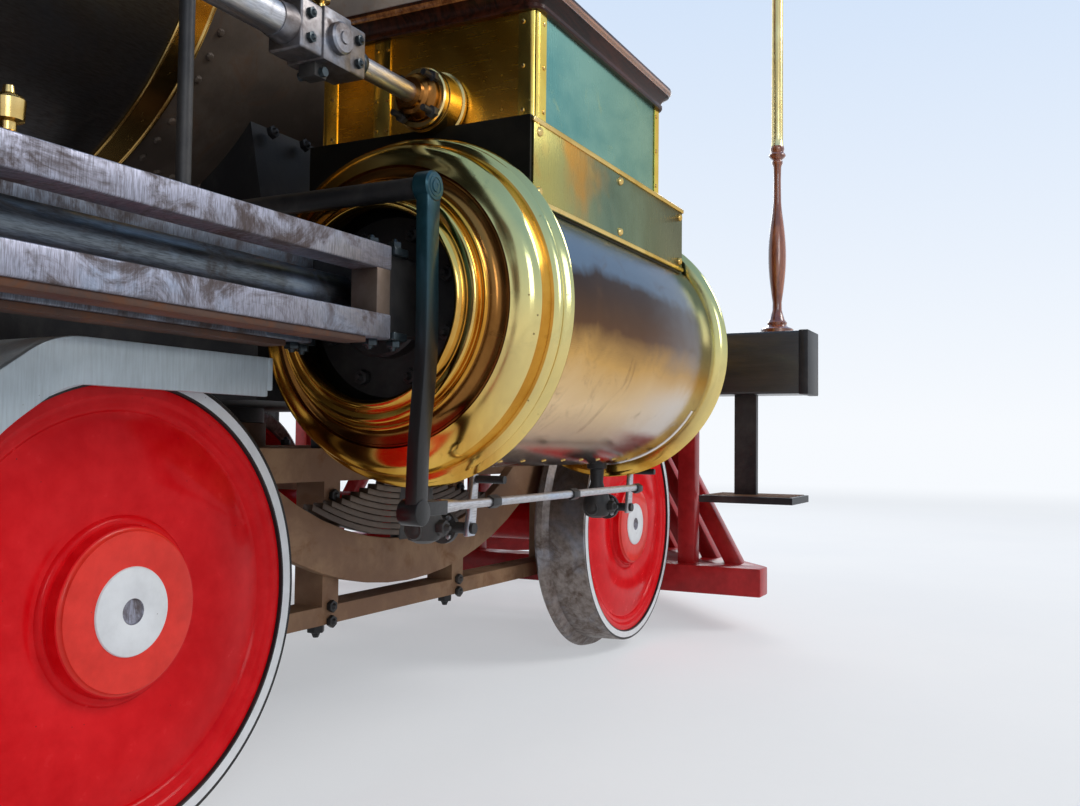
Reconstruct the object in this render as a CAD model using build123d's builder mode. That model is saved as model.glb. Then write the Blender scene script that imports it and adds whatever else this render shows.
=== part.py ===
from build123d import *
import math
import os

os.makedirs("parts", exist_ok=True)

# Driving dimensions of the engine, in millimetres.
# X runs forward, Y to the left side, Z up from the lowest point of the wheel flanges.
rail = 28                     # height of the rail head above the flanges' lowest point
truck_x = 1950                # centre of the leading truck
clearance = 0.3               # seat between pieces of one body that touch when real
running = 0.08                # radial clearance of a pin in its eye

# Wheels and axles
truck_wheel_r = 330
truck_wheelbase = 1798
driver_r = 724
driver_spread = 2440          # between the two driving axles
wheel_out = 815               # outer face of every tyre
wheel_in = 675                # inner face of every tyre
axle_r = 85
truck_axle_r = 62
driver_z = rail + driver_r
truck_axle_z = rail + truck_wheel_r

# Cylinders and motion
cylinder_y = 943              # centre line of each cylinder from the middle of the engine
cylinder_z = rail + 781
jacket_r = 268
casing_r = 300                # outermost bead of the polished end casings
barrel_half = 400             # from the cylinder's middle to the end of its jacket
crank_r = 305
main_rod_length = 1830
pin_back = barrel_half + 725    # from the cylinder's middle back to the crosshead pin at mid-stroke
main_axle_x = truck_x - pin_back - main_rod_length
rear_axle_x = main_axle_x - driver_spread
right_crank = 165             # degrees above straight ahead
left_crank = 255
crank_pin_r = 48
wrist_pin_r = 30
side_rod_in, side_rod_out = 852, 902
main_rod_in, main_rod_out = 918, 968
guide_half_gap = 33           # from the cylinder's centre line to a guide bar's face
guide_depth = 37
guide_width = 50
guide_offset = 74             # from the centre line to the middle of a guide bar
slipper = 300                 # length of a crosshead's slippers
guide_back_room, guide_front_room = 59, 44     # guides left beyond the slippers at each end of the stroke
piston_rod_r = 32
valve_rod_z = rail + 1155

# Boiler, smokebox and cab
boiler_r = 650
boiler_under = 980            # from the rail to the boiler's underside
boiler_z = rail + boiler_under + boiler_r
smokebox_r = 640
smokebox_wall = 12
smokebox_front = truck_x + 480
smokebox_back = truck_x - 530
wagon_start = truck_x - 2700
wagon_end = truck_x - 3250
wagon_r = 720
cab_back_x = rear_axle_x - 935
cab_front_x = cab_back_x + 1680
backhead_x = cab_front_x - 350
cab_y = 1330                  # outer face of the cab's side walls
cab_wall = 38
board_z = rail + 1500         # underside of the running boards
board_thick = 25
eaves_z = rail + 2900
frame_y_in, frame_y_out = 510, 610
beam_back = truck_x + 1330
beam_thick = 150
beam_top = rail + 925
beam_half = 1230


def save(piece, name):
    """Labels a finished piece and writes it under its node's name."""
    piece.label = name
    export_step(piece, f"parts/{name}.step")


def crank_point(axle_x, angle):
    """Centre of a crank pin in X and Z."""
    turn = math.radians(angle)
    return axle_x + crank_r * math.cos(turn), driver_z + crank_r * math.sin(turn)


def wrist_x(angle):
    """Where the crosshead pin stands for a crank angle."""
    pin_x, pin_z = crank_point(main_axle_x, angle)
    return pin_x + math.sqrt(main_rod_length**2 - (pin_z - cylinder_z) ** 2)


guide_front = wrist_x(0) + slipper / 2 + guide_front_room
guide_back = wrist_x(180) - slipper / 2 - guide_back_room

def cross_plane(x):
    """A drawing plane across the engine: Y to the left, Z up, facing forward."""
    return Plane(origin=(x, 0, 0), x_dir=(0, 1, 0), z_dir=(1, 0, 0))


def side_plane(y, x=0.0, z=0.0):
    """A drawing plane seen from the engine's right side: X forward, Z up, at -y."""
    return Plane(origin=(x, -y, z), x_dir=(1, 0, 0), z_dir=(0, -1, 0))


# Leading truck wheels: flanged tyres on plain dished discs, with their axle
truck_hub_r, truck_hub_out, truck_hub_back = 113, 827, 655
truck_rim_r, web_out, web_back = 304, 786, 752
truck_flange_r = truck_wheel_r + rail


def tyre_points(tread_r, flange_r, bore_r):
    """Half section of a flanged tyre as (radius, distance from the engine's middle) pairs."""
    return [(bore_r, wheel_in), (flange_r - 14, wheel_in), (flange_r, wheel_in + 12), (flange_r - 4, wheel_in + 26),
            (tread_r + 3, wheel_in + 36), (tread_r, wheel_out), (bore_r, wheel_out)]


def tyre_pair(axle_x, axle_z, points, name):
    with BuildPart() as tyres:
        with BuildSketch(Plane(origin=(axle_x, 0, axle_z), x_dir=(1, 0, 0), z_dir=(0, 0, 1))):
            with BuildLine():
                Polyline(*points, close=True)
            make_face()
        revolve(axis=Axis((axle_x, 0, axle_z), (0, 1, 0)))
        mirror(about=Plane.XZ)
    save(tyres.part, name)


def truck_wheels(axle_x, name):
    rim_r = truck_rim_r - clearance
    with BuildPart() as wheels:
        with BuildSketch(Plane(origin=(axle_x, 0, truck_axle_z), x_dir=(1, 0, 0), z_dir=(0, 0, 1))):
            with BuildLine():
                back = Polyline(
                    (0, 0), (truck_axle_r, 0), (truck_axle_r, truck_hub_back), (truck_hub_r, truck_hub_back),
                    (truck_hub_r + 15, web_back), (rim_r - 14, web_back), (rim_r - 8, wheel_in + 14), (rim_r, wheel_in + 14),
                    (rim_r, wheel_out - 6), (rim_r - 12, wheel_out - 8), (rim_r - 26, wheel_out - 14))
                dish = ThreePointArc(back @ 1, ((rim_r + truck_hub_r) / 2, web_out), (truck_hub_r + 12, wheel_out - 17))
                Polyline(dish @ 1, (truck_hub_r, truck_hub_out), (0, truck_hub_out), (0, 0))
            make_face()
        revolve(axis=Axis((axle_x, 0, truck_axle_z), (0, 1, 0)))
        mirror(about=Plane.XZ)
    save(wheels.part, name)


front_truck_axle_x = truck_x + truck_wheelbase / 2
rear_truck_axle_x = truck_x - truck_wheelbase / 2
truck_tyre = tyre_points(truck_wheel_r, truck_flange_r, truck_rim_r)
tyre_pair(front_truck_axle_x, truck_axle_z, truck_tyre, "front_truck_tyres")
tyre_pair(rear_truck_axle_x, truck_axle_z, truck_tyre, "rear_truck_tyres")
truck_wheels(front_truck_axle_x, "front_truck_wheels")
truck_wheels(rear_truck_axle_x, "rear_truck_wheels")


# Driving wheels: flanged tyres on spoked centres with crank boss and balance weight
spokes = 15
driver_hub_r, driver_hub_out, driver_hub_back = 140, 842, 640
tyre_in, rim_in = 664, 612
spoke_mid, spoke_thick = 752, 56
driver_flange_r = driver_r + rail
driver_tyre = tyre_points(driver_r, driver_flange_r, tyre_in)
with BuildSketch() as spoke_pattern:
    with PolarLocations(0, spokes):
        Polygon((driver_hub_r - 20, -38), (rim_in + 20, -25), (rim_in + 20, 25), (driver_hub_r - 20, 38), align=None)


def weight_shape(crank):
    """The balance weight opposite a crank: a thick crescent against the rim."""
    with BuildSketch() as crescent:
        with BuildLine():
            start = crank + 180 - 34
            inner = CenterArc((0, 0), 440, start, 68)
            outer = CenterArc((0, 0), rim_in + 10, start, 68)
            Line(inner @ 0, outer @ 0)
            Line(inner @ 1, outer @ 1)
        make_face()
    return crescent.sketch


def driver_set(axle_x, pin_out, collar, eccentrics, name):
    weights = {-1: weight_shape(right_crank), 1: weight_shape(left_crank)}
    with BuildPart() as wheelset:
        with BuildSketch(Plane.XZ.offset(driver_hub_out)):
            with Locations((axle_x, driver_z)):
                Circle(axle_r)
        extrude(amount=-2 * driver_hub_out)
        for side, crank in ((-1, right_crank), (1, left_crank)):
            pin_x, pin_z = crank_point(axle_x, crank)
            with BuildSketch(Plane(origin=(axle_x, 0, driver_z), x_dir=(1, 0, 0), z_dir=(0, 0, 1))):
                with Locations(((rim_in + tyre_in - clearance) / 2, side * (wheel_in + wheel_out + 10) / 2)):
                    Rectangle(tyre_in - clearance - rim_in, wheel_out - wheel_in - 30)
            revolve(axis=Axis((axle_x, 0, driver_z), (0, 1, 0)))
            with BuildSketch(side_plane(-side * (spoke_mid - spoke_thick / 2), axle_x, driver_z)):
                add(spoke_pattern.sketch)
            extrude(amount=-side * spoke_thick)
            with BuildSketch(side_plane(-side * driver_hub_back, axle_x, driver_z)):
                Circle(driver_hub_r)
            extrude(amount=-side * (driver_hub_out - driver_hub_back))
            with BuildSketch(side_plane(-side * (spoke_mid - 35), axle_x, driver_z)):
                with Locations((pin_x - axle_x, pin_z - driver_z)):
                    Circle(108)
                with Locations(((pin_x - axle_x) / 2, (pin_z - driver_z) / 2)):
                    Rectangle(crank_r, 200, rotation=crank)
                add(weights[side])
            extrude(amount=-side * (driver_hub_out - spoke_mid + 35))
            with BuildSketch(side_plane(-side * driver_hub_back, pin_x, pin_z)):
                Circle(crank_pin_r)
            extrude(amount=-side * (pin_out - driver_hub_back))
            if collar:
                with BuildSketch(side_plane(-side * (side_rod_out + 3), pin_x, pin_z)):
                    Circle(crank_pin_r + 16)
                extrude(amount=-side * 14)
        for y, turn in eccentrics:
            lean = math.radians(turn)
            with BuildSketch(side_plane(y, axle_x + 62 * math.cos(lean), driver_z + 62 * math.sin(lean))):
                Circle(165)
            extrude(amount=50)
    save(wheelset.part, name)


driver_set(main_axle_x, side_rod_out + 9, False, ((-230, 60), (-150, 240), (100, 330), (180, 150)), "main_driver_wheels")
driver_set(rear_axle_x, side_rod_out + 12, True, (), "rear_driver_wheels")
tyre_pair(main_axle_x, driver_z, driver_tyre, "main_driver_tyres")
tyre_pair(rear_axle_x, driver_z, driver_tyre, "rear_driver_tyres")


# Side rods: a slim bar with a strapped brass block at each crank pin
def side_rod(crank, side, name):
    front_x, pin_z = crank_point(main_axle_x, crank)
    thick = side_rod_out - side_rod_in
    with BuildPart() as rod:
        with BuildSketch(side_plane(side * side_rod_in, front_x, pin_z)):
            Rectangle(2 * 70 + driver_spread - 2 * 70, 78, align=(Align.MAX, Align.CENTER))
            for x in (0, -driver_spread):
                with Locations((x, 0)):
                    RectangleRounded(230, 142, 22)
        extrude(amount=thick * side)
        with BuildSketch(side_plane(side * (side_rod_in - 1), front_x, pin_z)):
            for x in (0, -driver_spread):
                with Locations((x, 0)):
                    Circle(crank_pin_r + running)
        extrude(amount=(thick + 2) * side, mode=Mode.SUBTRACT)
    save(rod.part, name)


side_rod(right_crank, 1, "side_rod_right")
side_rod(left_crank, -1, "side_rod_left")


# Main rods: tapered bar, strapped big end with its outer crank pin, small end on the crosshead pin
def main_rod(crank, side, name):
    pin_x, pin_z = crank_point(main_axle_x, crank)
    front = wrist_x(crank)
    slope = math.atan2(cylinder_z - pin_z, front - pin_x)
    thick = main_rod_out - main_rod_in
    along = (math.cos(slope), 0, math.sin(slope))
    facing = (0, -1, 0) if side > 0 else (0, 1, 0)
    plane = Plane(origin=(pin_x, -side * main_rod_in, pin_z), x_dir=along, z_dir=facing)
    with BuildPart() as rod:
        with BuildSketch(plane):
            with BuildLine():
                Polyline((90, -52), (main_rod_length - 60, -38), (main_rod_length - 60, 38), (90, 52), close=True)
            make_face()
            RectangleRounded(250, 168, 24)
            with Locations((main_rod_length, 0)):
                Circle(58)
            with Locations((main_rod_length - 50, 0)):
                Rectangle(100, 84)
        extrude(amount=thick)
        with BuildSketch(plane.offset(-1)):
            with Locations((main_rod_length, 0)):
                Circle(wrist_pin_r + running)
        extrude(amount=thick + 2, mode=Mode.SUBTRACT)
        with BuildSketch(plane.offset(thick)):
            Circle(crank_pin_r + 14)
        extrude(amount=16)
    save(rod.part, name)


main_rod(right_crank, 1, "main_rod_right")
main_rod(left_crank, -1, "main_rod_left")


# Crossheads: two slippers between the guide bars, joined ahead of the pin, with the piston rod
def crosshead(crank, side, name):
    pin_x = wrist_x(crank)
    gap = 1.0
    inner, outer = cylinder_y - guide_offset, cylinder_y + guide_offset
    with BuildPart() as head:
        for y in (inner, outer):
            with Locations((pin_x, -side * y, cylinder_z)):
                Box(slipper, guide_width - 4, 2 * (guide_half_gap - gap))
        with Locations((pin_x + slipper / 2, -side * cylinder_y, cylinder_z)):
            Box(80, 2 * guide_offset, 2 * (guide_half_gap - gap), align=(Align.MAX, Align.CENTER, Align.CENTER))
        with BuildSketch(Plane(origin=(pin_x + slipper / 2 - 80, -side * cylinder_y, cylinder_z), z_dir=(1, 0, 0))):
            Circle(46)
        extrude(amount=80 + guide_front_room - 9)
        with BuildSketch(side_plane(side * (cylinder_y - guide_offset), pin_x, cylinder_z)):
            Circle(wrist_pin_r)
        extrude(amount=2 * guide_offset * side)
        with BuildSketch(Plane(origin=(pin_x + slipper / 2, -side * cylinder_y, cylinder_z), z_dir=(1, 0, 0))):
            Circle(piston_rod_r)
        extrude(amount=truck_x - 400 - wrist_x(180) - slipper / 2)
    save(head.part, name)


crosshead(right_crank, 1, "crosshead_right")
crosshead(left_crank, -1, "crosshead_left")


# Guide bars: two pairs on each side, held apart by end blocks
with BuildPart() as guides:
    for offset in (-guide_offset, guide_offset):
        for level in (-1, 1):
            with Locations(((guide_front + guide_back) / 2, -cylinder_y - offset,
                            cylinder_z + level * (guide_half_gap + guide_depth / 2))):
                Box(guide_front - guide_back, guide_width, guide_depth)
        for x, align in ((guide_front, Align.MAX), (guide_back, Align.MIN)):
            with Locations((x, -cylinder_y - offset, cylinder_z)):
                Box(36, guide_width, 2 * guide_half_gap, align=(align, Align.CENTER, Align.CENTER))
    mirror(about=Plane.XZ)
save(guides.part, "guide_bars")

# Guide yoke: hangs from the frame and carries the guides' rear ends, clear of the main rods
yoke_z = rail + 930 + clearance
yoke_out = cylinder_y + guide_offset + guide_width / 2
yoke_in = yoke_out - 2 * guide_offset - guide_width
yoke_low = cylinder_z - guide_half_gap - guide_depth
rod_arch = 36                 # the yoke's underside rises over a main rod at its steepest
with BuildPart() as yoke:
    with BuildSketch(cross_plane(guide_back - clearance)):
        with BuildLine():
            Polyline((-470, yoke_z), (-yoke_in, yoke_z), (-yoke_in, yoke_low), (-yoke_in - guide_width, yoke_low),
                     (-yoke_in - guide_width, yoke_z + rod_arch), (-yoke_out + guide_width, yoke_z + rod_arch),
                     (-yoke_out + guide_width, yoke_low), (-yoke_out, yoke_low),
                     (-yoke_out, yoke_z + 60), (-yoke_out + 60, yoke_z + 100), (-470, yoke_z + 100), close=True)
        make_face()
    extrude(amount=-44)
    mirror(about=Plane.XZ)
save(yoke.part, "guide_yoke")


# Cylinders: barrel casting with its bolting flange, rear head, guide neck and rod bore
neck_end = guide_front
with BuildPart() as cylinders:
    with BuildSketch(Plane(origin=(truck_x - barrel_half, -cylinder_y, cylinder_z), z_dir=(1, 0, 0))):
        Circle(jacket_r - 8)
    extrude(amount=2 * barrel_half)
    with Locations((truck_x, -frame_y_out - clearance, rail + 625)):
        Box(2 * barrel_half - 100, cylinder_y - frame_y_out, 333 - clearance, align=(Align.CENTER, Align.MAX, Align.MIN))
    with BuildSketch(Plane(origin=(truck_x - barrel_half, -cylinder_y, cylinder_z), z_dir=(-1, 0, 0))):
        Circle(150)
    extrude(amount=80)
    with Locations((neck_end + clearance, -cylinder_y, cylinder_z)):
        Box(truck_x - barrel_half - neck_end, 2 * guide_offset + 30, 2 * guide_half_gap + 50,
            align=(Align.MIN, Align.CENTER, Align.CENTER))
    with BuildSketch(Plane(origin=(neck_end - 10, -cylinder_y, cylinder_z), z_dir=(1, 0, 0))):
        Circle(piston_rod_r + running)
    extrude(amount=truck_x + 280 - neck_end, mode=Mode.SUBTRACT)
    mirror(about=Plane.XZ)
save(cylinders.part, "cylinders")

# Valve chests' sizes, used by the jackets below them
chest_in, chest_out = 676, 1143
chest_bottom = rail + 958
chest_ledge = rail + 1110
chest_top = rail + 1300
chest_back, chest_front = truck_x - barrel_half + 18, truck_x + barrel_half - 17
casing_back, casing_front = chest_back + 27, chest_front - 137

# Cylinder jackets: polished sheet round each barrel, open where the casting joins the saddle
with BuildPart() as jackets:
    with BuildSketch(Plane(origin=(truck_x - barrel_half, -cylinder_y, cylinder_z), z_dir=(1, 0, 0))):
        Circle(jacket_r)
        Circle(jacket_r - 8 + clearance, mode=Mode.SUBTRACT)
    extrude(amount=2 * barrel_half)
    with Locations((truck_x, -cylinder_y + 60, rail + 625 - clearance)):
        Box(2 * barrel_half - 100 + 2 * clearance, 300, 400 + 2 * clearance, align=(Align.CENTER, Align.MIN, Align.MIN),
            mode=Mode.SUBTRACT)
    with Locations(((chest_back + chest_front) / 2, -cylinder_y, chest_bottom - clearance)):
        Box(chest_front - chest_back + 2 * clearance, 600, 200, align=(Align.CENTER, Align.CENTER, Align.MIN),
            mode=Mode.SUBTRACT)
    mirror(about=Plane.XZ)
save(jackets.part, "cylinder_jackets")


# End casings: spun brass with three beads, a broad swelling and stepped rolls
def casing_outline(closed):
    """Half section as (distance past the barrel's end, radius) pairs, outside first, then back inside."""
    steps = [(0, 278), (4, 292), (14, 300), (24, 297), (32, 289), (38, 295), (48, 292), (54, 284), (68, 282), (86, 268),
             (98, 246), (102, 232), (112, 228), (120, 212), (122, 200), (132, 194), (138, 182)]
    if closed:
        return steps + [(146, 150), (158, 120), (164, 60), (166, 0), (150, 0), (100, 225), (40, 258), (0, 262)]
    return steps + [(146, 178), (149, 168), (146, 158), (134, 158), (96, 224), (40, 254), (0, 262)]


with BuildPart() as rear_casings:
    with BuildSketch(Plane(origin=(0, -cylinder_y, cylinder_z), x_dir=(1, 0, 0), z_dir=(0, -1, 0))):
        with BuildLine():
            Polyline(*[(truck_x - barrel_half - clearance - d, r) for d, r in casing_outline(False)], close=True)
        make_face()
    revolve(axis=Axis((0, -cylinder_y, cylinder_z), (1, 0, 0)))
    mirror(about=Plane.XZ)

with BuildPart() as front_casings:
    with BuildSketch(Plane(origin=(0, -cylinder_y, cylinder_z), x_dir=(1, 0, 0), z_dir=(0, -1, 0))):
        with BuildLine():
            Polyline(*[(truck_x + barrel_half + clearance + d, r) for d, r in casing_outline(True)], close=True)
        make_face()
    revolve(axis=Axis((0, -cylinder_y, cylinder_z), (1, 0, 0)))
    mirror(about=Plane.XZ)

save(rear_casings.part + front_casings.part, "head_casings")

# Valve chests: iron base on the barrel, brass casing, moulded lid
with BuildPart() as chests:
    with Locations(((chest_back + chest_front) / 2, -(chest_in + chest_out) / 2, chest_bottom)):
        Box(chest_front - chest_back, chest_out - chest_in, chest_ledge - chest_bottom,
            align=(Align.CENTER, Align.CENTER, Align.MIN))
    with BuildSketch(Plane(origin=(chest_back - 10, -cylinder_y, cylinder_z), z_dir=(1, 0, 0))):
        Circle(jacket_r - 8 + clearance)
    extrude(amount=chest_front - chest_back + 20, mode=Mode.SUBTRACT)
    mirror(about=Plane.XZ)
save(chests.part, "valve_chests")

with BuildPart() as chest_casings:
    with Locations(((casing_back + casing_front) / 2, -(chest_in + chest_out) / 2, chest_ledge + clearance)):
        Box(casing_front - casing_back, chest_out - chest_in - 6, chest_top - chest_ledge,
            align=(Align.CENTER, Align.CENTER, Align.MIN))
    fillet(chest_casings.edges().filter_by(Axis.Z), 16)
    mirror(about=Plane.XZ)
save(chest_casings.part, "chest_casings")

with BuildPart() as lids:
    lid_z = chest_top + 2 * clearance
    with BuildSketch(Plane(origin=((casing_back + casing_front) / 2, -(chest_in + chest_out) / 2, lid_z))) as plan:
        RectangleRounded(casing_front - casing_back + 10, chest_out - chest_in + 10, 18)
    extrude(amount=14)
    with BuildSketch(Plane(origin=((casing_back + casing_front) / 2, -(chest_in + chest_out) / 2, lid_z + 14))):
        RectangleRounded(casing_front - casing_back + 10, chest_out - chest_in + 10, 18)
    extrude(amount=22, taper=-40)
    with BuildSketch(Plane(origin=((casing_back + casing_front) / 2, -(chest_in + chest_out) / 2, lid_z + 36))):
        RectangleRounded(casing_front - casing_back + 66, chest_out - chest_in + 66, 30)
    extrude(amount=14)
    mirror(about=Plane.XZ)
save(lids.part, "chest_lids")

# Valve rods: gland, rod with its square block, rear eye on the rocker's pin
rocker_x = truck_x - 1950
rocker_z = rail + 985
block_x = truck_x - 685
with BuildPart() as valve_rods:
    along = Plane(origin=(casing_back - clearance, -cylinder_y, valve_rod_z), z_dir=(-1, 0, 0))
    with BuildSketch(along):
        Circle(40)
    extrude(amount=52)
    with BuildSketch(along.offset(36)):
        Circle(54)
    extrude(amount=16)
    with BuildSketch(along.offset(50)):
        Circle(17)
    extrude(amount=casing_back - block_x - 50)
    with Locations((block_x, -cylinder_y, valve_rod_z)):
        Box(150, 62, 74)
    with BuildSketch(Plane(origin=(block_x - 60, -cylinder_y, valve_rod_z), z_dir=(-1, 0, 0))):
        Circle(25)
    extrude(amount=block_x - 60 - rocker_x)
    with BuildSketch(side_plane(cylinder_y - 30, rocker_x, valve_rod_z)):
        Circle(46)
    extrude(amount=60)
    with BuildSketch(side_plane(cylinder_y - 40, rocker_x, valve_rod_z)):
        Circle(20 + clearance)
    extrude(amount=80, mode=Mode.SUBTRACT)
    mirror(about=Plane.XZ)

# Rocker shafts: a bearing on each frame rail, with the upper arm outside and the lower arm inside
with BuildPart() as rockers:
    with BuildSketch(side_plane(430, rocker_x, rocker_z)):
        Circle(36)
    extrude(amount=cylinder_y - 36 - 430)
    for y, tip in ((430, -1), (cylinder_y - 66, 1)):
        with BuildSketch(side_plane(y, rocker_x, rocker_z)):
            Circle(62)
            with Locations((0, tip * (valve_rod_z - rocker_z) / 2)):
                Rectangle(64, valve_rod_z - rocker_z)
            with Locations((0, tip * (valve_rod_z - rocker_z))):
                Circle(42)
        extrude(amount=30)
    with BuildSketch(side_plane(cylinder_y - 66, rocker_x, valve_rod_z)):
        Circle(20)
    extrude(amount=104)
    with Locations((rocker_x, -(frame_y_in + frame_y_out) / 2, rail + 930 + clearance)):
        Box(170, 100, rocker_z - rail - 930 + 50, align=(Align.CENTER, Align.CENTER, Align.MIN))
    mirror(about=Plane.XZ)

save(valve_rods.part + rockers.part, "valve_gear")

# Cylinder cock gear: cross shaft, hanging levers, links and the rods to the front cocks
cock_shaft_x, cock_shaft_z = truck_x - barrel_half - 176, rail + 949
cock_y = 1068
cock_drop = 104               # from the jacket down to a drain cock's body
with BuildPart() as cock_gear:
    with BuildSketch(Plane(origin=(cock_shaft_x, -cock_y, cock_shaft_z), z_dir=(0, 1, 0))):
        Circle(17)
    extrude(amount=2 * cock_y)
    for side in (-1, 1):
        with Locations((cock_shaft_x, side * (frame_y_in + frame_y_out) / 2, rail + 930 + clearance)):
            Box(70, 60, 18, align=(Align.CENTER, Align.CENTER, Align.MIN))
    with BuildSketch(side_plane(cock_y - 10, cock_shaft_x, cock_shaft_z)):
        Circle(22)
        with BuildLine():
            Polyline((-15, 0), (-20, -250), (-38, -420), (-34, -500), (2, -500), (-4, -420), (16, -250), (15, 0), close=True)
        make_face()
    extrude(amount=24)
    foot = (cock_shaft_x - 20, cock_shaft_z - 495)
    with BuildSketch(side_plane(cock_y - 24, *foot)):
        Circle(20)
    extrude(amount=40)
    with Locations((foot[0] + 140, -cock_y, foot[1] + 4)):
        Box(270, 16, 20)
    with BuildSketch(Plane(origin=(foot[0] + 260, -cock_y, foot[1] + 6), z_dir=(1, 0, 0))):
        Circle(8)
    extrude(amount=640)
    mirror(about=Plane.XZ)


with BuildPart() as cocks:
    for x in (truck_x - barrel_half + 30, truck_x + barrel_half - 30):
        with BuildSketch(Plane(origin=(x, -cylinder_y, cylinder_z - jacket_r - clearance), z_dir=(0, 0, -1))):
            Circle(17)
        extrude(amount=cock_drop - 16)
        with BuildSketch(Plane(origin=(x - 45, -cylinder_y, cylinder_z - jacket_r - cock_drop), z_dir=(1, 0, 0))):
            Circle(24)
        extrude(amount=90)
        with BuildSketch(Plane(origin=(x + 45, -cylinder_y, cylinder_z - jacket_r - cock_drop), z_dir=(1, 0, 0))):
            Circle(30)
        extrude(amount=14)
    mirror(about=Plane.XZ)

save(cock_gear.part + cocks.part, "cock_gear")

# Saddle: carries the smokebox between the frames and over the truck's centre plate
saddle_half = frame_y_in - clearance
with BuildPart() as saddle:
    with BuildSketch(cross_plane(truck_x - 330)):
        with BuildLine():
            Polyline((-saddle_half, rail + 640), (saddle_half, rail + 640), (saddle_half, rail + 1040),
                     (470, boiler_z - 390), (-470, boiler_z - 390), (-saddle_half, rail + 1040), close=True)
        make_face()
    extrude(amount=660)
    with BuildSketch(Plane(origin=(truck_x - 340, 0, boiler_z), z_dir=(1, 0, 0))):
        Circle(smokebox_r + clearance)
    extrude(amount=680, mode=Mode.SUBTRACT)
    with BuildSketch(Plane.XY.offset(rail + 605)):
        with Locations((truck_x, 0)):
            Circle(170)
    extrude(amount=40)
    with BuildSketch(Plane.XY.offset(rail + 470)):
        with Locations((truck_x, 0)):
            Circle(38)
    extrude(amount=150)
save(saddle.part, "cylinder_saddle")


# Main frames: bar frames with pedestals for the driving boxes, a front rail over the truck
frame_top, frame_low = rail + 1000, rail + 905
jaw_half, jaw_wall = 132, 70
tie_z = rail + 550
with BuildPart() as frame:
    with BuildSketch(side_plane(frame_y_in)):
        with Locations(((main_axle_x + 420 + cab_back_x) / 2, (frame_top + frame_low) / 2)):
            Rectangle(main_axle_x + 420 - cab_back_x, frame_top - frame_low)
        with BuildLine():
            Polyline((main_axle_x + 420, frame_top), (main_axle_x + 620, rail + 930), (beam_back, rail + 930),
                     (beam_back, rail + 830), (main_axle_x + 600, rail + 830), (main_axle_x + 400, frame_low), close=True)
        make_face()
        for axle in (main_axle_x, rear_axle_x):
            for sign in (-1, 1):
                with Locations((axle + sign * (jaw_half + jaw_wall / 2), (frame_low + tie_z) / 2)):
                    Rectangle(jaw_wall, frame_low - tie_z + 30)
        with Locations(((main_axle_x + rear_axle_x) / 2, tie_z)):
            Rectangle(driver_spread + 2 * (jaw_half + jaw_wall), 62)
    extrude(amount=frame_y_out - frame_y_in)
    mirror(about=Plane.XZ)
    for x, low, high in ((cab_back_x + 60, frame_low, frame_top), (main_axle_x + 520, rail + 840, rail + 920),
                         (guide_back - 22 - clearance, rail + 835, rail + 925)):
        with Locations((x, 0, low)):
            Box(90, 2 * frame_y_in + 20, high - low, align=(Align.CENTER, Align.CENTER, Align.MIN))
save(frame.part, "main_frame")

# Driving boxes in the pedestals, with leaf springs and hangers above
with BuildPart() as springs:
    for axle in (main_axle_x, rear_axle_x):
        with BuildSketch(side_plane(frame_y_in + 4)):
            with Locations((axle, driver_z)):
                Rectangle(2 * (jaw_half - clearance), 280)
                Circle(axle_r + running, mode=Mode.SUBTRACT)
        extrude(amount=frame_y_out - frame_y_in - 8)
    mirror(about=Plane.XZ)

with BuildPart() as leaves:
    for axle in (main_axle_x, rear_axle_x):
        for step, half in enumerate((430, 360, 290, 220, 150)):
            drop = 14 * (4 - step)
            with BuildSketch(side_plane(frame_y_in + 10, axle, rail + 1000 + 60 + drop)):
                with BuildLine():
                    Polyline((-half, -half * half / 4200), (0, 0), (half, -half * half / 4200), (half, 14 - half * half / 4200),
                             (0, 14.5), (-half, 14 - half * half / 4200), close=True)
                make_face()
            extrude(amount=80)
        with Locations((axle, -(frame_y_in + frame_y_out) / 2, rail + 1000 + clearance)):
            Box(90, 60, 62, align=(Align.CENTER, Align.CENTER, Align.MIN))
    mirror(about=Plane.XZ)
save(springs.part + leaves.part, "driving_springs")

# Boiler: lagged barrel, tapered wagon top, firebox sides down between the axles
firebox_front, firebox_back = main_axle_x - 265, backhead_x
with BuildPart() as boiler:
    with BuildSketch(Plane(origin=(smokebox_back - clearance, 0, boiler_z), z_dir=(-1, 0, 0))):
        Circle(boiler_r)
    extrude(amount=smokebox_back - clearance - wagon_start)
    with BuildSketch(Plane(origin=(wagon_start, 0, boiler_z), z_dir=(-1, 0, 0))):
        Circle(boiler_r)
    with BuildSketch(Plane(origin=(wagon_end, 0, boiler_z + wagon_r - boiler_r), z_dir=(-1, 0, 0))):
        Circle(wagon_r)
    loft()
    with BuildSketch(Plane(origin=(wagon_end, 0, boiler_z + wagon_r - boiler_r), z_dir=(-1, 0, 0))):
        Circle(wagon_r)
    extrude(amount=wagon_end - backhead_x)
    with BuildSketch(cross_plane(firebox_back)):
        with BuildLine():
            Polyline((-500, rail + 640), (500, rail + 640), (500, rail + 1150), (700, boiler_z), (-700, boiler_z),
                     (-500, rail + 1150), close=True)
        make_face()
    extrude(amount=firebox_front - firebox_back)
save(boiler.part, "boiler")

with BuildPart() as ash_pan:
    with BuildSketch(Plane(origin=(0, 450, 0), x_dir=(1, 0, 0), z_dir=(0, -1, 0))):
        with BuildLine():
            Polyline((firebox_front - 20, rail + 640 - clearance), (firebox_back + 60, rail + 640 - clearance),
                     (firebox_back + 360, rail + 400), (firebox_front - 260, rail + 400), close=True)
        make_face()
    extrude(amount=900)
save(ash_pan.part, "ash_pan")

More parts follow.
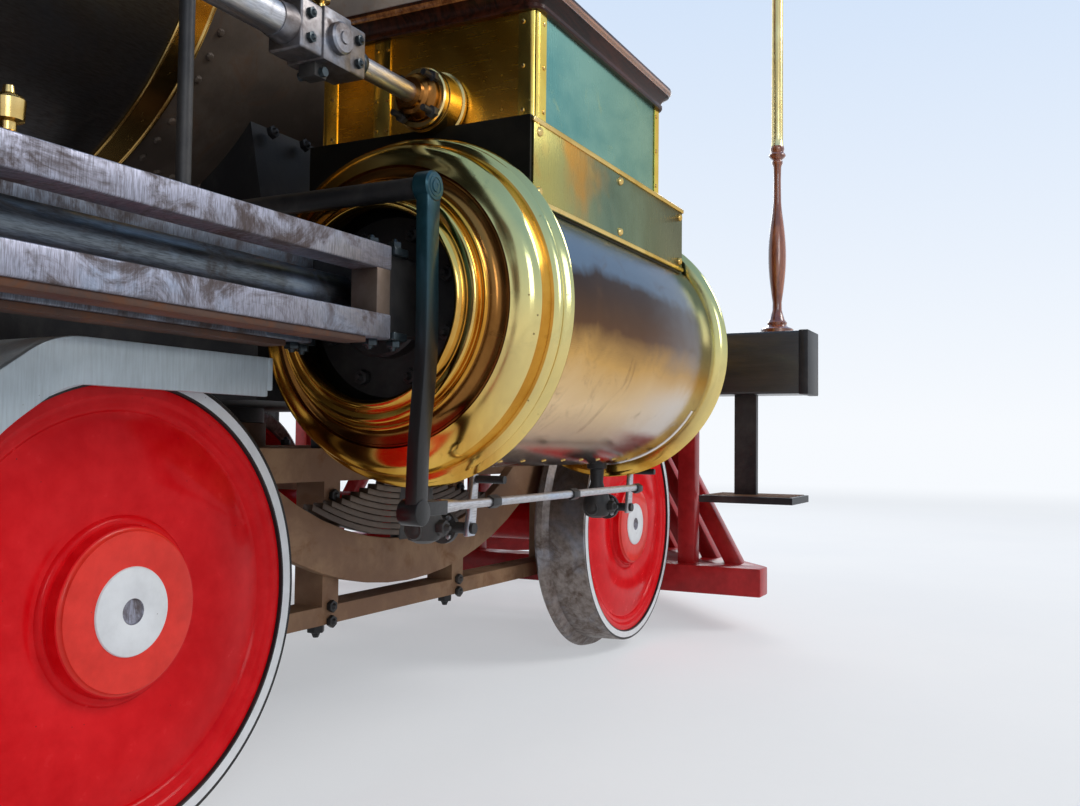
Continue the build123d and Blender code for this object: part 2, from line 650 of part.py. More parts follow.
# Smokebox: rolled shell, open in front behind the door ring, with the exhaust base of the stack
with BuildPart() as smokebox:
    with BuildSketch(Plane(origin=(smokebox_back, 0, boiler_z), z_dir=(1, 0, 0))):
        Circle(smokebox_r)
    extrude(amount=smokebox_front - smokebox_back)
    with BuildSketch(Plane(origin=(smokebox_back + 40, 0, boiler_z), z_dir=(1, 0, 0))):
        Circle(smokebox_r - smokebox_wall)
    extrude(amount=smokebox_front - smokebox_back - 60, mode=Mode.SUBTRACT)
    with BuildSketch(Plane(origin=(smokebox_front - 30, 0, boiler_z), z_dir=(1, 0, 0))):
        Circle(430)
    extrude(amount=40, mode=Mode.SUBTRACT)
    with BuildSketch(Plane(origin=(smokebox_front, 0, boiler_z), z_dir=(1, 0, 0))):
        Circle(smokebox_r)
        Circle(smokebox_r - 40, mode=Mode.SUBTRACT)
    extrude(amount=16)
    with BuildSketch(Plane.XY.offset(boiler_z + 500)):
        with Locations((truck_x, 0)):
            Circle(165)
    extrude(amount=200, mode=Mode.SUBTRACT)
    for z, align in ((-230 - clearance, Align.MAX), (230 + clearance, Align.MIN)):
        with Locations((smokebox_front - 5, 500, boiler_z + z)):
            Box(60, 46, 34, align=(Align.MIN, Align.CENTER, align))
save(smokebox.part, "smokebox")

# Smokebox door: dished disc on two straps, hinged on the engine's left
door_r = 455
door_x = smokebox_front + clearance
with BuildPart() as door:
    with BuildSketch(Plane(origin=(0, 0, boiler_z), x_dir=(1, 0, 0), z_dir=(0, -1, 0))):
        with BuildLine():
            face = Polyline((door_x, 0), (door_x, door_r), (door_x + 16, door_r), (door_x + 26, door_r - 20))
            bulge = ThreePointArc(face @ 1, (door_x + 52, door_r * 0.55), (door_x + 62, 0))
            Line(bulge @ 1, face @ 0)
        make_face()
    revolve(axis=Axis((0, 0, boiler_z), (1, 0, 0)))
    for z in (-170, 170):
        with Locations((door_x + 30, 490, boiler_z + z)):
            Box(24, 620, 46, align=(Align.CENTER, Align.MAX, Align.CENTER))
    with BuildSketch(Plane(origin=(door_x + 30, 500, boiler_z - 230), z_dir=(0, 0, 1))):
        Circle(17)
    extrude(amount=460)
    with BuildSketch(Plane(origin=(door_x + 50, 0, boiler_z), z_dir=(1, 0, 0))):
        Circle(36)
    extrude(amount=46)
save(door.part, "smokebox_door")

# Stack: bell base, straight barrel and a flared cap
stack_base = boiler_z + smokebox_r
with BuildPart() as stack:
    with BuildSketch(Plane(origin=(truck_x, 0, 0), x_dir=(1, 0, 0), z_dir=(0, -1, 0))):
        with BuildLine():
            Polyline((175, stack_base - 70), (330, stack_base - 70), (330, stack_base - 30), (262, stack_base + 60),
                     (228, stack_base + 190), (214, stack_base + 240), (214, stack_base + 1560), (236, stack_base + 1610),
                     (300, stack_base + 1730), (352, stack_base + 1800), (360, stack_base + 1830), (345, stack_base + 1850),
                     (300, stack_base + 1850), (262, stack_base + 1790), (200, stack_base + 1700), (175, stack_base + 1600),
                     close=True)
        make_face()
    revolve(axis=Axis((truck_x, 0, 0), (0, 0, 1)))
    with BuildSketch(Plane(origin=(truck_x - 400, 0, boiler_z), z_dir=(1, 0, 0))):
        Circle(smokebox_r + clearance)
    extrude(amount=800, mode=Mode.SUBTRACT)
save(stack.part, "stack")


# Boiler bands: thin brass hoops over the lagging
band_width = 64
band_xs = [smokebox_back - 4 - band_width / 2, truck_x - 1268, truck_x - 2150, wagon_start + 50]
with BuildPart() as bands:
    for x in band_xs:
        with BuildSketch(Plane(origin=(x - band_width / 2, 0, boiler_z), z_dir=(1, 0, 0))):
            Circle(boiler_r + 5)
            Circle(boiler_r + clearance, mode=Mode.SUBTRACT)
        extrude(amount=band_width)
save(bands.part, "boiler_bands")


# Domes: turned bases and caps round plain barrels
def dome(x, base_z, radius, height, cap, name):
    with BuildPart() as shape:
        with BuildSketch(Plane(origin=(x, 0, 0), x_dir=(1, 0, 0), z_dir=(0, -1, 0))):
            with BuildLine():
                Polyline((0, base_z - 90), (radius + 130, base_z - 90), (radius + 130, base_z - 20), (radius + 92, base_z + 14),
                         (radius + 60, base_z + 50), (radius + 26, base_z + 84), (radius + 22, base_z + 118), (radius, base_z + 130),
                         (radius, base_z + height), (radius + 30, base_z + height + 16), (radius + 42, base_z + height + 50),
                         (radius + 20, base_z + height + 78), (radius * 0.86, base_z + height + 92),
                         (radius * 0.62, base_z + height + cap * 0.72), (radius * 0.3, base_z + height + cap),
                         (0, base_z + height + cap), close=True)
            make_face()
        revolve(axis=Axis((x, 0, 0), (0, 0, 1)))
        with BuildSketch(Plane(origin=(x - 700, 0, base_z - boiler_shell), z_dir=(1, 0, 0))):
            Circle(boiler_shell + clearance)
        extrude(amount=1400, mode=Mode.SUBTRACT)
    save(shape.part, name)


sand_x, steam_x = truck_x - 1720, truck_x - 3850
boiler_shell = boiler_r
dome(sand_x, boiler_z + boiler_r, 255, 330, 190, "sand_dome")
boiler_shell = wagon_r
dome(steam_x, boiler_z + 2 * wagon_r - boiler_r, 290, 400, 210, "steam_dome")

# Safety valves and whistle on the steam dome
fitting_z = boiler_z + 2 * wagon_r - boiler_r + 400 + 210
with BuildPart() as valves:
    for y, radius, height in ((-90, 30, 190), (90, 30, 190)):
        with BuildSketch(Plane(origin=(steam_x, y, fitting_z - 60))):
            Circle(radius)
        extrude(amount=height)
        with BuildSketch(Plane(origin=(steam_x, y, fitting_z + 60))):
            Circle(radius + 12)
        extrude(amount=20)
    with Locations((steam_x, 0, fitting_z + clearance)):
        Box(70, 220, 26, align=(Align.CENTER, Align.CENTER, Align.MIN))
    with BuildSketch(Plane(origin=(steam_x, 0, fitting_z + 20))):
        Circle(16)
    extrude(amount=120)
    with BuildSketch(Plane(origin=(steam_x, 0, fitting_z + 110))):
        Circle(36)
    extrude(amount=170)
    with Locations((steam_x, 0, fitting_z - 50)):
        Box(600, 600, 100, align=(Align.CENTER, Align.CENTER, Align.MAX), mode=Mode.SUBTRACT)
    with BuildSketch(Plane(origin=(steam_x, 0, fitting_z - 60))):
        Circle(150)
    extrude(amount=60 + clearance, mode=Mode.SUBTRACT)
save(valves.part, "safety_valves")

# Bell stand: saddle plate, two arms and the bell hung between them
bell_x = truck_x - 1000
bell_axis_z = boiler_z + boiler_r + 520
bell_y = 245
with BuildPart() as bell_stand:
    with Locations((bell_x, 0, boiler_z + boiler_r - 40)):
        Box(240, 2 * bell_y + 90, 66, align=(Align.CENTER, Align.CENTER, Align.MIN))
    for side in (-1, 1):
        with BuildSketch(side_plane(side * bell_y - 16, bell_x)):
            with BuildLine():
                foot_z = boiler_z + boiler_r + 20
                Polyline((-100, foot_z), (100, foot_z), (50, foot_z + 150), (26, foot_z + 330), (38, bell_axis_z),
                         (0, bell_axis_z + 44), (-38, bell_axis_z), (-26, foot_z + 330), (-50, foot_z + 150), close=True)
            make_face()
        extrude(amount=32)
    with BuildSketch(Plane(origin=(bell_x - 500, 0, boiler_z), z_dir=(1, 0, 0))):
        Circle(boiler_r + clearance)
    extrude(amount=1000, mode=Mode.SUBTRACT)
    with BuildSketch(Plane.XZ.offset(-400)):
        with Locations((bell_x, bell_axis_z)):
            Circle(15 + running)
    extrude(amount=800, mode=Mode.SUBTRACT)
save(bell_stand.part, "bell_stand")

with BuildPart() as bell:
    with BuildSketch(Plane(origin=(bell_x, 0, 0), x_dir=(1, 0, 0), z_dir=(0, -1, 0))):
        with BuildLine():
            mouth = bell_axis_z - 330
            Polyline((0, bell_axis_z - 25), (60, bell_axis_z - 30), (98, bell_axis_z - 70), (112, bell_axis_z - 150),
                     (138, bell_axis_z - 240), (196, mouth + 30), (202, mouth), (180, mouth), (118, mouth + 90),
                     (92, bell_axis_z - 150), (80, bell_axis_z - 84), (0, bell_axis_z - 60), close=True)
        make_face()
    revolve(axis=Axis((bell_x, 0, 0), (0, 0, 1)))
    with Locations((bell_x, 0, bell_axis_z)):
        Box(56, 2 * bell_y - 60, 56)
    with BuildSketch(Plane.XZ.offset(-bell_y - 30)):
        with Locations((bell_x, bell_axis_z)):
            Circle(15)
    extrude(amount=2 * bell_y + 60)
    with BuildSketch(Plane(origin=(bell_x, 0, mouth - 10))):
        Circle(30)
    extrude(amount=60)
    with BuildSketch(Plane(origin=(bell_x, 0, mouth + 40))):
        Circle(9)
    extrude(amount=260)
save(bell.part, "bell")

# Headlight: bracket and shelf on the smokebox, box lamp with a round front and roof vent
lamp_x = smokebox_front + 20
lamp_z = boiler_z + smokebox_r + 150
with BuildPart() as bracket:
    with Locations((lamp_x - 40, 0, lamp_z)):
        Box(620, 500, 22, align=(Align.MIN, Align.CENTER, Align.MAX))
    for y in (-200, 200):
        with BuildSketch(Plane(origin=(0, y + 14, 0), x_dir=(1, 0, 0), z_dir=(0, -1, 0))):
            with BuildLine():
                Polyline((lamp_x - 60, lamp_z - 22), (lamp_x + 540, lamp_z - 22), (lamp_x + 380, lamp_z - 80),
                         (lamp_x + 180, lamp_z - 160), (lamp_x + 60, lamp_z - 240), (lamp_x - 3, lamp_z - 290),
                         (lamp_x - 60, lamp_z - 290), close=True)
            make_face()
        extrude(amount=28)
    with BuildSketch(Plane(origin=(lamp_x - 200, 0, boiler_z), z_dir=(1, 0, 0))):
        Circle(smokebox_r + clearance)
    extrude(amount=200 - 4 + clearance, mode=Mode.SUBTRACT)
    with Locations((lamp_x - 4 + clearance, 0, boiler_z)):
        Box(400, 1200, 1290, align=(Align.MAX, Align.CENTER, Align.CENTER), mode=Mode.SUBTRACT)

with BuildPart() as headlight:
    with Locations((lamp_x + 30, 0, lamp_z + clearance)):
        Box(470, 440, 520, align=(Align.MIN, Align.CENTER, Align.MIN))
    with BuildSketch(Plane(origin=(lamp_x + 499, 0, lamp_z + 265), z_dir=(1, 0, 0))):
        Circle(205)
        Circle(180, mode=Mode.SUBTRACT)
    extrude(amount=36)
    with BuildSketch(Plane(origin=(lamp_x + 480, 0, lamp_z + 265), z_dir=(1, 0, 0))):
        Circle(180)
    extrude(amount=24)
    with BuildSketch(Plane.XY.offset(lamp_z + 520)):
        with Locations((lamp_x + 265, 0)):
            Rectangle(520, 490)
    extrude(amount=24)
    with BuildSketch(Plane.XY.offset(lamp_z + 544)):
        with Locations((lamp_x + 265, 0)):
            Circle(110)
    extrude(amount=110, taper=12)
    with BuildSketch(Plane.XY.offset(lamp_z + 654)):
        with Locations((lamp_x + 265, 0)):
            Circle(118)
    extrude(amount=16)
save(bracket.part + headlight.part, "headlight")

# Running boards with brackets, the guide stays and the wheel splashers
with BuildPart() as boards:
    board_in, board_out = 655, 1010
    with Locations(((smokebox_back + cab_front_x) / 2, -(board_in + board_out) / 2, board_z)):
        Box(smokebox_back - cab_front_x, board_out - board_in, board_thick, align=(Align.CENTER, Align.CENTER, Align.MIN))
    with Locations(((smokebox_back + cab_front_x) / 2, -board_out, board_z + board_thick)):
        Box(smokebox_back - cab_front_x, 20, 60, align=(Align.CENTER, Align.MAX, Align.MAX))
    for x in (truck_x - 700, truck_x - 1500, truck_x - 2200):
        with BuildSketch(Plane(origin=(x, 0, 0), x_dir=(0, 1, 0), z_dir=(1, 0, 0))):
            with BuildLine():
                Polyline((-board_in, board_z), (-board_out, board_z), (-board_in, board_z - 120), close=True)
            make_face()
        extrude(amount=14)
    with BuildSketch(Plane(origin=(truck_x - 1010, -cylinder_y - guide_offset, cylinder_z + guide_half_gap + guide_depth + clearance))):
        Circle(9)
    extrude(amount=board_z - cylinder_z - guide_half_gap - guide_depth)
    with BuildSketch(Plane(origin=(smokebox_back + 10, 0, boiler_z), z_dir=(-1, 0, 0))):
        Circle(boiler_r + 6)
    extrude(amount=smokebox_back + 10 - wagon_start, mode=Mode.SUBTRACT)
    with BuildSketch(Plane(origin=(wagon_start + 10, 0, boiler_z), z_dir=(-1, 0, 0))):
        Circle(boiler_r + 6)
    with BuildSketch(Plane(origin=(wagon_end, 0, boiler_z + wagon_r - boiler_r), z_dir=(-1, 0, 0))):
        Circle(wagon_r + 6)
    loft(mode=Mode.SUBTRACT)
    with BuildSketch(Plane(origin=(wagon_end + 1, 0, boiler_z + wagon_r - boiler_r), z_dir=(-1, 0, 0))):
        Circle(wagon_r + 6)
    extrude(amount=wagon_end - cab_front_x + 20, mode=Mode.SUBTRACT)
    mirror(about=Plane.XZ)

with BuildPart() as splashers:
    splash_r = board_z - clearance - driver_z
    for axle in (main_axle_x, rear_axle_x):
        with BuildSketch(side_plane(700, axle, driver_z)):
            Circle(splash_r)
            Circle(splash_r - 6, mode=Mode.SUBTRACT)
            with Locations((0, 400)):
                Rectangle(2 * splash_r + 10, 1700, align=(Align.CENTER, Align.MAX), mode=Mode.SUBTRACT)
        extrude(amount=140)
    mirror(about=Plane.XZ)

save(boards.part + splashers.part, "running_boards")

# Handrails: a rod along each side on turned posts
with BuildPart() as rails:
    rail_y, rail_z = 620, boiler_z + 520
    with BuildSketch(Plane(origin=(smokebox_front - 100, -rail_y, rail_z), z_dir=(-1, 0, 0))):
        Circle(14)
    extrude(amount=smokebox_front - 100 - cab_front_x - 10)
    for x in (truck_x + 300, truck_x - 800, truck_x - 1900):
        with BuildSketch(Plane(origin=(x, -rail_y, rail_z), z_dir=(0, rail_y, boiler_z - rail_z))):
            Circle(10)
        extrude(amount=math.hypot(rail_y, rail_z - boiler_z) - boiler_r + 31)
        with BuildSketch(Plane(origin=(x - 22, -rail_y, rail_z), z_dir=(1, 0, 0))):
            Circle(23)
        extrude(amount=44)
    with BuildSketch(Plane(origin=(smokebox_front, 0, boiler_z), z_dir=(-1, 0, 0))):
        Circle(boiler_r + 0.5)
    extrude(amount=3000, mode=Mode.SUBTRACT)
    mirror(about=Plane.XZ)
save(rails.part, "handrails")


# Cab: side walls, front wall, roof, floors; the back is open to the tender
def arched(width, height, spring):
    """An opening with an arched head, drawn about the middle of its sill."""
    with BuildSketch() as opening:
        with BuildLine():
            left = Line((-width / 2, 0), (-width / 2, height - spring))
            head = ThreePointArc(left @ 1, (0, height), (width / 2, height - spring))
            Polyline(head @ 1, (width / 2, 0), (-width / 2, 0))
        make_face()
    return opening.sketch


cab_floor_z = board_z
sill_z = cab_floor_z + 640
window_xs = (cab_back_x + 420, cab_back_x + 1180)
side_window = arched(600, 640, 110)
with BuildPart() as cab_sides:
    with BuildSketch(side_plane(cab_y - cab_wall)):
        with Locations(((cab_front_x + cab_back_x) / 2, cab_floor_z)):
            Rectangle(cab_front_x - cab_back_x, eaves_z - cab_floor_z, align=(Align.CENTER, Align.MIN))
    extrude(amount=cab_wall)
    for x in window_xs:
        with BuildSketch(side_plane(cab_y - cab_wall - 5, x, sill_z)):
            add(side_window)
        extrude(amount=cab_wall + 10, mode=Mode.SUBTRACT)
    mirror(about=Plane.XZ)

roof_rise = 300
roof_radius = (cab_y**2 + roof_rise**2) / (2 * roof_rise)


def roof_under(y):
    """Height of the roof's underside at a distance from the engine's middle."""
    return eaves_z + clearance + roof_rise - roof_radius + math.sqrt(roof_radius**2 - y**2)


door_y_in, door_y_out = 800, 1240
leaf_thick, leaf_lap = 20, 12     # a door lies on the wall's face and laps the doorway
hinge_x, hinge_y = cab_front_x + 0.7 + leaf_thick / 2, door_y_out + leaf_lap + 24
doorway = arched(door_y_out - door_y_in, 1180, 60)
front_light = arched(480, 300, 50)
door_leaf = arched(door_y_out - door_y_in + 2 * leaf_lap, 1180 + 2 * leaf_lap, 60)
door_light = arched(300, 640, 40)
with BuildPart() as cab_front:
    with BuildSketch(Plane(origin=(cab_front_x - clearance, 0, 0), x_dir=(0, 1, 0), z_dir=(1, 0, 0))):
        inner = cab_y - cab_wall - clearance
        with BuildLine():
            wall_top = roof_under(inner) - clearance
            low = Polyline((-inner, wall_top), (-inner, cab_floor_z + board_thick), (inner, cab_floor_z + board_thick),
                           (inner, wall_top))
            ThreePointArc(low @ 1, (0, roof_under(0) - clearance), low @ 0)
        make_face()
    extrude(amount=-cab_wall)
    with BuildSketch(Plane(origin=(cab_front_x + 10, 0, boiler_z + wagon_r - boiler_r), z_dir=(-1, 0, 0))):
        Circle(wagon_r + 2)
    extrude(amount=100, mode=Mode.SUBTRACT)
    with Locations((cab_front_x, 0, cab_floor_z)):
        Box(200, 2 * (wagon_r - 90), 400, align=(Align.CENTER, Align.CENTER, Align.MIN), mode=Mode.SUBTRACT)
    for side in (-1, 1):
        with BuildSketch(Plane(origin=(cab_front_x + 10, side * (door_y_in + door_y_out) / 2, cab_floor_z + 120),
                               x_dir=(0, 1, 0), z_dir=(1, 0, 0))):
            add(doorway)
        extrude(amount=-100, mode=Mode.SUBTRACT)
        with BuildSketch(Plane(origin=(cab_front_x + 10, side * 380, boiler_z + 2 * wagon_r - boiler_r + 60),
                               x_dir=(0, 1, 0), z_dir=(1, 0, 0))):
            add(front_light)
        extrude(amount=-100, mode=Mode.SUBTRACT)
        for z, align in ((300 - clearance, Align.MAX), (1100 + clearance, Align.MIN)):
            with Locations((cab_front_x - clearance - 2, side * hinge_y, cab_floor_z + z)):
                Box(leaf_thick + 8, 36, 22, align=(Align.MIN, Align.CENTER, align))
save(cab_sides.part + cab_front.part, "cab_walls")



def cab_door(side, name):
    with BuildPart() as leaf:
        with BuildSketch(Plane(origin=(cab_front_x + 0.7, side * (door_y_in + door_y_out) / 2, cab_floor_z + 120 - leaf_lap),
                               x_dir=(0, 1, 0), z_dir=(1, 0, 0))):
            add(door_leaf)
        extrude(amount=leaf_thick)
        with BuildSketch(Plane(origin=(cab_front_x + 40, side * (door_y_in + door_y_out) / 2, cab_floor_z + 560),
                               x_dir=(0, 1, 0), z_dir=(1, 0, 0))):
            add(door_light)
        extrude(amount=-100, mode=Mode.SUBTRACT)
        with BuildSketch(Plane(origin=(hinge_x, side * hinge_y, cab_floor_z + 300))):
            Circle(leaf_thick / 2 - 3)
        extrude(amount=800)
        for z in (340, 680, 1020):
            with Locations((hinge_x, side * hinge_y, cab_floor_z + z)):
                Cylinder(leaf_thick / 2, 44)
            with Locations((hinge_x + leaf_thick / 2, side * (hinge_y - 60), cab_floor_z + z)):
                Box(8, 120, 34)
    save(leaf.part, name)


cab_door(-1, "cab_door_right")
cab_door(1, "cab_door_left")

with BuildPart() as cab_roof:
    front_hang, back_hang, side_hang = 160, 220, 110
    half = cab_y + side_hang
    with BuildSketch(Plane(origin=(cab_front_x + front_hang, 0, 0), x_dir=(0, 1, 0), z_dir=(1, 0, 0))):
        with BuildLine():
            under = ThreePointArc((-half, roof_under(half)), (0, roof_under(0)), (half, roof_under(half)))
            over = ThreePointArc((-half, roof_under(half) + 44), (0, roof_under(0) + 42), (half, roof_under(half) + 44))
            Line(under @ 0, over @ 0)
            Line(under @ 1, over @ 1)
        make_face()
    extrude(amount=-(cab_front_x + front_hang - cab_back_x + back_hang))
save(cab_roof.part, "cab_roof")

footwell_z = rail + 1145
well_half = 662
with BuildPart() as cab_floor:
    for side in (-1, 1):
        with Locations(((cab_front_x + cab_back_x) / 2 - 1, side * (cab_y - cab_wall - clearance), cab_floor_z)):
            Box(cab_front_x - cab_back_x - 2, cab_y - cab_wall - well_half, board_thick,
                align=(Align.CENTER, Align.MAX if side > 0 else Align.MIN, Align.MIN))
        with Locations((backhead_x - 10, side * (well_half - 10), footwell_z)):
            Box(backhead_x - 10 - cab_back_x, 24, cab_floor_z + board_thick - footwell_z, align=(Align.MAX, Align.CENTER, Align.MIN))
    with Locations((backhead_x - 10, 0, footwell_z)):
        Box(backhead_x - 10 - cab_back_x, 2 * well_half, 40, align=(Align.MAX, Align.CENTER, Align.MIN))
    for x in (cab_back_x + 80, cab_back_x + 420):
        with Locations((x, 0, frame_top + clearance)):
            Box(60, 2 * frame_y_out, footwell_z - frame_top, align=(Align.CENTER, Align.CENTER, Align.MIN))
    with BuildSketch(Plane(origin=(cab_front_x + 10, 0, boiler_z + wagon_r - boiler_r), z_dir=(-1, 0, 0))):
        Circle(wagon_r + clearance)
    extrude(amount=cab_front_x + 10 - backhead_x + 2, mode=Mode.SUBTRACT)
save(cab_floor.part, "cab_floor")

# Window panes in the side walls and the two front lights
pane = 6
side_pane = arched(600 - 2 * clearance, 640 - clearance, 110)
front_pane = arched(480 - 2 * clearance, 300 - clearance, 50)
with BuildPart() as glass:
    for side in (-1, 1):
        for x in window_xs:
            with BuildSketch(side_plane(-side * (cab_y - cab_wall / 2 - pane / 2), x, sill_z + clearance / 2)):
                add(side_pane)
            extrude(amount=-side * pane)
        with BuildSketch(Plane(origin=(cab_front_x - cab_wall / 2, side * 380, boiler_z + 2 * wagon_r - boiler_r + 60),
                               x_dir=(0, 1, 0), z_dir=(1, 0, 0))):
            add(front_pane)
        extrude(amount=-pane)
save(glass.part, "cab_glass")

fire_z, fire_r = rail + 1430, 200

# Backhead fittings: gauges, throttle, reversing lever and the seats
with BuildPart() as fittings:
    throttle_z = boiler_z + 480
    with BuildSketch(Plane(origin=(backhead_x - clearance, 0, throttle_z), z_dir=(-1, 0, 0))):
        Circle(60)
    extrude(amount=40)
    with BuildSketch(Plane(origin=(backhead_x - 30, 0, throttle_z), z_dir=(-1, 0, 0))):
        Circle(22)
    extrude(amount=150)
    with Locations((backhead_x - 150, -170, throttle_z)):
        Box(16, 480, 40)
    with BuildSketch(Plane(origin=(backhead_x - clearance, 250, boiler_z + 400), z_dir=(-1, 0, 0))):
        Circle(90)
    extrude(amount=60)
    for x, z in ((-330, 60), (-380, 180), (-420, 300)):
        with BuildSketch(Plane(origin=(backhead_x - clearance, x, boiler_z + z), z_dir=(-1, 0, 0))):
            Circle(18)
        extrude(amount=90)
    with Locations((backhead_x - 560, -580, footwell_z + 40 + clearance)):
        Box(360, 60, 90, align=(Align.CENTER, Align.CENTER, Align.MIN))
    with BuildSketch(side_plane(568)):
        with BuildLine():
            Polyline((backhead_x - 585, footwell_z + 100), (backhead_x - 535, footwell_z + 100),
                     (backhead_x - 445, footwell_z + 860), (backhead_x - 470, footwell_z + 860), close=True)
        make_face()
    extrude(amount=24)
    for side in (-1, 1):
        with Locations((cab_back_x + 520, side * 1030, cab_floor_z + board_thick + clearance)):
            Box(720, 360, 420, align=(Align.CENTER, Align.CENTER, Align.MIN))
    for z, align in ((-130 - clearance, Align.MAX), (130 + clearance, Align.MIN)):
        with Locations((backhead_x - clearance, 245, fire_z + z)):
            Box(48, 44, 24, align=(Align.MAX, Align.CENTER, align))
save(fittings.part, "backhead_fittings")

# Firebox door: a round plate hinged on the engine's left
with BuildPart() as fire_door:
    with BuildSketch(Plane(origin=(backhead_x - 6, 0, fire_z), z_dir=(-1, 0, 0))):
        Circle(fire_r)
    extrude(amount=26)
    for z in (-80, 80):
        with Locations((backhead_x - 36, 245, fire_z + z)):
            Box(14, 400, 40, align=(Align.CENTER, Align.MAX, Align.CENTER))
    with BuildSketch(Plane(origin=(backhead_x - 30, 245, fire_z - 130))):
        Circle(14)
    extrude(amount=260)
save(fire_door.part, "firebox_door")

# Drag beam behind the cab, with the drawbar pocket and its pin hole, and the cab steps
drag_thick, drag_half = 160, 1180
drag_low, drag_high = rail + 760, rail + 1000
drag_x = cab_back_x - clearance
pin_hole_r = 34
with BuildPart() as drag_beam:
    with Locations((drag_x, 0, drag_low)):
        Box(drag_thick, 2 * drag_half, drag_high - drag_low, align=(Align.MAX, Align.CENTER, Align.MIN))
    with Locations((drag_x + 10, 0, (drag_low + drag_high) / 2)):
        Box(drag_thick + 20, 230, 90, align=(Align.MAX, Align.CENTER, Align.CENTER), mode=Mode.SUBTRACT)
    with BuildSketch(Plane.XY.offset(drag_low - 10)):
        with Locations((drag_x - drag_thick / 2, 0)):
            Circle(pin_hole_r)
    extrude(amount=drag_high - drag_low + 20, mode=Mode.SUBTRACT)
save(drag_beam.part, "drag_beam")

with BuildPart() as steps:
    step_y = 1010
    for x in (drag_x - 35, drag_x - 125):
        with Locations((x, -step_y, drag_low - clearance)):
            Box(16, 60, 480, align=(Align.CENTER, Align.CENTER, Align.MAX))
    for drop in (470, 240):
        with Locations((drag_x - 80, -step_y, drag_low - drop)):
            Box(190, 340, 22, align=(Align.CENTER, Align.CENTER, Align.MAX))
    mirror(about=Plane.XZ)
save(steps.part, "cab_steps")

# Bumper beam, front deck, pilot, staffs and braces
beam_front = beam_back + beam_thick
nose_x = -(cab_back_x - 220)
with BuildPart() as beam:
    with Locations((beam_back + clearance, 0, rail + 726)):
        Box(beam_thick, 2 * beam_half, beam_top - rail - 726, align=(Align.MIN, Align.CENTER, Align.MIN))
save(beam.part, "bumper_beam")

with BuildPart() as deck:
    with Locations((smokebox_front + 60, 0, rail + 930 + clearance)):
        Box(beam_front - smokebox_front - 60, 1500, 32, align=(Align.MIN, Align.CENTER, Align.MIN))
save(deck.part, "front_deck")

with BuildPart() as pilot:
    shoe_z, shoe_half, shoe_back = rail + 80, 1080, beam_front - 60
    spread = math.hypot(nose_x - shoe_back, shoe_half)
    with BuildSketch(Plane.XY.offset(shoe_z)):
        with BuildLine():
            Polyline((nose_x, 0), (shoe_back, -shoe_half), (shoe_back, -shoe_half + 130), (nose_x - 190, 0),
                     (shoe_back, shoe_half - 130), (shoe_back, shoe_half), close=True)
        make_face()
    extrude(amount=90)
    with Locations((shoe_back, 0, shoe_z)):
        Box(90, 2 * shoe_half, 90, align=(Align.MAX, Align.CENTER, Align.MIN))
    with Locations((beam_front + 2 * clearance, 0, rail + 690)):
        Box(200, 1240, 190, align=(Align.MIN, Align.CENTER, Align.MIN))
    for y in (-820, 0, 820):
        with Locations((shoe_back, y, shoe_z + 40)):
            Box(50, 60, rail + 726 - clearance - shoe_z - 40, align=(Align.MAX, Align.CENTER, Align.MIN))
    for i in range(-8, 9):
        foot_y = i * 122
        foot_x = nose_x - 75 - abs(foot_y) * (nose_x - shoe_back) / shoe_half
        foot = Vector(foot_x, foot_y, shoe_z + 60)
        head = Vector(beam_front + 150, i * 68, rail + 820)
        lean = head - foot
        with BuildSketch(Plane(origin=foot, x_dir=lean.cross(Vector(0, 1, 0)), z_dir=lean)):
            Rectangle(70, 52)
        extrude(amount=lean.length)
    with Locations((0, 0, beam_top + 300)):
        Box(20000, 4000, 300, align=(Align.CENTER, Align.CENTER, Align.MAX), mode=Mode.SUBTRACT)
save(pilot.part, "pilot")

with BuildPart() as coupling:
    with Locations((beam_front + 75, 0, rail + 940 + clearance)):
        Box(120, 220, 120, align=(Align.MIN, Align.CENTER, Align.CENTER))
    with Locations((beam_front + 70, 0, rail + 940 + clearance)):
        Box(140, 130, 64, align=(Align.MIN, Align.CENTER, Align.CENTER), mode=Mode.SUBTRACT)
    with BuildSketch(Plane(origin=(beam_front + 140, 0, rail + 850))):
        Circle(pin_hole_r)
    extrude(amount=220, mode=Mode.SUBTRACT)

with BuildPart() as staffs:
    staff_x, staff_y = beam_back + beam_thick / 2, 1114
    with BuildSketch(Plane(origin=(staff_x, -staff_y, 0), x_dir=(1, 0, 0), z_dir=(0, -1, 0))):
        with BuildLine():
            Polyline((0, beam_top + clearance), (52, beam_top + clearance), (52, beam_top + 16), (30, beam_top + 24),
                     (22, beam_top + 70), (15, beam_top + 100), (28, beam_top + 220), (26, beam_top + 330), (16, beam_top + 460),
                     (13, beam_top + 560), (28, beam_top + 590), (28, beam_top + 610), (19, beam_top + 630),
                     (19, beam_top + 1400), (26, beam_top + 1410), (30, beam_top + 1440), (18, beam_top + 1470),
                     (0, beam_top + 1480), close=True)
        make_face()
    revolve(axis=Axis((staff_x, -staff_y, 0), (0, 0, 1)))
    mirror(about=Plane.XZ)
save(staffs.part, "flagstaffs")

with BuildPart() as front_steps:
    with Locations((staff_x, -1013, rail + 726 - clearance)):
        Box(24, 72, 330, align=(Align.CENTER, Align.CENTER, Align.MAX))
    with Locations((staff_x, -1040, rail + 400)):
        Box(230, 300, 22, align=(Align.CENTER, Align.CENTER, Align.MAX))
    mirror(about=Plane.XZ)

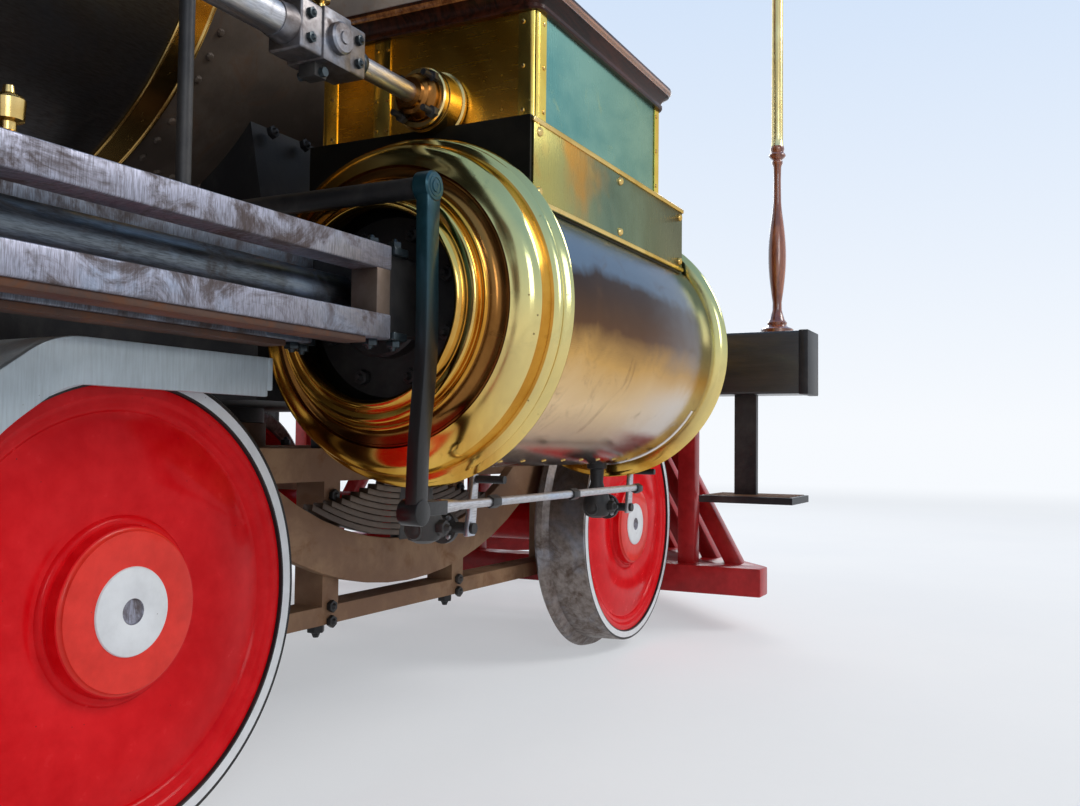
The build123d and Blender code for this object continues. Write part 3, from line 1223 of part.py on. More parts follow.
with BuildPart() as braces:
    foot = Vector(beam_back - 60, -600, rail + 930 + 32 + 2 * clearance)
    head = Vector(smokebox_front - 14, -600, boiler_z + 200)
    lean = head - foot
    with BuildSketch(Plane(origin=foot, z_dir=lean)):
        Circle(20)
    extrude(amount=lean.length + 40)
    with BuildSketch(Plane(origin=foot)):
        Circle(52)
    extrude(amount=24)
    with Locations((smokebox_front + 16 + clearance, -600, boiler_z + 200)):
        Box(24, 60, 90, align=(Align.MIN, Align.CENTER, Align.CENTER))
    with Locations((smokebox_front + 16 + clearance, 0, boiler_z)):
        Box(600, 3000, 1200, align=(Align.MAX, Align.CENTER, Align.CENTER), mode=Mode.SUBTRACT)
    with Locations((0, 0, foot.Z)):
        Box(20000, 3000, 200, align=(Align.CENTER, Align.CENTER, Align.MAX), mode=Mode.SUBTRACT)
    mirror(about=Plane.XZ)
save(front_steps.part + coupling.part + braces.part, "front_ironwork")

# Leading truck: bar frame with pedestals and axle boxes, bolster and centre plate
truck_in, truck_out = 560, 630
bar_low, bar_high = rail + 480, rail + 545
box_half = 94
bar_hang = 391                # the top bar beyond each axle
truck_axles = (-truck_wheelbase / 2, truck_wheelbase / 2)
with BuildPart() as truck_frame:
    with BuildSketch(side_plane(truck_in, truck_x)):
        with Locations((0, (bar_low + bar_high) / 2)):
            Rectangle(truck_wheelbase + 2 * bar_hang, bar_high - bar_low)
        for axle in truck_axles:
            for sign in (-1, 1):
                with Locations((axle + sign * (box_half + 30), rail + 345)):
                    Rectangle(60, 300)
            with Locations((axle, rail + 205)):
                Rectangle(2 * box_half + 120, 34)
            with Locations((axle, rail + 330)):
                Rectangle(2 * box_half, 230)
        with Locations((0, rail + 215)):
            Rectangle(truck_wheelbase - 2 * box_half - 60, 36)
        for x in (-240, 240):
            with Locations((x, rail + 350)):
                Rectangle(50, 280)
        for axle in truck_axles:
            with Locations((axle, truck_axle_z)):
                Circle(truck_axle_r + running, mode=Mode.SUBTRACT)
    extrude(amount=truck_out - truck_in)
    mirror(about=Plane.XZ)
    for x in (-truck_wheelbase / 2 - bar_hang + 40, truck_wheelbase / 2 + bar_hang - 40):
        with Locations((truck_x + x, 0, bar_low)):
            Box(80, 2 * truck_in + 10, bar_high - bar_low, align=(Align.CENTER, Align.CENTER, Align.MIN))
    for x in (-240, 240):
        with Locations((truck_x + x, 0, bar_low)):
            Box(90, 2 * truck_in + 10, bar_high - bar_low, align=(Align.CENTER, Align.CENTER, Align.MIN))
    with Locations((truck_x, 0, bar_low + 20)):
        Box(480, 460, bar_high - bar_low - 20, align=(Align.CENTER, Align.CENTER, Align.MIN))
    with BuildSketch(Plane.XY.offset(bar_high)):
        with Locations((truck_x, 0)):
            Circle(175)
    extrude(amount=60 - 2)
    with BuildSketch(Plane.XY.offset(bar_low)):
        with Locations((truck_x, 0)):
            Circle(38 + running)
    extrude(amount=200, mode=Mode.SUBTRACT)
save(truck_frame.part, "truck_frame")

spring_y = truck_out + clearance
bar_bend, bar_reach = 520, truck_wheelbase / 2 - 20     # the equalizer's curved middle and its flat ends
under_r, over_r = 990, 835    # radii of its lower and upper edges
under_z, over_z = rail + 258, rail + 352


def rise(radius, x):
    """How far an arc hung about the truck's middle rises at x."""
    return radius - math.sqrt(radius**2 - x**2)


with BuildPart() as truck_springs:
    with BuildSketch(side_plane(spring_y, truck_x)):
        with BuildLine():
            low = ThreePointArc((-bar_bend, under_z + rise(under_r, bar_bend)), (0, under_z),
                                (bar_bend, under_z + rise(under_r, bar_bend)))
            high = ThreePointArc((-bar_bend, over_z + rise(over_r, bar_bend)), (0, over_z),
                                 (bar_bend, over_z + rise(over_r, bar_bend)))
            for sign, end in ((-1, 0), (1, 1)):
                Polyline(low @ end, (sign * bar_reach, bar_low - 18), (sign * bar_reach, bar_high), high @ end)
        make_face()
        for step in range(9):
            half, base = 330 - 29 * step, over_z + 7 + 13 * step
            bend_r = over_r - 7 - 13 * step
            with BuildLine():
                low = ThreePointArc((-half, base + rise(bend_r, half)), (0, base), (half, base + rise(bend_r, half)))
                high = ThreePointArc((-half, base + 13 + rise(bend_r - 13, half)), (0, base + 13),
                                     (half, base + 13 + rise(bend_r - 13, half)))
                Line(low @ 0, high @ 0)
                Line(low @ 1, high @ 1)
            make_face()
        with Locations((0, (over_z - 6 + bar_low) / 2)):
            Rectangle(84, bar_low - over_z + 6)
    extrude(amount=24)
    mirror(about=Plane.XZ)
save(truck_springs.part, "truck_springs")

# Wheel guards over the truck's rear wheels: a flat lip outside the tyre and a top sheet
guard_out, lip_in, lip_out = 850, 315, 375
guard_tip = rear_truck_axle_x + 224
wheel_x, guard_z = rear_truck_axle_x, rail + 330
lip_bottom, lip_top = rail + 626, rail + 686
bend_x = wheel_x - 100
arc_start = math.degrees(math.atan2(lip_top - guard_z, bend_x - wheel_x))
with BuildSketch() as lip:
    with BuildLine():
        outer = CenterArc((wheel_x, guard_z), lip_out, 105.5, 71)
        inner = CenterArc((wheel_x, guard_z), lip_in, 108.5, 68)
        Line(outer @ 1, inner @ 1)
        Polyline(inner @ 0, (guard_tip, lip_bottom), (guard_tip, lip_top), (bend_x, lip_top), outer @ 0)
    make_face()
with BuildSketch() as sheet:
    with BuildLine():
        outer = CenterArc((wheel_x, guard_z), lip_out, 105.5, 71)
        inner = CenterArc((wheel_x, guard_z), lip_out - 6, 105.5, 71)
        Line(outer @ 1, inner @ 1)
        Polyline(inner @ 0, (bend_x, lip_top - 6), (guard_tip, lip_top - 6), (guard_tip, lip_top), (bend_x, lip_top), outer @ 0)
    make_face()
with BuildPart() as guards:
    with BuildSketch(side_plane(guard_out - 12)):
        add(lip.sketch)
    extrude(amount=12)
    with BuildSketch(side_plane(722)):
        add(sheet.sketch)
    extrude(amount=guard_out - 722 - 1)
    with Locations((guard_tip + 12, -guard_out + 1, lip_bottom + 10)):
        Box(12, guard_out - 722, lip_top - lip_bottom - 10, align=(Align.MAX, Align.MIN, Align.MIN))
    with Locations((guard_tip - 40, -742, lip_top - 6)):
        Box(50, 742 - truck_in - 20, 26, align=(Align.CENTER, Align.MIN, Align.MAX))
    with Locations((guard_tip - 40, -truck_in - 20, bar_high + clearance)):
        Box(50, 22, lip_top - 8 - bar_high, align=(Align.CENTER, Align.MAX, Align.MIN))
    with Locations((rear_truck_axle_x - 361, -748, bar_low - clearance)):
        Box(40, 748 - truck_in, 80, align=(Align.MAX, Align.MIN, Align.MAX))
    mirror(about=Plane.XZ)
save(guards.part, "wheel_guards")
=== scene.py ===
import bpy
import bmesh
from itertools import product
from math import asin, atan2, cos, degrees, hypot, pi, radians, sin, sqrt
from mathutils import Matrix, Vector


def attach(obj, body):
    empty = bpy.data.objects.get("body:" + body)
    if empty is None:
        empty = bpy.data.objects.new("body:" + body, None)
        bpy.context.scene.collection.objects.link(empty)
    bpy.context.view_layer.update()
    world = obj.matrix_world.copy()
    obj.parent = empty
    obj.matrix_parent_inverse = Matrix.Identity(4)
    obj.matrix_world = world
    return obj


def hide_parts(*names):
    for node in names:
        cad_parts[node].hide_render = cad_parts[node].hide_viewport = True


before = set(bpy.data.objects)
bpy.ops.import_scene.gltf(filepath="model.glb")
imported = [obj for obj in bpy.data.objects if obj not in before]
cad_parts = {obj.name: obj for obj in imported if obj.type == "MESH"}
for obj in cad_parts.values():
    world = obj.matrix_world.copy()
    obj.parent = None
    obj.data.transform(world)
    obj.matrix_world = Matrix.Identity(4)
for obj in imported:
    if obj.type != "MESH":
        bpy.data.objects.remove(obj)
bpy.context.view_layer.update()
print("frame loaded")


# shader helpers
class Val:                                               # a shader value that adds its own Math nodes
    def __init__(self, mat, out):
        self.mat, self.out = mat, out

    def op(self, kind, *others):
        return self.mat.add("Math", {"operation": kind}, dict(enumerate((self, *others))))

    def __add__(self, other):
        return self.op("ADD", other)

    def __radd__(self, other):
        return self + other

    def __sub__(self, other):
        return self.op("SUBTRACT", other)

    def __rsub__(self, other):
        return self.mat.add("Math", {"operation": "SUBTRACT"}, {0: other, 1: self})

    def __mul__(self, other):
        return self.op("MULTIPLY", other)

    def __pow__(self, other):
        return self.op("POWER", other)


class Finish:                                            # one material, or the world, built from its nodes
    def __init__(self, name, owner=None):
        self.material = owner or bpy.data.materials.new(name)
        self.material.use_nodes = True
        self.tree = self.material.node_tree
        self.tree.nodes.clear()
        self.coords = None

    def add(self, kind, settings=None, sockets=None, out=0):
        node = self.tree.nodes.new("ShaderNode" + kind)
        for key, value in (settings or {}).items():
            if key == "stops":
                ramp = node.color_ramp
                while len(ramp.elements) < len(value):
                    ramp.elements.new(0.5)
                for element, (place, colour) in zip(ramp.elements, value):
                    element.position = place
                    element.color = (*colour, 1)
            else:
                setattr(node, key, value)
        for key, value in (sockets or {}).items():
            target = node.inputs[key]
            if isinstance(value, Val):
                self.tree.links.new(value.out, target)
            elif isinstance(value, tuple) and len(value) == 3 and target.type == "RGBA":
                target.default_value = (*value, 1)
            else:
                target.default_value = value
        return Val(self, node.outputs[out]) if node.outputs else node

    def place(self, scale=(1, 1, 1)):                    # object coordinates, stretched for grain and streaks
        if self.coords is None:
            self.coords = self.add("TexCoord", out="Object")
        if scale == (1, 1, 1):
            return self.coords
        return self.add("Mapping", None, {"Vector": self.coords, "Scale": scale})

    def noise(self, scale, detail=4, rough=0.55, stretch=(1, 1, 1), bend=0.0):
        return self.add("TexNoise", None, {"Vector": self.place(stretch), "Scale": scale, "Detail": detail,
                                           "Roughness": rough, "Distortion": bend}, "Fac")

    def spots(self, scale, low, high):                   # small round specks
        cells = self.add("TexVoronoi", None, {"Vector": self.place(), "Scale": scale, "Randomness": 1.0},
                         "Distance")
        return self.span(cells, low, high, (1, 0))

    def span(self, value, low, high, to=(0, 1)):         # a value stretched between two limits
        return self.add("MapRange", {"interpolation_type": "SMOOTHSTEP"},
                        {"Value": value, "From Min": low, "From Max": high, "To Min": to[0], "To Max": to[1]})

    def blend(self, amount, first, second):
        return self.add("Mix", {"data_type": "RGBA"}, {0: amount, 6: first, 7: second}, 2)

    def axis(self, name):
        return self.add("SeparateXYZ", None, {0: self.place()}, name)

    def bump(self, height, distance, strength):
        return self.add("Bump", None, {"Height": height, "Distance": distance, "Strength": strength})

    # one where the camera, a mirror or glass looks, else nothing
    def seen(self):
        rays = self.add("LightPath").out.node.outputs
        kinds = ("Camera", "Glossy", "Transmission")
        camera, mirror, glass = (Val(self, rays["Is " + kind + " Ray"]) for kind in kinds)
        return camera.op("MAXIMUM", mirror).op("MAXIMUM", glass)

    def shade(self, colour, rough, metal=0.0, normal=None, coat=0.0, coatRough=0.1, **more):
        sockets = {"Base Color": colour, "Roughness": rough, "Metallic": metal, "Coat Weight": coat,
                   "Coat Roughness": coatRough}
        if normal is not None:
            sockets["Normal"] = normal
        sockets.update({key.replace("_", " "): value for key, value in more.items()})
        surface = self.add("BsdfPrincipled", None, sockets)
        self.add("OutputMaterial", None, {"Surface": surface})
        return self.material


finishes = {}


def brass(name, light=(0.86, 0.62, 0.24), deep=(0.6, 0.33, 0.07), tarnish=(0.3, 0.22, 0.1), smooth=0.13,
          spots=1.0, brush=(1, 1, 1), shades=None):
    f = Finish(name)
    cloud = f.noise(3.2, 6, 0.6, bend=0.8)
    smear = f.noise(16, 5, 0.65, stretch=brush)
    colour = f.blend(f.span(cloud, 0.35, 0.68), light, deep)
    stain = f.span(f.noise(7, 8, 0.72, bend=1.5), 0.57, 0.74)
    colour = f.blend(stain * 0.5, colour, tarnish)
    for amount, tone in (shades(f) if shades else ()):   # painted light and shade on one side of a piece
        colour = f.blend(amount, colour, tone)
    specks = f.spots(46.0, 0.05, 0.11)
    gate = f.span(f.noise(11, 3), 0.52, 0.62)
    colour = f.blend(specks * gate * 0.75 * spots, colour, (0.09, 0.05, 0.02))
    rough = smooth + smear * 0.12 + stain * 0.16 + specks * gate * 0.3
    ripple = f.noise(5.5, 3, 0.5) * 0.7 + smear * 0.15
    finishes[name] = f.shade(colour, rough, 1.0, f.bump(ripple, 0.0012, 0.35),
                             Specular_Tint=(0.92, 0.76, 0.48))


def steel(name, light=(0.6, 0.6, 0.65), dark=(0.3, 0.29, 0.31), grime=(0.1, 0.065, 0.045), rough=0.3,
          streak=(1, 1, 1), dirt=(0.56, 0.72), metal=1.0, blue=(0.35, 0.45, 0.6)):
    f = Finish(name)
    fine = f.noise(60, 5, 0.6, stretch=streak)
    wide = f.noise(6, 5, 0.6, bend=0.6)
    colour = f.blend(f.span(fine, 0.3, 0.75), light, dark)
    colour = f.blend(f.span(wide, 0.5, 0.75) * 0.55, colour, blue)
    mess = f.span(f.noise(9, 8, 0.72, bend=1.2), dirt[0], dirt[1])
    colour = f.blend(mess * 0.85, colour, grime)
    roughness = rough + fine * 0.22 + mess * 0.3
    finishes[name] = f.shade(colour, roughness, metal - mess * 0.5, f.bump(fine * 0.6 + wide, 0.0006, 0.5))


def paint(name, colour, shift=0.12, rough=0.3, coat=0.4, dirt=(0.6, 0.8), grime=(0.07, 0.05, 0.04),
          brushScale=(1, 1, 1), texture=0.0004, dirtPower=0.6, gloss=0.5):
    f = Finish(name)
    wide = f.noise(4.5, 5, 0.6, bend=0.5)
    strokes = f.noise(38, 4, 0.6, stretch=brushScale)
    darker = tuple(c * (1 - 2.2 * shift) for c in colour)
    lighter = tuple(min(1, c * (1 + shift) + 0.01) for c in colour)
    tone = f.blend(f.span(wide * 0.6 + strokes * 0.4, 0.32, 0.68), darker, lighter)
    mess = f.span(f.noise(8, 9, 0.74, bend=1.6), dirt[0], dirt[1])
    tone = f.blend(mess * dirtPower, tone, grime)
    specks = f.spots(70.0, 0.04, 0.08)
    gate = f.span(f.noise(14, 2), 0.55, 0.63)
    tone = f.blend(specks * gate * 0.8, tone, grime)
    finishes[name] = f.shade(tone, rough + mess * 0.35 + strokes * 0.08, 0.0,
                             f.bump(strokes + specks * gate * 0.6, texture, 0.6), coat, 0.08,
                             Specular_IOR_Level=gloss)


def iron(name, colour=(0.03, 0.03, 0.034), high=(0.1, 0.095, 0.09), rust=(0.12, 0.05, 0.025), rough=0.38,
         metal=0.35, rusty=(0.6, 0.78), grain=22.0, power=0.7, gloss=0.5, shades=None):
    f = Finish(name)
    wide = f.noise(5, 6, 0.65, bend=0.25)
    cast = f.noise(grain * 7, 4, 0.6)
    tone = f.blend(f.span(wide, 0.4, 0.72), colour, high)
    red = f.span(f.noise(10, 8, 0.75, bend=1.0), rusty[0], rusty[1])
    tone = f.blend(red * power, tone, rust)
    for amount, other in (shades(f) if shades else ()):
        tone = f.blend(amount, tone, other)
    finishes[name] = f.shade(tone, rough + red * 0.35 + wide * 0.15, metal,
                             f.bump(cast * 0.5 + wide * 0.6, 0.0009, 0.6), Specular_IOR_Level=gloss)


def timber(name, light, dark, grain="x", rough=0.25, coat=0.6, rings=9.0, wear=0.0,
           wearColour=(0.45, 0.4, 0.34), gloss=0.5):
    f = Finish(name)
    long, short = 0.6, 9.0
    stretch = {"x": (long, short, short), "y": (short, long, short), "z": (short, short, long)}[grain]
    veins = f.noise(3.2, 7, 0.65, stretch=stretch, bend=2.0)
    pores = f.noise(rings * 3, 4, 0.6, stretch=tuple(s * 1.5 for s in stretch))
    tone = f.blend(f.span(veins, 0.36, 0.66), dark, light)
    tone = f.blend(f.span(pores, 0.52, 0.7) * 0.5, tone, tuple(c * 0.35 for c in dark))
    mess = f.span(f.noise(5, 6, 0.7), 0.55, 0.78)
    if wear:
        tone = f.blend(mess * wear, tone, wearColour)
    finishes[name] = f.shade(tone, rough + mess * 0.25, 0.0, f.bump(veins * 0.6 + pores, 0.0008, 0.5), coat,
                             0.12, Specular_IOR_Level=gloss)


def glassFinish(name, colour, rough, alpha):
    f = Finish(name)
    film = f.noise(7, 5, 0.6)
    finishes[name] = f.shade(f.blend(film, colour, tuple(c * 0.85 for c in colour)), rough + film * 0.06, 0.0,
                             f.bump(film, 0.0004, 0.3), 0.0, 0.1, Alpha=alpha, IOR=1.5)
    finishes[name].blend_method = "BLEND"


# planished sheet with a painted reflection: blue-grey above, a dark brown band, then golden lower down
def jacketFinish(name):
    f = Finish(name)
    wide, fine = f.noise(5, 6, 0.6, bend=0.8), f.noise(60, 5, 0.6, stretch=(0.6, 12, 12))
    height, ahead = (f.axis("Z") + (wide - 0.5) * 0.07 - 0.54) * 1.85, f.axis("X") + wide * 0.3
    # the bands by height are a painted reflection
    stops = [(0.02, (0.44, 0.33, 0.25)), (0.22, (0.86, 0.62, 0.34)), (0.36, (0.66, 0.38, 0.11)),
             (0.47, (0.12, 0.055, 0.022)), (0.63, (0.045, 0.026, 0.018)), (0.67, (0.16, 0.23, 0.3)),
             (0.84, (0.19, 0.31, 0.41)), (0.98, (0.08, 0.11, 0.14))]
    tint = f.add("ValToRGB", {"stops": stops}, {0: height})
    # painted reflection: paler low down and lighter grey higher up towards the front
    tint = f.blend(f.span(ahead, 2.04, 2.44) * f.span(height, 0.36, 0.24) * 0.8, tint, (0.8, 0.77, 0.74))
    tint = f.blend(f.span(ahead, 2.06, 2.5) * f.span(height, 0.3, 0.44) * 0.55, tint, (0.36, 0.37, 0.38))
    mess = f.span(f.noise(9, 8, 0.72, bend=1.2), 0.54, 0.78)
    tint = f.blend(mess * 0.5, tint, (0.16, 0.09, 0.045))
    rough, bump = fine * 0.12 + mess * 0.18 + 0.09, f.bump(fine * 0.5 + wide, 0.0006, 0.4)
    finishes[name] = f.shade(tint, rough, 1.0, bump, Specular_Tint=(0.66, 0.64, 0.64))


def dialFinish(name):                                    # a pale gauge face with scale marks round its edge
    f = Finish(name)
    y, z = f.axis("Y") - 0.25, f.axis("Z") - 2.058
    ring = (y * y + z * z) ** 0.5
    ticks = f.span((z.op("ARCTAN2", y) * 24).op("SINE"), 0.75, 0.95)
    mark = ticks * f.span(ring, 0.052, 0.054) * f.span(ring, 0.07, 0.072, (1, 0))
    finishes[name] = f.shade(f.blend(mark, (0.74, 0.72, 0.66), (0.03, 0.03, 0.03)), 0.35)


# painted light on the casings: painted shade makes the inner side browner, a painted highlight makes the
# outside pale, a painted sky reflection makes the shoulder greener
def casingPaintedLight(f):
    outer, up = f.axis("Y").op("ABSOLUTE") - 0.943, f.axis("Z") - 0.809
    return ((f.span(outer, -0.14, 0.1, (0.75, 0)), (0.36, 0.155, 0.018)),
            (f.span(outer, 0.12, 0.26, (0, 0.62)), (0.8, 0.72, 0.33)),
            (f.span(outer + up * 1.2, 0.16, 0.36, (0, 0.5)), (0.4, 0.53, 0.28)))


# painted reflection along the plates: golden behind, bluer in front, coppery in the middle
def platePaintedReflection(f):
    x, cloud = f.axis("X"), f.noise(5, 3)
    return ((f.span(x, 1.58, 1.92, (0.85, 0)), (0.5, 0.42, 0.12)),
            (f.span(x, 1.98, 2.26, (0, 0.8)), (0.03, 0.1, 0.13)),
            (f.span(cloud, 0.46, 0.66) * f.span(x, 1.74, 1.98, (0.7, 0)), (0.62, 0.25, 0.04)))


def leverShades(f):                                      # bluish above, darker brown towards the bottom
    return ((f.span(f.axis("Z"), 0.7, 0.92, (0.88, 0)), (0.026, 0.02, 0.018)),)


brass("casingBrass", (0.84, 0.52, 0.11), (0.44, 0.19, 0.018), (0.15, 0.07, 0.018), 0.09, 1.0,
      shades=casingPaintedLight)
brass("chestBrass", (0.95, 0.55, 0.1), (0.58, 0.27, 0.02), (0.14, 0.09, 0.03), 0.2, 0.6, (1, 1, 12))
# teal brass for the chest casings' outer faces: a painted sky reflection
brass("chestSideReflection", (0.23, 0.45, 0.39), (0.11, 0.32, 0.31), (0.36, 0.38, 0.16), 0.2, 0.35, (14, 1, 1))
brass("fittingBrass", (0.82, 0.6, 0.25), (0.58, 0.36, 0.1), (0.2, 0.14, 0.06), 0.16, 0.4)
steel("guideSteel", (0.36, 0.36, 0.43), (0.15, 0.145, 0.165), (0.06, 0.035, 0.025), 0.34,
      (14, 1, 1.2), (0.45, 0.62))
jacketFinish("jacketSteel")
# a dark steel for the piston rods: painted shade between the guide bars
steel("pistonSteelShaded", (0.15, 0.17, 0.19), (0.07, 0.08, 0.09), (0.05, 0.03, 0.02), 0.22,
      (1, 10, 10), (0.5, 0.7))
steel("rodSteel", (0.58, 0.57, 0.58), (0.34, 0.33, 0.34), (0.09, 0.06, 0.04), 0.26, (1, 10, 10), (0.58, 0.74))
steel("tyreSteel", (0.29, 0.25, 0.23), (0.16, 0.13, 0.115), (0.09, 0.05, 0.03), 0.35, (1, 1, 1), (0.48, 0.7))
steel("boilerSheet", (0.07, 0.066, 0.066), (0.042, 0.036, 0.034), (0.055, 0.032, 0.02), 0.24, (1, 6, 6),
      (0.54, 0.8), 0.8, (0.06, 0.068, 0.085))
paint("wheelRed", (0.66, 0.0, 0.004), 0.06, 0.22, 0.09, (0.68, 0.88), (0.08, 0.01, 0.01), (1, 1, 1), 0.0009,
      0.35, gloss=0.07)
# a lighter copy of the wheel red for the raised hubs: a painted highlight
paint("hubRedHighlight", (0.74, 0.03, 0.018), 0.08, 0.26, 0.15, (0.62, 0.82), (0.2, 0.02, 0.02), (1, 1, 1), 0.0009,
      0.4, gloss=0.15)
paint("pilotRed", (0.4, 0.006, 0.008), 0.14, 0.34, 0.15, (0.55, 0.8), (0.06, 0.035, 0.03), (1, 1, 1), 0.0006,
      0.6, gloss=0.25)
paint("lineWhite", (0.7, 0.73, 0.76), 0.06, 0.32, 0.25, (0.58, 0.78), (0.17, 0.17, 0.18),
      (1, 1, 1), 0.0003, 0.5)
paint("guardBlue", (0.47, 0.55, 0.6), 0.1, 0.42, 0.15, (0.56, 0.76), (0.2, 0.23, 0.24),
      (7, 7, 0.5), 0.0006, 0.55)
paint("domeGreen", (0.012, 0.055, 0.04), 0.2, 0.2, 0.8, (0.64, 0.85), (0.03, 0.025, 0.02),
      (1, 1, 1), 0.0003, 0.4)
paint("lampRed", (0.3, 0.012, 0.014), 0.15, 0.25, 0.7, (0.64, 0.85), (0.04, 0.02, 0.02),
      (1, 1, 1), 0.0003, 0.4)
iron("blackIron", (0.02, 0.02, 0.022), (0.062, 0.058, 0.055), gloss=0.3)
iron("springIron", (0.05, 0.03, 0.02), (0.12, 0.085, 0.06), (0.14, 0.06, 0.028), 0.4, 0.4)
iron("chestBlack", (0.006, 0.006, 0.005), (0.015, 0.013, 0.01), (0.05, 0.025, 0.012), 0.3, 0.1, gloss=0.12)
iron("oilyIron", (0.02, 0.026, 0.03), (0.055, 0.075, 0.085), (0.07, 0.035, 0.02), 0.24, 0.6, (0.62, 0.8))
iron("frameIron", (0.18, 0.092, 0.048), (0.31, 0.185, 0.1), (0.18, 0.075, 0.03), 0.55, 0.25,
     (0.5, 0.74), 22, 0.6)
iron("smokeIron", (0.078, 0.058, 0.045), (0.145, 0.112, 0.087), (0.14, 0.068, 0.032), 0.55, 0.3,
     (0.5, 0.76), 14, 0.65)
timber("corniceWood", (0.06, 0.014, 0.006), (0.012, 0.004, 0.002), "x", 0.3, 0.08, 9, 0.2,
       (0.2, 0.09, 0.03), 0.12)
timber("staffWood", (0.42, 0.13, 0.045), (0.16, 0.035, 0.014), "z", 0.16, 0.9)
timber("cabWood", (0.3, 0.115, 0.045), (0.12, 0.038, 0.014), "z", 0.22, 0.7)
timber("deckWood", (0.2, 0.165, 0.13), (0.085, 0.065, 0.05), "y", 0.6, 0.0, 9, 0.3)
timber("beamWood", (0.022, 0.017, 0.016), (0.009, 0.008, 0.008), "y", 0.34, 0.3)
timber("trimWood", (0.4, 0.19, 0.075), (0.19, 0.075, 0.028), "x", 0.2, 0.8)
timber("roofCloth", (0.075, 0.075, 0.072), (0.045, 0.045, 0.044), "y", 0.7, 0.0, 30)
brass("casingShade", (0.3, 0.135, 0.035), (0.13, 0.048, 0.01), (0.04, 0.02, 0.008), 0.16)
brass("glandBronze", (0.3, 0.125, 0.03), (0.12, 0.045, 0.012), (0.04, 0.02, 0.008), 0.22)
brass("casingOrange", (0.7, 0.36, 0.06), (0.42, 0.17, 0.018), (0.12, 0.05, 0.012), 0.16)
brass("cornerBrass", (0.98, 0.78, 0.2), (0.8, 0.52, 0.1), (0.22, 0.16, 0.06), 0.16, 0.4)
# the plates' teal brass is a painted sky reflection
brass("chestPlate", (0.13, 0.22, 0.19), (0.06, 0.125, 0.115), (0.24, 0.2, 0.06), 0.22, 0.6,
      (10, 1, 1), platePaintedReflection)
brass("poleBrass", (0.8, 0.7, 0.36), (0.62, 0.46, 0.18), (0.32, 0.26, 0.12), 0.2, 0.3)
# a darker copy of the guide steel for the inner bars: painted shade
steel("innerSteelShaded", (0.16, 0.18, 0.22), (0.06, 0.055, 0.06), (0.035, 0.018, 0.012), 0.32,
      (14, 1, 1.2), (0.42, 0.62))
steel("blockSteel", (0.24, 0.22, 0.22), (0.13, 0.115, 0.11), (0.08, 0.045, 0.03), 0.3, (1, 1, 1),
      (0.5, 0.72), 0.9)
iron("leverIron", (0.006, 0.034, 0.046), (0.022, 0.08, 0.105), (0.06, 0.035, 0.025), 0.22, 0.5, (0.66, 0.85),
     gloss=0.35, shades=leverShades)
iron("rustStrip", (0.05, 0.022, 0.014), (0.1, 0.045, 0.025), (0.16, 0.06, 0.025), 0.6, 0.1, (0.45, 0.7))
iron("endBlock", (0.11, 0.075, 0.055), (0.2, 0.155, 0.13), (0.12, 0.05, 0.025), 0.4, 0.6, (0.5, 0.75))
# lighter wood for the lids' edge bead: a painted highlight, with some wear
timber("corniceEdgeHighlight", (0.42, 0.16, 0.045), (0.16, 0.05, 0.015), "x", 0.2, 0.7, 9, 0.3, (0.5, 0.25, 0.09))
paint("paleFitting", (0.45, 0.5, 0.5), 0.1, 0.3, 0.4)
brass("bandBrass", (0.74, 0.5, 0.18), (0.46, 0.25, 0.06), (0.2, 0.12, 0.05), 0.18, 0.6)
brass("bellBrass", (0.86, 0.64, 0.28), (0.62, 0.38, 0.12), (0.26, 0.18, 0.08), 0.12, 0.3)
brass("lampGold", (0.72, 0.52, 0.2), (0.52, 0.33, 0.1), (0.22, 0.15, 0.06), 0.3, 0.4)
steel("mirrorSilver", (0.86, 0.86, 0.87), (0.72, 0.72, 0.74), (0.5, 0.46, 0.4), 0.05, (1, 1, 1), (0.62, 0.9),
      1.0, (0.74, 0.78, 0.84))
brass("capBrass", (0.78, 0.44, 0.2), (0.52, 0.24, 0.09), (0.2, 0.12, 0.06), 0.2, 0.5)
brass("domeBrass", (0.84, 0.62, 0.26), (0.6, 0.36, 0.1), (0.24, 0.16, 0.07), 0.14, 0.4)
glassFinish("windowGlass", (0.55, 0.66, 0.66), 0.03, 0.16)
glassFinish("lensGlass", (0.8, 0.84, 0.82), 0.02, 0.32)
dialFinish("dialFace")
print("finishes made:", len(finishes))


# modelling helpers
def soften(points, size, steps=4, closed=False):         # rounds the corners of an outline
    made, count = [], len(points)
    for i, p in enumerate(points):
        p = Vector(p)
        if not closed and i in (0, count - 1):
            made.append(p)
            continue
        before, after = Vector(points[i - 1]), Vector(points[(i + 1) % count])
        r = min(size, (p - before).length * 0.48, (p - after).length * 0.48)
        start, end = p + (before - p).normalized() * r, p + (after - p).normalized() * r
        for k in range(steps + 1):
            t = k / steps
            made.append(start * (1 - t) ** 2 + p * 2 * t * (1 - t) + end * t * t)
    return made


# a swelling between two points, to the left of the way
def bulge(start, end, out, steps=8):
    start, end = Vector(start), Vector(end)
    across = Vector((start.y - end.y, end.x - start.x)).normalized()
    return [start.lerp(end, k / steps) + across * out * sin(pi * k / steps) for k in range(steps + 1)]


def mm(*points):                                         # pairs that are drawn in millimetres
    return [(a / 1000, b / 1000) for a, b in points]


# places on a circle, as pairs; start is a share of one step
def around(count, r, start=0.0):
    turns = [2 * pi * (k + start) / count for k in range(count)]
    return [(r * cos(a), r * sin(a)) for a in turns]


# pairs in millimetres from a starting point in metres
def shifted(x, y, *points):
    return [(x + a, y + b) for a, b in mm(*points)]


def turnTo(direction, origin=(0, 0, 0)):                 # a matrix whose Z runs along a direction
    return Matrix.Translation(Vector(origin)) @ Vector(direction).to_track_quat("Z", "Y").to_matrix().to_4x4()


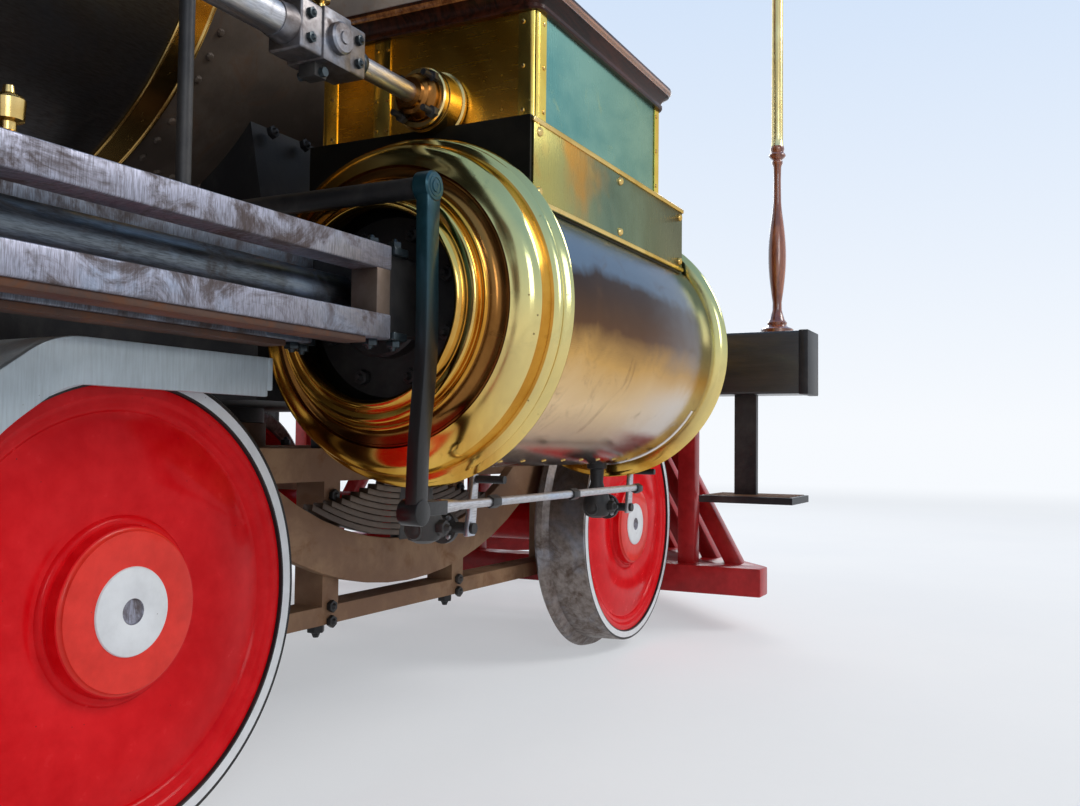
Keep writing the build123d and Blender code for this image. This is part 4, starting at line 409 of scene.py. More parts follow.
class Piece:                                             # one object: a mesh grown from bmesh operators
    def __init__(self, name, *finishNames):
        self.name, self.finishNames, self.bm = name, finishNames, bmesh.new()

    # adds a finished shape; mat may be read from where a face lies
    def keep(self, shape, mat):
        bmesh.ops.remove_doubles(shape, verts=shape.verts[:], dist=0.00002)
        bmesh.ops.recalc_face_normals(shape, faces=shape.faces[:])
        for face in shape.faces:
            face.material_index = mat(face.calc_center_median()) if callable(mat) else mat
        carrier = bpy.data.meshes.new("carrier")
        shape.to_mesh(carrier)
        shape.free()
        self.bm.from_mesh(carrier)
        bpy.data.meshes.remove(carrier)

    def lathe(self, points, centre, axis=(0, 1, 0), steps=96, mat=0, start=0.0, sweep=360.0, out=None):
        # points are (distance along the axis, radius); out is where radius is measured at the start
        bm, axis, centre = bmesh.new(), Vector(axis).normalized(), Vector(centre)
        out = Vector(out).normalized() if out else axis.orthogonal().normalized()
        out = Matrix.Rotation(radians(start), 3, axis) @ out
        verts = [bm.verts.new(centre + axis * a + out * r) for a, r in points]
        edges = [bm.edges.new(pair) for pair in zip(verts, verts[1:])]
        bmesh.ops.spin(bm, geom=verts + edges, cent=centre, axis=axis, dvec=(0, 0, 0), angle=radians(sweep),
                       steps=steps, use_merge=abs(sweep) > 359.9)
        self.keep(bm, mat)

    def block(self, low, high, bevel=0.002, segments=2, mat=0, turn=None):
        bm, low, high = bmesh.new(), Vector(low), Vector(high)
        centre, size = (low + high) / 2, high - low
        scaled = Matrix.Diagonal((*[abs(s) for s in size], 1))
        place = Matrix.Translation(centre) @ (turn or Matrix()) @ scaled
        bmesh.ops.create_cube(bm, size=1, matrix=place)
        if bevel:
            bmesh.ops.bevel(bm, geom=bm.edges[:], offset=bevel, affect="EDGES", segments=segments,
                            profile=0.5, material=-1)
        self.keep(bm, mat)

    def rod(self, start, end, r, r2=None, steps=24, mat=0, bevel=0.0):
        bm, start, end = bmesh.new(), Vector(start), Vector(end)
        bmesh.ops.create_cone(bm, cap_ends=True, segments=steps, radius1=r, radius2=r if r2 is None else r2,
                              depth=(end - start).length, matrix=turnTo(end - start, (start + end) / 2))
        if bevel:
            rims = [e for e in bm.edges if e.calc_face_angle(0) > 1.2]
            bmesh.ops.bevel(bm, geom=rims, offset=bevel, affect="EDGES", segments=2, profile=0.5, material=-1)
        self.keep(bm, mat)

    def nut(self, centre, axis, r, height, mat=0, steps=6, dome=True):
        axis, centre = Vector(axis).normalized(), Vector(centre)
        self.rod(centre, centre + axis * height, r, steps=steps, mat=mat, bevel=r * 0.12)
        if dome:
            self.rod(centre + axis * height, centre + axis * height * 1.5, r * 0.55, r * 0.3, 10, mat)

    def nuts(self, xs, ys, zs, *how):                    # a nut wherever three lists of places cross
        for spot in product(xs, ys, zs):
            self.nut(spot, *how)

    def stud(self, centre, axis, r, mat=0, steps=10):    # a round rivet head
        self.lathe([(-r * 0.1, r), (r * 0.25, r * 0.95), (r * 0.6, r * 0.62), (r * 0.72, 0)], centre,
                   axis, steps, mat)

    def ball(self, centre, r, squash=1.0, mat=0, detail=12):
        bm = bmesh.new()
        place = Matrix.Translation(Vector(centre)) @ Matrix.Diagonal((1, 1, squash, 1))
        bmesh.ops.create_uvsphere(bm, u_segments=detail * 2, v_segments=detail, radius=r, matrix=place)
        self.keep(bm, mat)

    def plate(self, outline, place, thick, bevel=0.001, mat=0):
        # outline in local X, Y of the place matrix, thickened along its Z
        bm = bmesh.new()
        face = bm.faces.new([bm.verts.new(place @ Vector((p[0], p[1], 0))) for p in outline])
        grown = bmesh.ops.extrude_face_region(bm, geom=[face])["geom"]
        moved = [v for v in grown if isinstance(v, bmesh.types.BMVert)]
        bmesh.ops.translate(bm, verts=moved, vec=(place.to_3x3() @ Vector((0, 0, thick))))
        if bevel:
            rims = [e for e in bm.edges if e.calc_face_angle(0) > 0.6]
            bmesh.ops.bevel(bm, geom=rims, offset=bevel, affect="EDGES", segments=2, profile=0.5, material=-1)
        self.keep(bm, mat)

    # joins rings of points one to the next; a bridge would twist nested ones
    def band(self, rings, mat=0, capped=True, closed=False):
        bm = bmesh.new()
        loops = [[bm.verts.new(p) for p in ring] for ring in rings]
        for one, two in zip(loops, loops[1:] + (loops[:1] if closed else [])):
            for corners in zip(one, one[1:] + one[:1], two[1:] + two[:1], two):
                bm.faces.new(corners)
        if capped and not closed:
            bm.faces.new(loops[0])
            bm.faces.new(loops[-1])
        self.keep(bm, mat)

    # a moulding round an opening; profile is (offset outwards, depth)
    def trim(self, shape, profile, place, mat=0):
        self.band([[place @ Vector((p[0], p[1], depth)) for p in shape(out)] for out, depth in profile],
                  mat, closed=True)

    def tube(self, route, r, steps=12, mat=0):           # a round pipe along a route
        route = [Vector(p) for p in route]
        rings, side = [], None
        for i, p in enumerate(route):
            ahead = (route[min(i + 1, len(route) - 1)] - route[max(i - 1, 0)]).normalized()
            side = (ahead.orthogonal() if side is None else side - ahead * side.dot(ahead)).normalized()
            up = ahead.cross(side)
            rings.append([p + side * a + up * b for a, b in around(steps, r)])
        self.band(rings, mat)

    def mouldedBox(self, profile, low, high, corner=0.01, mat=0, steps=3):
        # profile is (offset outwards, height): stacked rounded rectangles
        rings = []
        for out, z in profile:
            r = corner + max(out, 0)
            ring = []
            for cx, cy, a in ((high[0], high[1], 0), (low[0], high[1], 90), (low[0], low[1], 180),
                              (high[0], low[1], 270)):
                sx, sy = (-1 if cx == high[0] else 1), (-1 if cy == high[1] else 1)
                for k in range(steps + 1):
                    t = radians(a + 90 * k / steps)
                    ring.append((cx + sx * (corner + max(-out, 0)) + r * cos(t),
                                 cy + sy * (corner + max(-out, 0)) + r * sin(t), z))
            rings.append(ring)
        self.band(rings, mat)

    def mirror(self):                                    # adds the same on the engine's other side
        bm = self.bm
        both = bmesh.ops.duplicate(bm, geom=bm.verts[:] + bm.edges[:] + bm.faces[:])["geom"]
        bmesh.ops.scale(bm, vec=(1, -1, 1), verts=[v for v in both if isinstance(v, bmesh.types.BMVert)])
        bmesh.ops.reverse_faces(bm, faces=[g for g in both if isinstance(g, bmesh.types.BMFace)])

    # the finished object rides a body and may stand for nodes
    def done(self, body, replaces=()):
        mesh, limit = bpy.data.meshes.new(self.name), radians(32)
        for edge in self.bm.edges:
            edge.smooth = edge.calc_face_angle(0) < limit
        for face in self.bm.faces:
            face.smooth = True
        self.bm.to_mesh(mesh)
        self.bm.free()
        for name in self.finishNames:
            mesh.materials.append(finishes[name])
        obj = bpy.data.objects.new(self.name, mesh)
        bpy.context.collection.objects.link(obj)
        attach(obj, body)
        if replaces:
            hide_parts(*([replaces] if isinstance(replaces, str) else replaces))
        return obj


def onSide(y, x=0.0, z=0.0):                             # local X forward, Y up, thickness to the left
    return Matrix(((1, 0, 0, x), (0, 0, 1, y), (0, 1, 0, z), (0, 0, 0, 1)))


def onFront(x, y=0.0, z=0.0):                            # local X to the left, Y up, thickness forward
    return Matrix(((0, 0, 1, x), (1, 0, 0, y), (0, 1, 0, z), (0, 0, 0, 1)))


def along(origin, angle, side):                          # local X at an angle above level, thickness outwards
    c, s = cos(angle), sin(angle)
    return Matrix(((c, -s, 0, origin[0]), (0, 0, side, origin[1]), (s, c, 0, origin[2]), (0, 0, 0, 1)))


def arc(cx, cz, r, start, end, steps=8):                 # points on a circle, angles in degrees
    return [(cx + r * cos(radians(start + (end - start) * k / steps)),
             cz + r * sin(radians(start + (end - start) * k / steps))) for k in range(steps + 1)]


# an arched opening's outline about the middle of its sill
def archShape(width, height, rise):
    def shape(out=0.0):
        half, top, lift = width / 2 + out, height + out, rise + 0.0001
        r = (half * half + lift * lift) / (2 * lift)
        spread = degrees(asin(half / r))
        return [(-half, -out), (half, -out)] + arc(0, top - r, r, 90 - spread, 90 + spread, 10)
    return shape


# a plain rectangle's outline about the middle of its foot
def boxShape(width, height):
    def shape(out=0.0):
        half = width / 2 + out
        return [(-half, -out), (half, -out), (half, height + out), (-half, height + out)]
    return shape


# the height of a round drum's skin at one side distance
def drumTop(r, y, centre=None):
    return (boilerZ if centre is None else centre) + sqrt(r ** 2 - y ** 2)


def dress(node, name):                                   # a carried-over solid takes its finish
    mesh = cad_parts[node].data
    mesh.materials.clear()
    mesh.materials.append(finishes[name])


# where things stand, in metres
rail = 0.028                                             # the treads' level; flanges reach down to the ground
truckX = 1.95
mainX, rearX = truckX - 2.955, truckX - 5.395
axleZ, truckZ = rail + 0.724, rail + 0.33
cylY, cylZ = 0.943, rail + 0.781
boilerZ = rail + 1.63
wagonZ = boilerZ + 0.07
rodLength = 1.83
sides = (-1, 1)
cranks = (("right", -1, 165), ("left", 1, 255))          # side, sign of Y and crank angle
fore, aft, left, right, above, below = (1, 0, 0), (-1, 0, 0), (0, 1, 0), (0, -1, 0), (0, 0, 1), (0, 0, -1)


# finishes of the solids that stay as they are
carried = {
    "frameIron": ("main_frame", "ash_pan", "truck_frame"),
    "boilerSheet": ("boiler",),
    "smokeIron": ("smokebox",),
    "jacketSteel": ("cylinder_jackets",),
    "chestBlack": ("valve_chests",),
    "blackIron": ("running_boards", "cab_steps", "front_ironwork", "cylinder_saddle", "cylinders",
                  "guide_yoke"),
    "cabWood": ("cab_walls", "cab_door_right", "cab_door_left"),
    "roofCloth": ("cab_roof",),
    "deckWood": ("cab_floor",),
    "beamWood": ("drag_beam",),
    "windowGlass": ("cab_glass",)}
for name, nodes in carried.items():
    for node in nodes:
        dress(node, name)
print("solids dressed")


# the photograph's camera and a plain pale studio
def makeCamera():
    view = {"place": (0.087, -1.924, 0.586), "yaw": 27.08, "pitch": 2.33, "roll": 0.62, "lens": 33.82}
    camera = bpy.data.objects.new("camera", bpy.data.cameras.new("camera"))
    bpy.context.collection.objects.link(camera)
    yaw, pitch = radians(view["yaw"]), radians(view["pitch"])
    ahead = Vector((cos(pitch) * cos(yaw), cos(pitch) * sin(yaw), sin(pitch)))
    level = Vector((sin(yaw), -cos(yaw), 0))
    over = level.cross(ahead)
    tilt = radians(view["roll"])
    right, up = level * cos(tilt) + over * sin(tilt), over * cos(tilt) - level * sin(tilt)
    turn = Matrix((right, up, -ahead)).transposed().to_4x4()
    camera.matrix_world = Matrix.Translation(view["place"]) @ turn
    camera.data.lens, camera.data.sensor_width = view["lens"], 36
    camera.data.clip_start, camera.data.clip_end = 0.02, 200
    bpy.context.scene.camera = camera


def addLamp(name, place, target, size, power, colour):
    data = bpy.data.lights.new(name, "AREA")
    data.energy, data.color, data.shape = power, colour, "RECTANGLE"
    data.size, data.size_y = size
    lamp = bpy.data.objects.new(name, data)
    bpy.context.collection.objects.link(lamp)
    lamp.matrix_world = turnTo(Vector(place) - Vector(target), place)


def makeStudio():
    sky = {"top": (0.42, 0.62, 0.92), "low": (0.93, 0.96, 1.0), "fill": 0.42, "floor": 0.45}
    scene = bpy.context.scene
    scene.view_settings.view_transform = "Standard"
    scene.world = bpy.data.worlds.new("studio")
    f = Finish("studio", scene.world)                    # the sky is bright to look at and lights softly
    height = f.add("SeparateXYZ", None, {0: f.add("TexCoord", out="Generated")}, "Z")
    ramp = f.add("ValToRGB", {"stops": [(0.02, sky["low"]), (0.75, sky["top"])]}, {0: height})
    bright = f.add("Background", None, {0: ramp, 1: 1.0})
    soft = f.add("Background", None, {0: sky["low"], 1: sky["fill"]})
    f.add("OutputWorld", None, {0: f.add("MixShader", None, {0: f.seen(), 1: soft, 2: bright})})
    f = Finish("floorPale")                              # the floor is pale and holds the engine's shadow
    tone = f.blend(f.noise(0.8, 6, 0.6), (0.76, 0.8, 0.87), (0.9, 0.92, 0.95))
    body = f.add("BsdfPrincipled", None, {"Base Color": tone, "Roughness": 0.7,
                                          "Normal": f.bump(f.noise(9, 6), 0.004, 0.4)})
    away = f.span((f.axis("X") ** 2 + f.axis("Y") ** 2) ** 0.5, 5.0, 17.0, (sky["floor"], 1.0))
    glow = f.add("Emission", None, {"Color": sky["low"], "Strength": 1.0})
    f.add("OutputMaterial", None,
          {"Surface": f.add("MixShader", None, {0: away * f.seen(), 1: body, 2: glow})})
    bm = bmesh.new()
    bmesh.ops.create_circle(bm, cap_ends=True, segments=96, radius=40)
    mesh = bpy.data.meshes.new("floor")
    bm.to_mesh(mesh)
    bm.free()
    mesh.materials.append(f.material)
    obj = bpy.data.objects.new("floor", mesh)
    bpy.context.collection.objects.link(obj)
    addLamp("key", (5.5, -7.5, 6.5), (1.6, -0.6, 0.9), (3.5, 3.5), 380, (1.0, 0.97, 0.92))
    addLamp("wheelSide", (-3.5, -6.5, 3.2), (0.6, -0.8, 0.6), (3.0, 2.5), 110, (0.96, 0.98, 1.0))
    addLamp("back", (-4.0, 7.5, 6.0), (0, 0.5, 1.5), (5, 4), 260, (0.97, 0.98, 1.0))
    addLamp("front", (9.5, 2.0, 4.5), (3, 0, 1.5), (4, 3), 160, (1, 0.98, 0.95))


makeCamera()
makeStudio()
print("camera and studio set")


# Polished head casings: two beads, a broad swelling, a shadowed step and three rolls round the opening
def makeHeadCasings():
    casing = {"jacketEnd": 0.4003, "steps": 160, "open": 0.157}
    front = mm((0, 264), (1.5, 288))
    front += bulge((0.002, 0.289), (0.025, 0.288), 0.0115) + mm((27, 282.5), (30, 282.5))
    front += bulge((0.031, 0.2845), (0.05, 0.282), 0.0105) + mm((52, 277.5), (56, 277))
    front += bulge((0.057, 0.28), (0.103, 0.238), 0.014, 16) + mm((104.5, 233.5), (101, 230), (101.5, 227.5))
    front += bulge((0.103, 0.2265), (0.121, 0.205), -0.0065, 10)
    front += bulge((0.122, 0.2045), (0.126, 0.198), 0.0022, 5) + mm((125.5, 195.5), (127, 194.5))
    front += bulge((0.128, 0.194), (0.138, 0.18), 0.0062, 10) + mm((137.5, 177.5), (139, 176.5))
    front += bulge((0.139, 0.176), (0.142, 0.169), -0.001, 4)
    openEnd = front + bulge((0.143, 0.1685), (0.1435, casing["open"]), 0.0045, 8)
    openEnd += mm((138, 155.5), (120, 158), (75, 222), (20, 250), (0, 255), (0, 264))
    cover = front + bulge((0.1425, 0.168), (0.16, 0.06), 0.004, 10)
    cover += bulge((0.161, 0.058), (0.166, 0.04), 0.003, 4)
    cover += [(0.1661, 0)]
    piece = Piece("headCasings", "casingBrass", "casingShade", "casingOrange", "blackIron")
    for s in sides:
        for way, outline in ((-1, openEnd), (1, cover)):
            centre = (truckX + way * casing["jacketEnd"], s * cylY, cylZ)

            # painted shade: the step and the inside of the open casings take the darker brass
            def finishAt(spot):
                a, r = abs(spot.x - centre[0]), hypot(spot.y - centre[1], spot.z - centre[2])
                if 0.2045 < r < 0.2335 and a < 0.125 or a < 0.13 and r < 0.16 and way < 0:
                    return 1
                return 2 if 0.192 < r < 0.2045 or 0.276 < r < 0.283 or 0.1695 < r < 0.1785 else 0
            piece.lathe(outline, centre, (way, 0, 0), casing["steps"], finishAt)
    # packing ring, gland and its studs inside each open casing
    for s in sides:
        centre = Vector((truckX - 0.4, s * cylY, cylZ))
        piece.lathe(mm((0, 235), (85, 150), (92, 149), (92, 40), (0, 40)), centre, aft, 64, 3)
        piece.lathe(mm((90, 85), (118, 85), (122, 80), (122, 36)), centre, aft, 48, 3)
        for dy, dz in around(8, 0.125, 0.5):
            piece.nut(centre + Vector((-0.092, dy, dz)), aft, 0.013, 0.014, 3)
    piece.done("engine", "head_casings")


# Polished jackets with a lap seam low on the outer side and a bead at each end
def makeJackets():
    jacket = {"r": 0.268, "half": 0.3995, "seam": 252, "screws": 9}
    piece = Piece("jacketTrim", "jacketSteel", "fittingBrass")
    bead = bulge((0, 0.2675), (0.011, 0.2675), 0.0035, 6)
    for s in sides:
        for way in (-1, 1):
            centre = (truckX + way * (jacket["half"] - 0.02), s * cylY, cylZ)
            piece.lathe(bead, centre, (way, 0, 0), 96, 0, 118 if s > 0 else 122, 250, above)
        for k in range(jacket["screws"]):
            x = truckX + (jacket["half"] - 0.05) * (2 * k / (jacket["screws"] - 1) - 1)
            turn = radians(jacket["seam"])
            out = Vector((0, -s * cos(turn), sin(turn)))
            spot = Vector((x, s * cylY, cylZ)) + out * (jacket["r"] - 0.001)
            piece.rod(spot, spot + out * 0.003, 0.006, 0.004, 12, 1)
    piece.done("engine", ())


# Truck wheels: glossy dished discs, a raised hub with a white centre, white-lined tyres
def makeTruckWheels():
    wheel = {"axle": 0.062, "rim": 0.3037, "hub": 0.1115, "steps": 144}
    face = mm((826.5, 0), (826.5, 16), (828.5, 17.5), (829, 19), (829, 56), (828.3, 58.5), (826.2, 59.7))
    hub = mm((826.2, 59.7), (825.8, 62), (826.2, 64), (826.2, 104.5))
    hub += bulge((0.8258, 0.106), (0.82, 0.1125), 0.0016, 5)
    hub += [(0.808, 0.1145)] + bulge((0.806, 0.1155), (0.8, 0.127), -0.003, 5)
    dish = bulge((0.7995, 0.129), (0.7975, 0.262), -0.0095, 14)
    dish += bulge((0.798, 0.266), (0.8045, 0.2765), -0.0015, 5)
    dish += bulge((0.805, 0.278), (0.8085, 0.288), 0.0012, 4) + [(0.8095, 0.2905), (0.8095, wheel["rim"])]
    back = [(0.69, wheel["rim"])] + mm((690, 290), (752, 284), (752, 135), (745, 118), (668, 113), (655, 110))
    back += [(0.655, wheel["axle"]), (0, wheel["axle"])]
    tread = mm((675, 304.2), (675, 344), (687, 358), (701, 354), (709.5, 337), (712, 333),
               (812.5, 330.2), (815, 328.5))
    lines = (mm((815, 327.5), (815, 323.5)), mm((815, 323.5), (815.2, 307.5)),
             mm((815.2, 307.5), (815, 304.5), (809, 304.2)))
    for end, x, body in (("front", 2.849, "front_truck_axle"), ("rear", 1.051, "rear_truck_axle")):
        piece = Piece(end + "TruckWheels", "wheelRed", "lineWhite", "guideSteel", "frameIron", "hubRedHighlight")
        tyre = Piece(end + "TruckTyres", "tyreSteel", "lineWhite", "blackIron")
        for s in sides:
            centre, axis = (x, 0, truckZ), (0, s, 0)
            piece.lathe(face[:3], centre, axis, 64, 2)
            piece.lathe(face[2:], centre, axis, 96, 1)
            # the raised hub takes the lighter red, a painted highlight
            piece.lathe(hub + dish, centre, axis, wheel["steps"],
                        lambda p: 4 if hypot(p.x - centre[0], p.z - truckZ) < wheel["hub"] else 0)
            piece.lathe(dish[-1:] + back, centre, axis, wheel["steps"])
            for outline, mat in ((lines[2][-1:] + tread, 0), (tread[-1:] + lines[0], 2),
                                 (lines[1], 1), (lines[2], 2)):
                tyre.lathe(outline, centre, axis, wheel["steps"], mat)
        piece.done(body, end + "_truck_wheels")
        tyre.done(body, end + "_truck_tyres")


# Wheel guards: a flat lip outside each rear truck wheel, with its sheet folded inwards over the tread
def makeGuards():
    guard = {"out": 0.85, "lip": 0.012, "inner": 0.722, "wheel": 1.051, "tip": 1.275,
             "low": 0.654, "top": 0.714}
    x, out, tip, top = guard["wheel"], guard["out"], guard["tip"], guard["top"]

    def rim(r):                                          # over the wheel and smoothly into the flat
        curve = arc(x, truckZ, r, 176, 125, 17)
        level = truckZ + r - 0.019
        reach = (level - curve[-1][1]) / cos(radians(55)) * sin(radians(55))
        return curve[:-1] + soften([curve[-1], (curve[-1][0] + reach, level), (x - 0.06, level)], 0.2, 8)

    piece = Piece("wheelGuards", "guardBlue", "blackIron")
    outline = rim(0.375) + [(tip, top), (tip, guard["low"])] + rim(0.315)[::-1]
    piece.plate(outline, onSide(-out), guard["lip"], 0.0018)
    fold = rim(0.375) + [(tip, top), (tip, top - 0.006)] + rim(0.369)[::-1]
    piece.plate(fold, onSide(0.001 - out), out - guard["inner"] - 0.001, 0.0008)
    piece.block((tip, 0.001 - out, guard["low"] + 0.01), (tip + 0.012, -guard["inner"], top), 0.002)
    for y in (-0.755, -0.789, -0.823):
        piece.rod((tip + 0.011, y, 0.69), (tip + 0.0155, y, 0.69), 0.006, 0.004, 12)
    piece.block((1.21, -0.742, 0.69), (1.26, -0.58, 0.71), 0.002, mat=1)
    piece.block((1.21, -0.602, 0.5733), (1.26, -0.58, 0.706), 0.002, mat=1)
    piece.block((0.65, -0.748, 0.4277), (0.69, -0.56, 0.5077), 0.003, mat=1)
    piece.mirror()
    piece.done("truck", "wheel_guards")


# Guide bars: worn steel bars held apart by end blocks, with nuts, a strip below and oil cups above
def makeGuides():
    guide = {"front": 1.3231, "back": 0.3101, "wide": 0.05, "deep": 0.037, "gap": 0.033,
             "offset": 0.074, "end": 0.036}
    front, back, gap, end = guide["front"], guide["back"], guide["gap"], guide["end"]
    piece = Piece("guideBars", "guideSteel", "endBlock", "oilyIron", "fittingBrass",
                  "rustStrip", "innerSteelShaded")
    for offset in (-guide["offset"], guide["offset"]):
        y = -cylY - offset
        y0, y1 = y - guide["wide"] / 2, y + guide["wide"] / 2
        for level in (-1, 1):
            face = cylZ + level * (gap + guide["deep"])
            # the inner bars take the darker steel, painted shade between the bars
            piece.block((back, y0, cylZ + level * gap), (front, y1, face), 0.0028, 3, 0 if offset > 0 else 5)
            piece.nuts((front - end / 2, back + end / 2), (y,), (face,), (0, 0, level), 0.0125, 0.01, 2)
        for x in (front - end, back):
            piece.block((x + 0.0015, y0 + 0.001, cylZ - gap - 0.001),
                        (x + end - 0.0015, y1 - 0.001, cylZ + gap + 0.001), mat=1)
        piece.block((back + 0.12, y0 + 0.004, cylZ - 0.079),
                    (front - 0.055, y1 - 0.004, cylZ - 0.0695), mat=4)
        cup = mm((0, 10), (4, 11), (6, 8), (14, 8), (16, 15), (36, 16), (40, 13), (43, 6), (50, 5), (51, 0))
        for x in (0.4, 0.718):
            piece.lathe(cup, (x, y, cylZ + gap + guide["deep"]), above, 24, 3)
    # the front ends sit on a cast neck, with clamp blocks and nuts above and below
    for level, y in product((-1, 1), (-cylY - 0.088, -cylY + 0.088)):
        base, face = cylZ + level * 0.058, cylZ + level * 0.07
        piece.block((1.327, y - 0.014, base), (1.362, y + 0.014, face), mat=2)
        piece.nut((1.345, y, face), (0, 0, level), 0.011, 0.01, 2)
    piece.mirror()
    piece.done("engine", "guide_bars")


def makeYoke():
    piece = Piece("yokeBolts", "blackIron")
    piece.nuts((0.266,), (-1.017, -0.869), (cylZ - 0.052, cylZ + 0.052), aft, 0.014, 0.012)
    piece.nuts((0.266,), (-0.74, -0.56), (0.985, 1.03), aft, 0.014, 0.012)
    piece.mirror()
    piece.done("engine")


# Valve chests: an iron base with a blank brass plate, a brass casing with corner strips, a moulded lid
def makeChests():
    chest = {"back": 1.595, "front": 2.196, "out": 1.143, "ledge": 1.1383, "top": 1.328}
    base = Piece("chestPlates", "fittingBrass", "chestPlate")
    y = -chest["out"]
    base.block((1.576, y - 0.004, 0.998), (2.325, y, 1.13), 0.0015, mat=1)
    for low, high in ((1.1265, 1.1365), (0.99, 1.0)):
        base.block((1.572, y - 0.007, low), (2.329, y + 0.002, high), 0.003, 3)
    for x in (1.594, 1.95, 2.307):
        for z in (1.012, 1.114):
            base.lathe(mm((0, 8.5), (2, 8), (4.5, 5.5), (5.5, 0)), (x, y - 0.004, z), right, 16, 0)
    base.mirror()
    base.done("engine", ())

    casing = Piece("chestCasings", "chestBrass", "cornerBrass", "fittingBrass", "chestSideReflection")
    x0, x1, y0, y1 = chest["back"], chest["front"], -1.14, -0.679
    z0, z1 = chest["ledge"] + 0.0003, chest["top"] + 0.0003
    # the outer face takes the teal brass, a painted sky reflection
    casing.mouldedBox([(0, z0), (0, z1)], (x0 + 0.002, y0 + 0.002), (x1 - 0.002, y1 - 0.002), 0.014,
                      lambda p: 3 if p.y < y0 + 0.004 else 0, 6)
    for (cx, sx), (cy, sy) in product(((x0, 1), (x1, -1)), ((y0, 1), (y1, -1))):
        # rounded vertical strips lapped over the corners
        ring = mm((36, 1.5), (36, 0), (14, 0))
        ring += [(0.014 - 0.014 * sin(a), 0.014 - 0.014 * cos(a)) for a in map(radians, range(15, 90, 15))]
        ring += mm((0, 14), (0, 36), (1.5, 36), (3, 3))
        casing.band([[(cx + sx * px, cy + sy * py, z) for px, py in ring] for z in (z0, z1)], 1)
        for z in (z0 + 0.018, (z0 + z1) / 2, z1 - 0.018):
            for px, py, axis in ((cx + sx * 0.027, cy, (0, -sy, 0)), (cx, cy + sy * 0.027, (-sx, 0, 0))):
                casing.lathe(mm((0, 4.2), (1.5, 3.8), (2.8, 0)), (px, py, z), axis, 12, 2)
    middle = (y0 + y1) / 2 + 0.09
    casing.block((x0 - 0.0015, middle - 0.018, z0), (x0 + 0.004, middle + 0.018, z1), 0.0012, mat=1)
    for z in (z0 + 0.02, z0 + 0.075, z1 - 0.075, z1 - 0.02):
        for dy in (-0.012, 0.012):
            casing.lathe(mm((0, 3.8), (1.5, 3.4), (2.6, 0)), (x0 - 0.0015, middle + dy, z), aft, 12, 2)
    casing.mirror()
    casing.done("engine", "chest_casings")

    lid = Piece("chestLids", "corniceWood", "corniceEdgeHighlight", "paleFitting")
    z = chest["top"] + 0.0006
    cove = shifted(0, z, (0, 0), (10, 0), (12, 3), (12, 9), (8, 11), (9, 14), (13, 20), (21, 26), (27, 29),
                   (27, 32), (31, 34.5), (32, 38.5), (31, 44.5), (27, 48), (20, 49.7), (-20, 49.7))
    # the bead takes the lighter wood, a painted highlight
    for part, mat in ((cove[:9], 0), (cove[8:12], 1), (cove[11:], 0)):
        lid.mouldedBox(part, (x0 + 0.004, y0 + 0.004), (x1 - 0.004, y1 - 0.004), 0.012, mat, 6)
    lid.lathe(mm((0, 30), (6, 31), (10, 18), (28, 16), (32, 24), (46, 24), (50, 14), (52, 0)),
              (x1 - 0.14, y0 + 0.1, z + 0.0495), above, 32, 2)
    lid.mirror()
    lid.done("engine", "chest_lids")


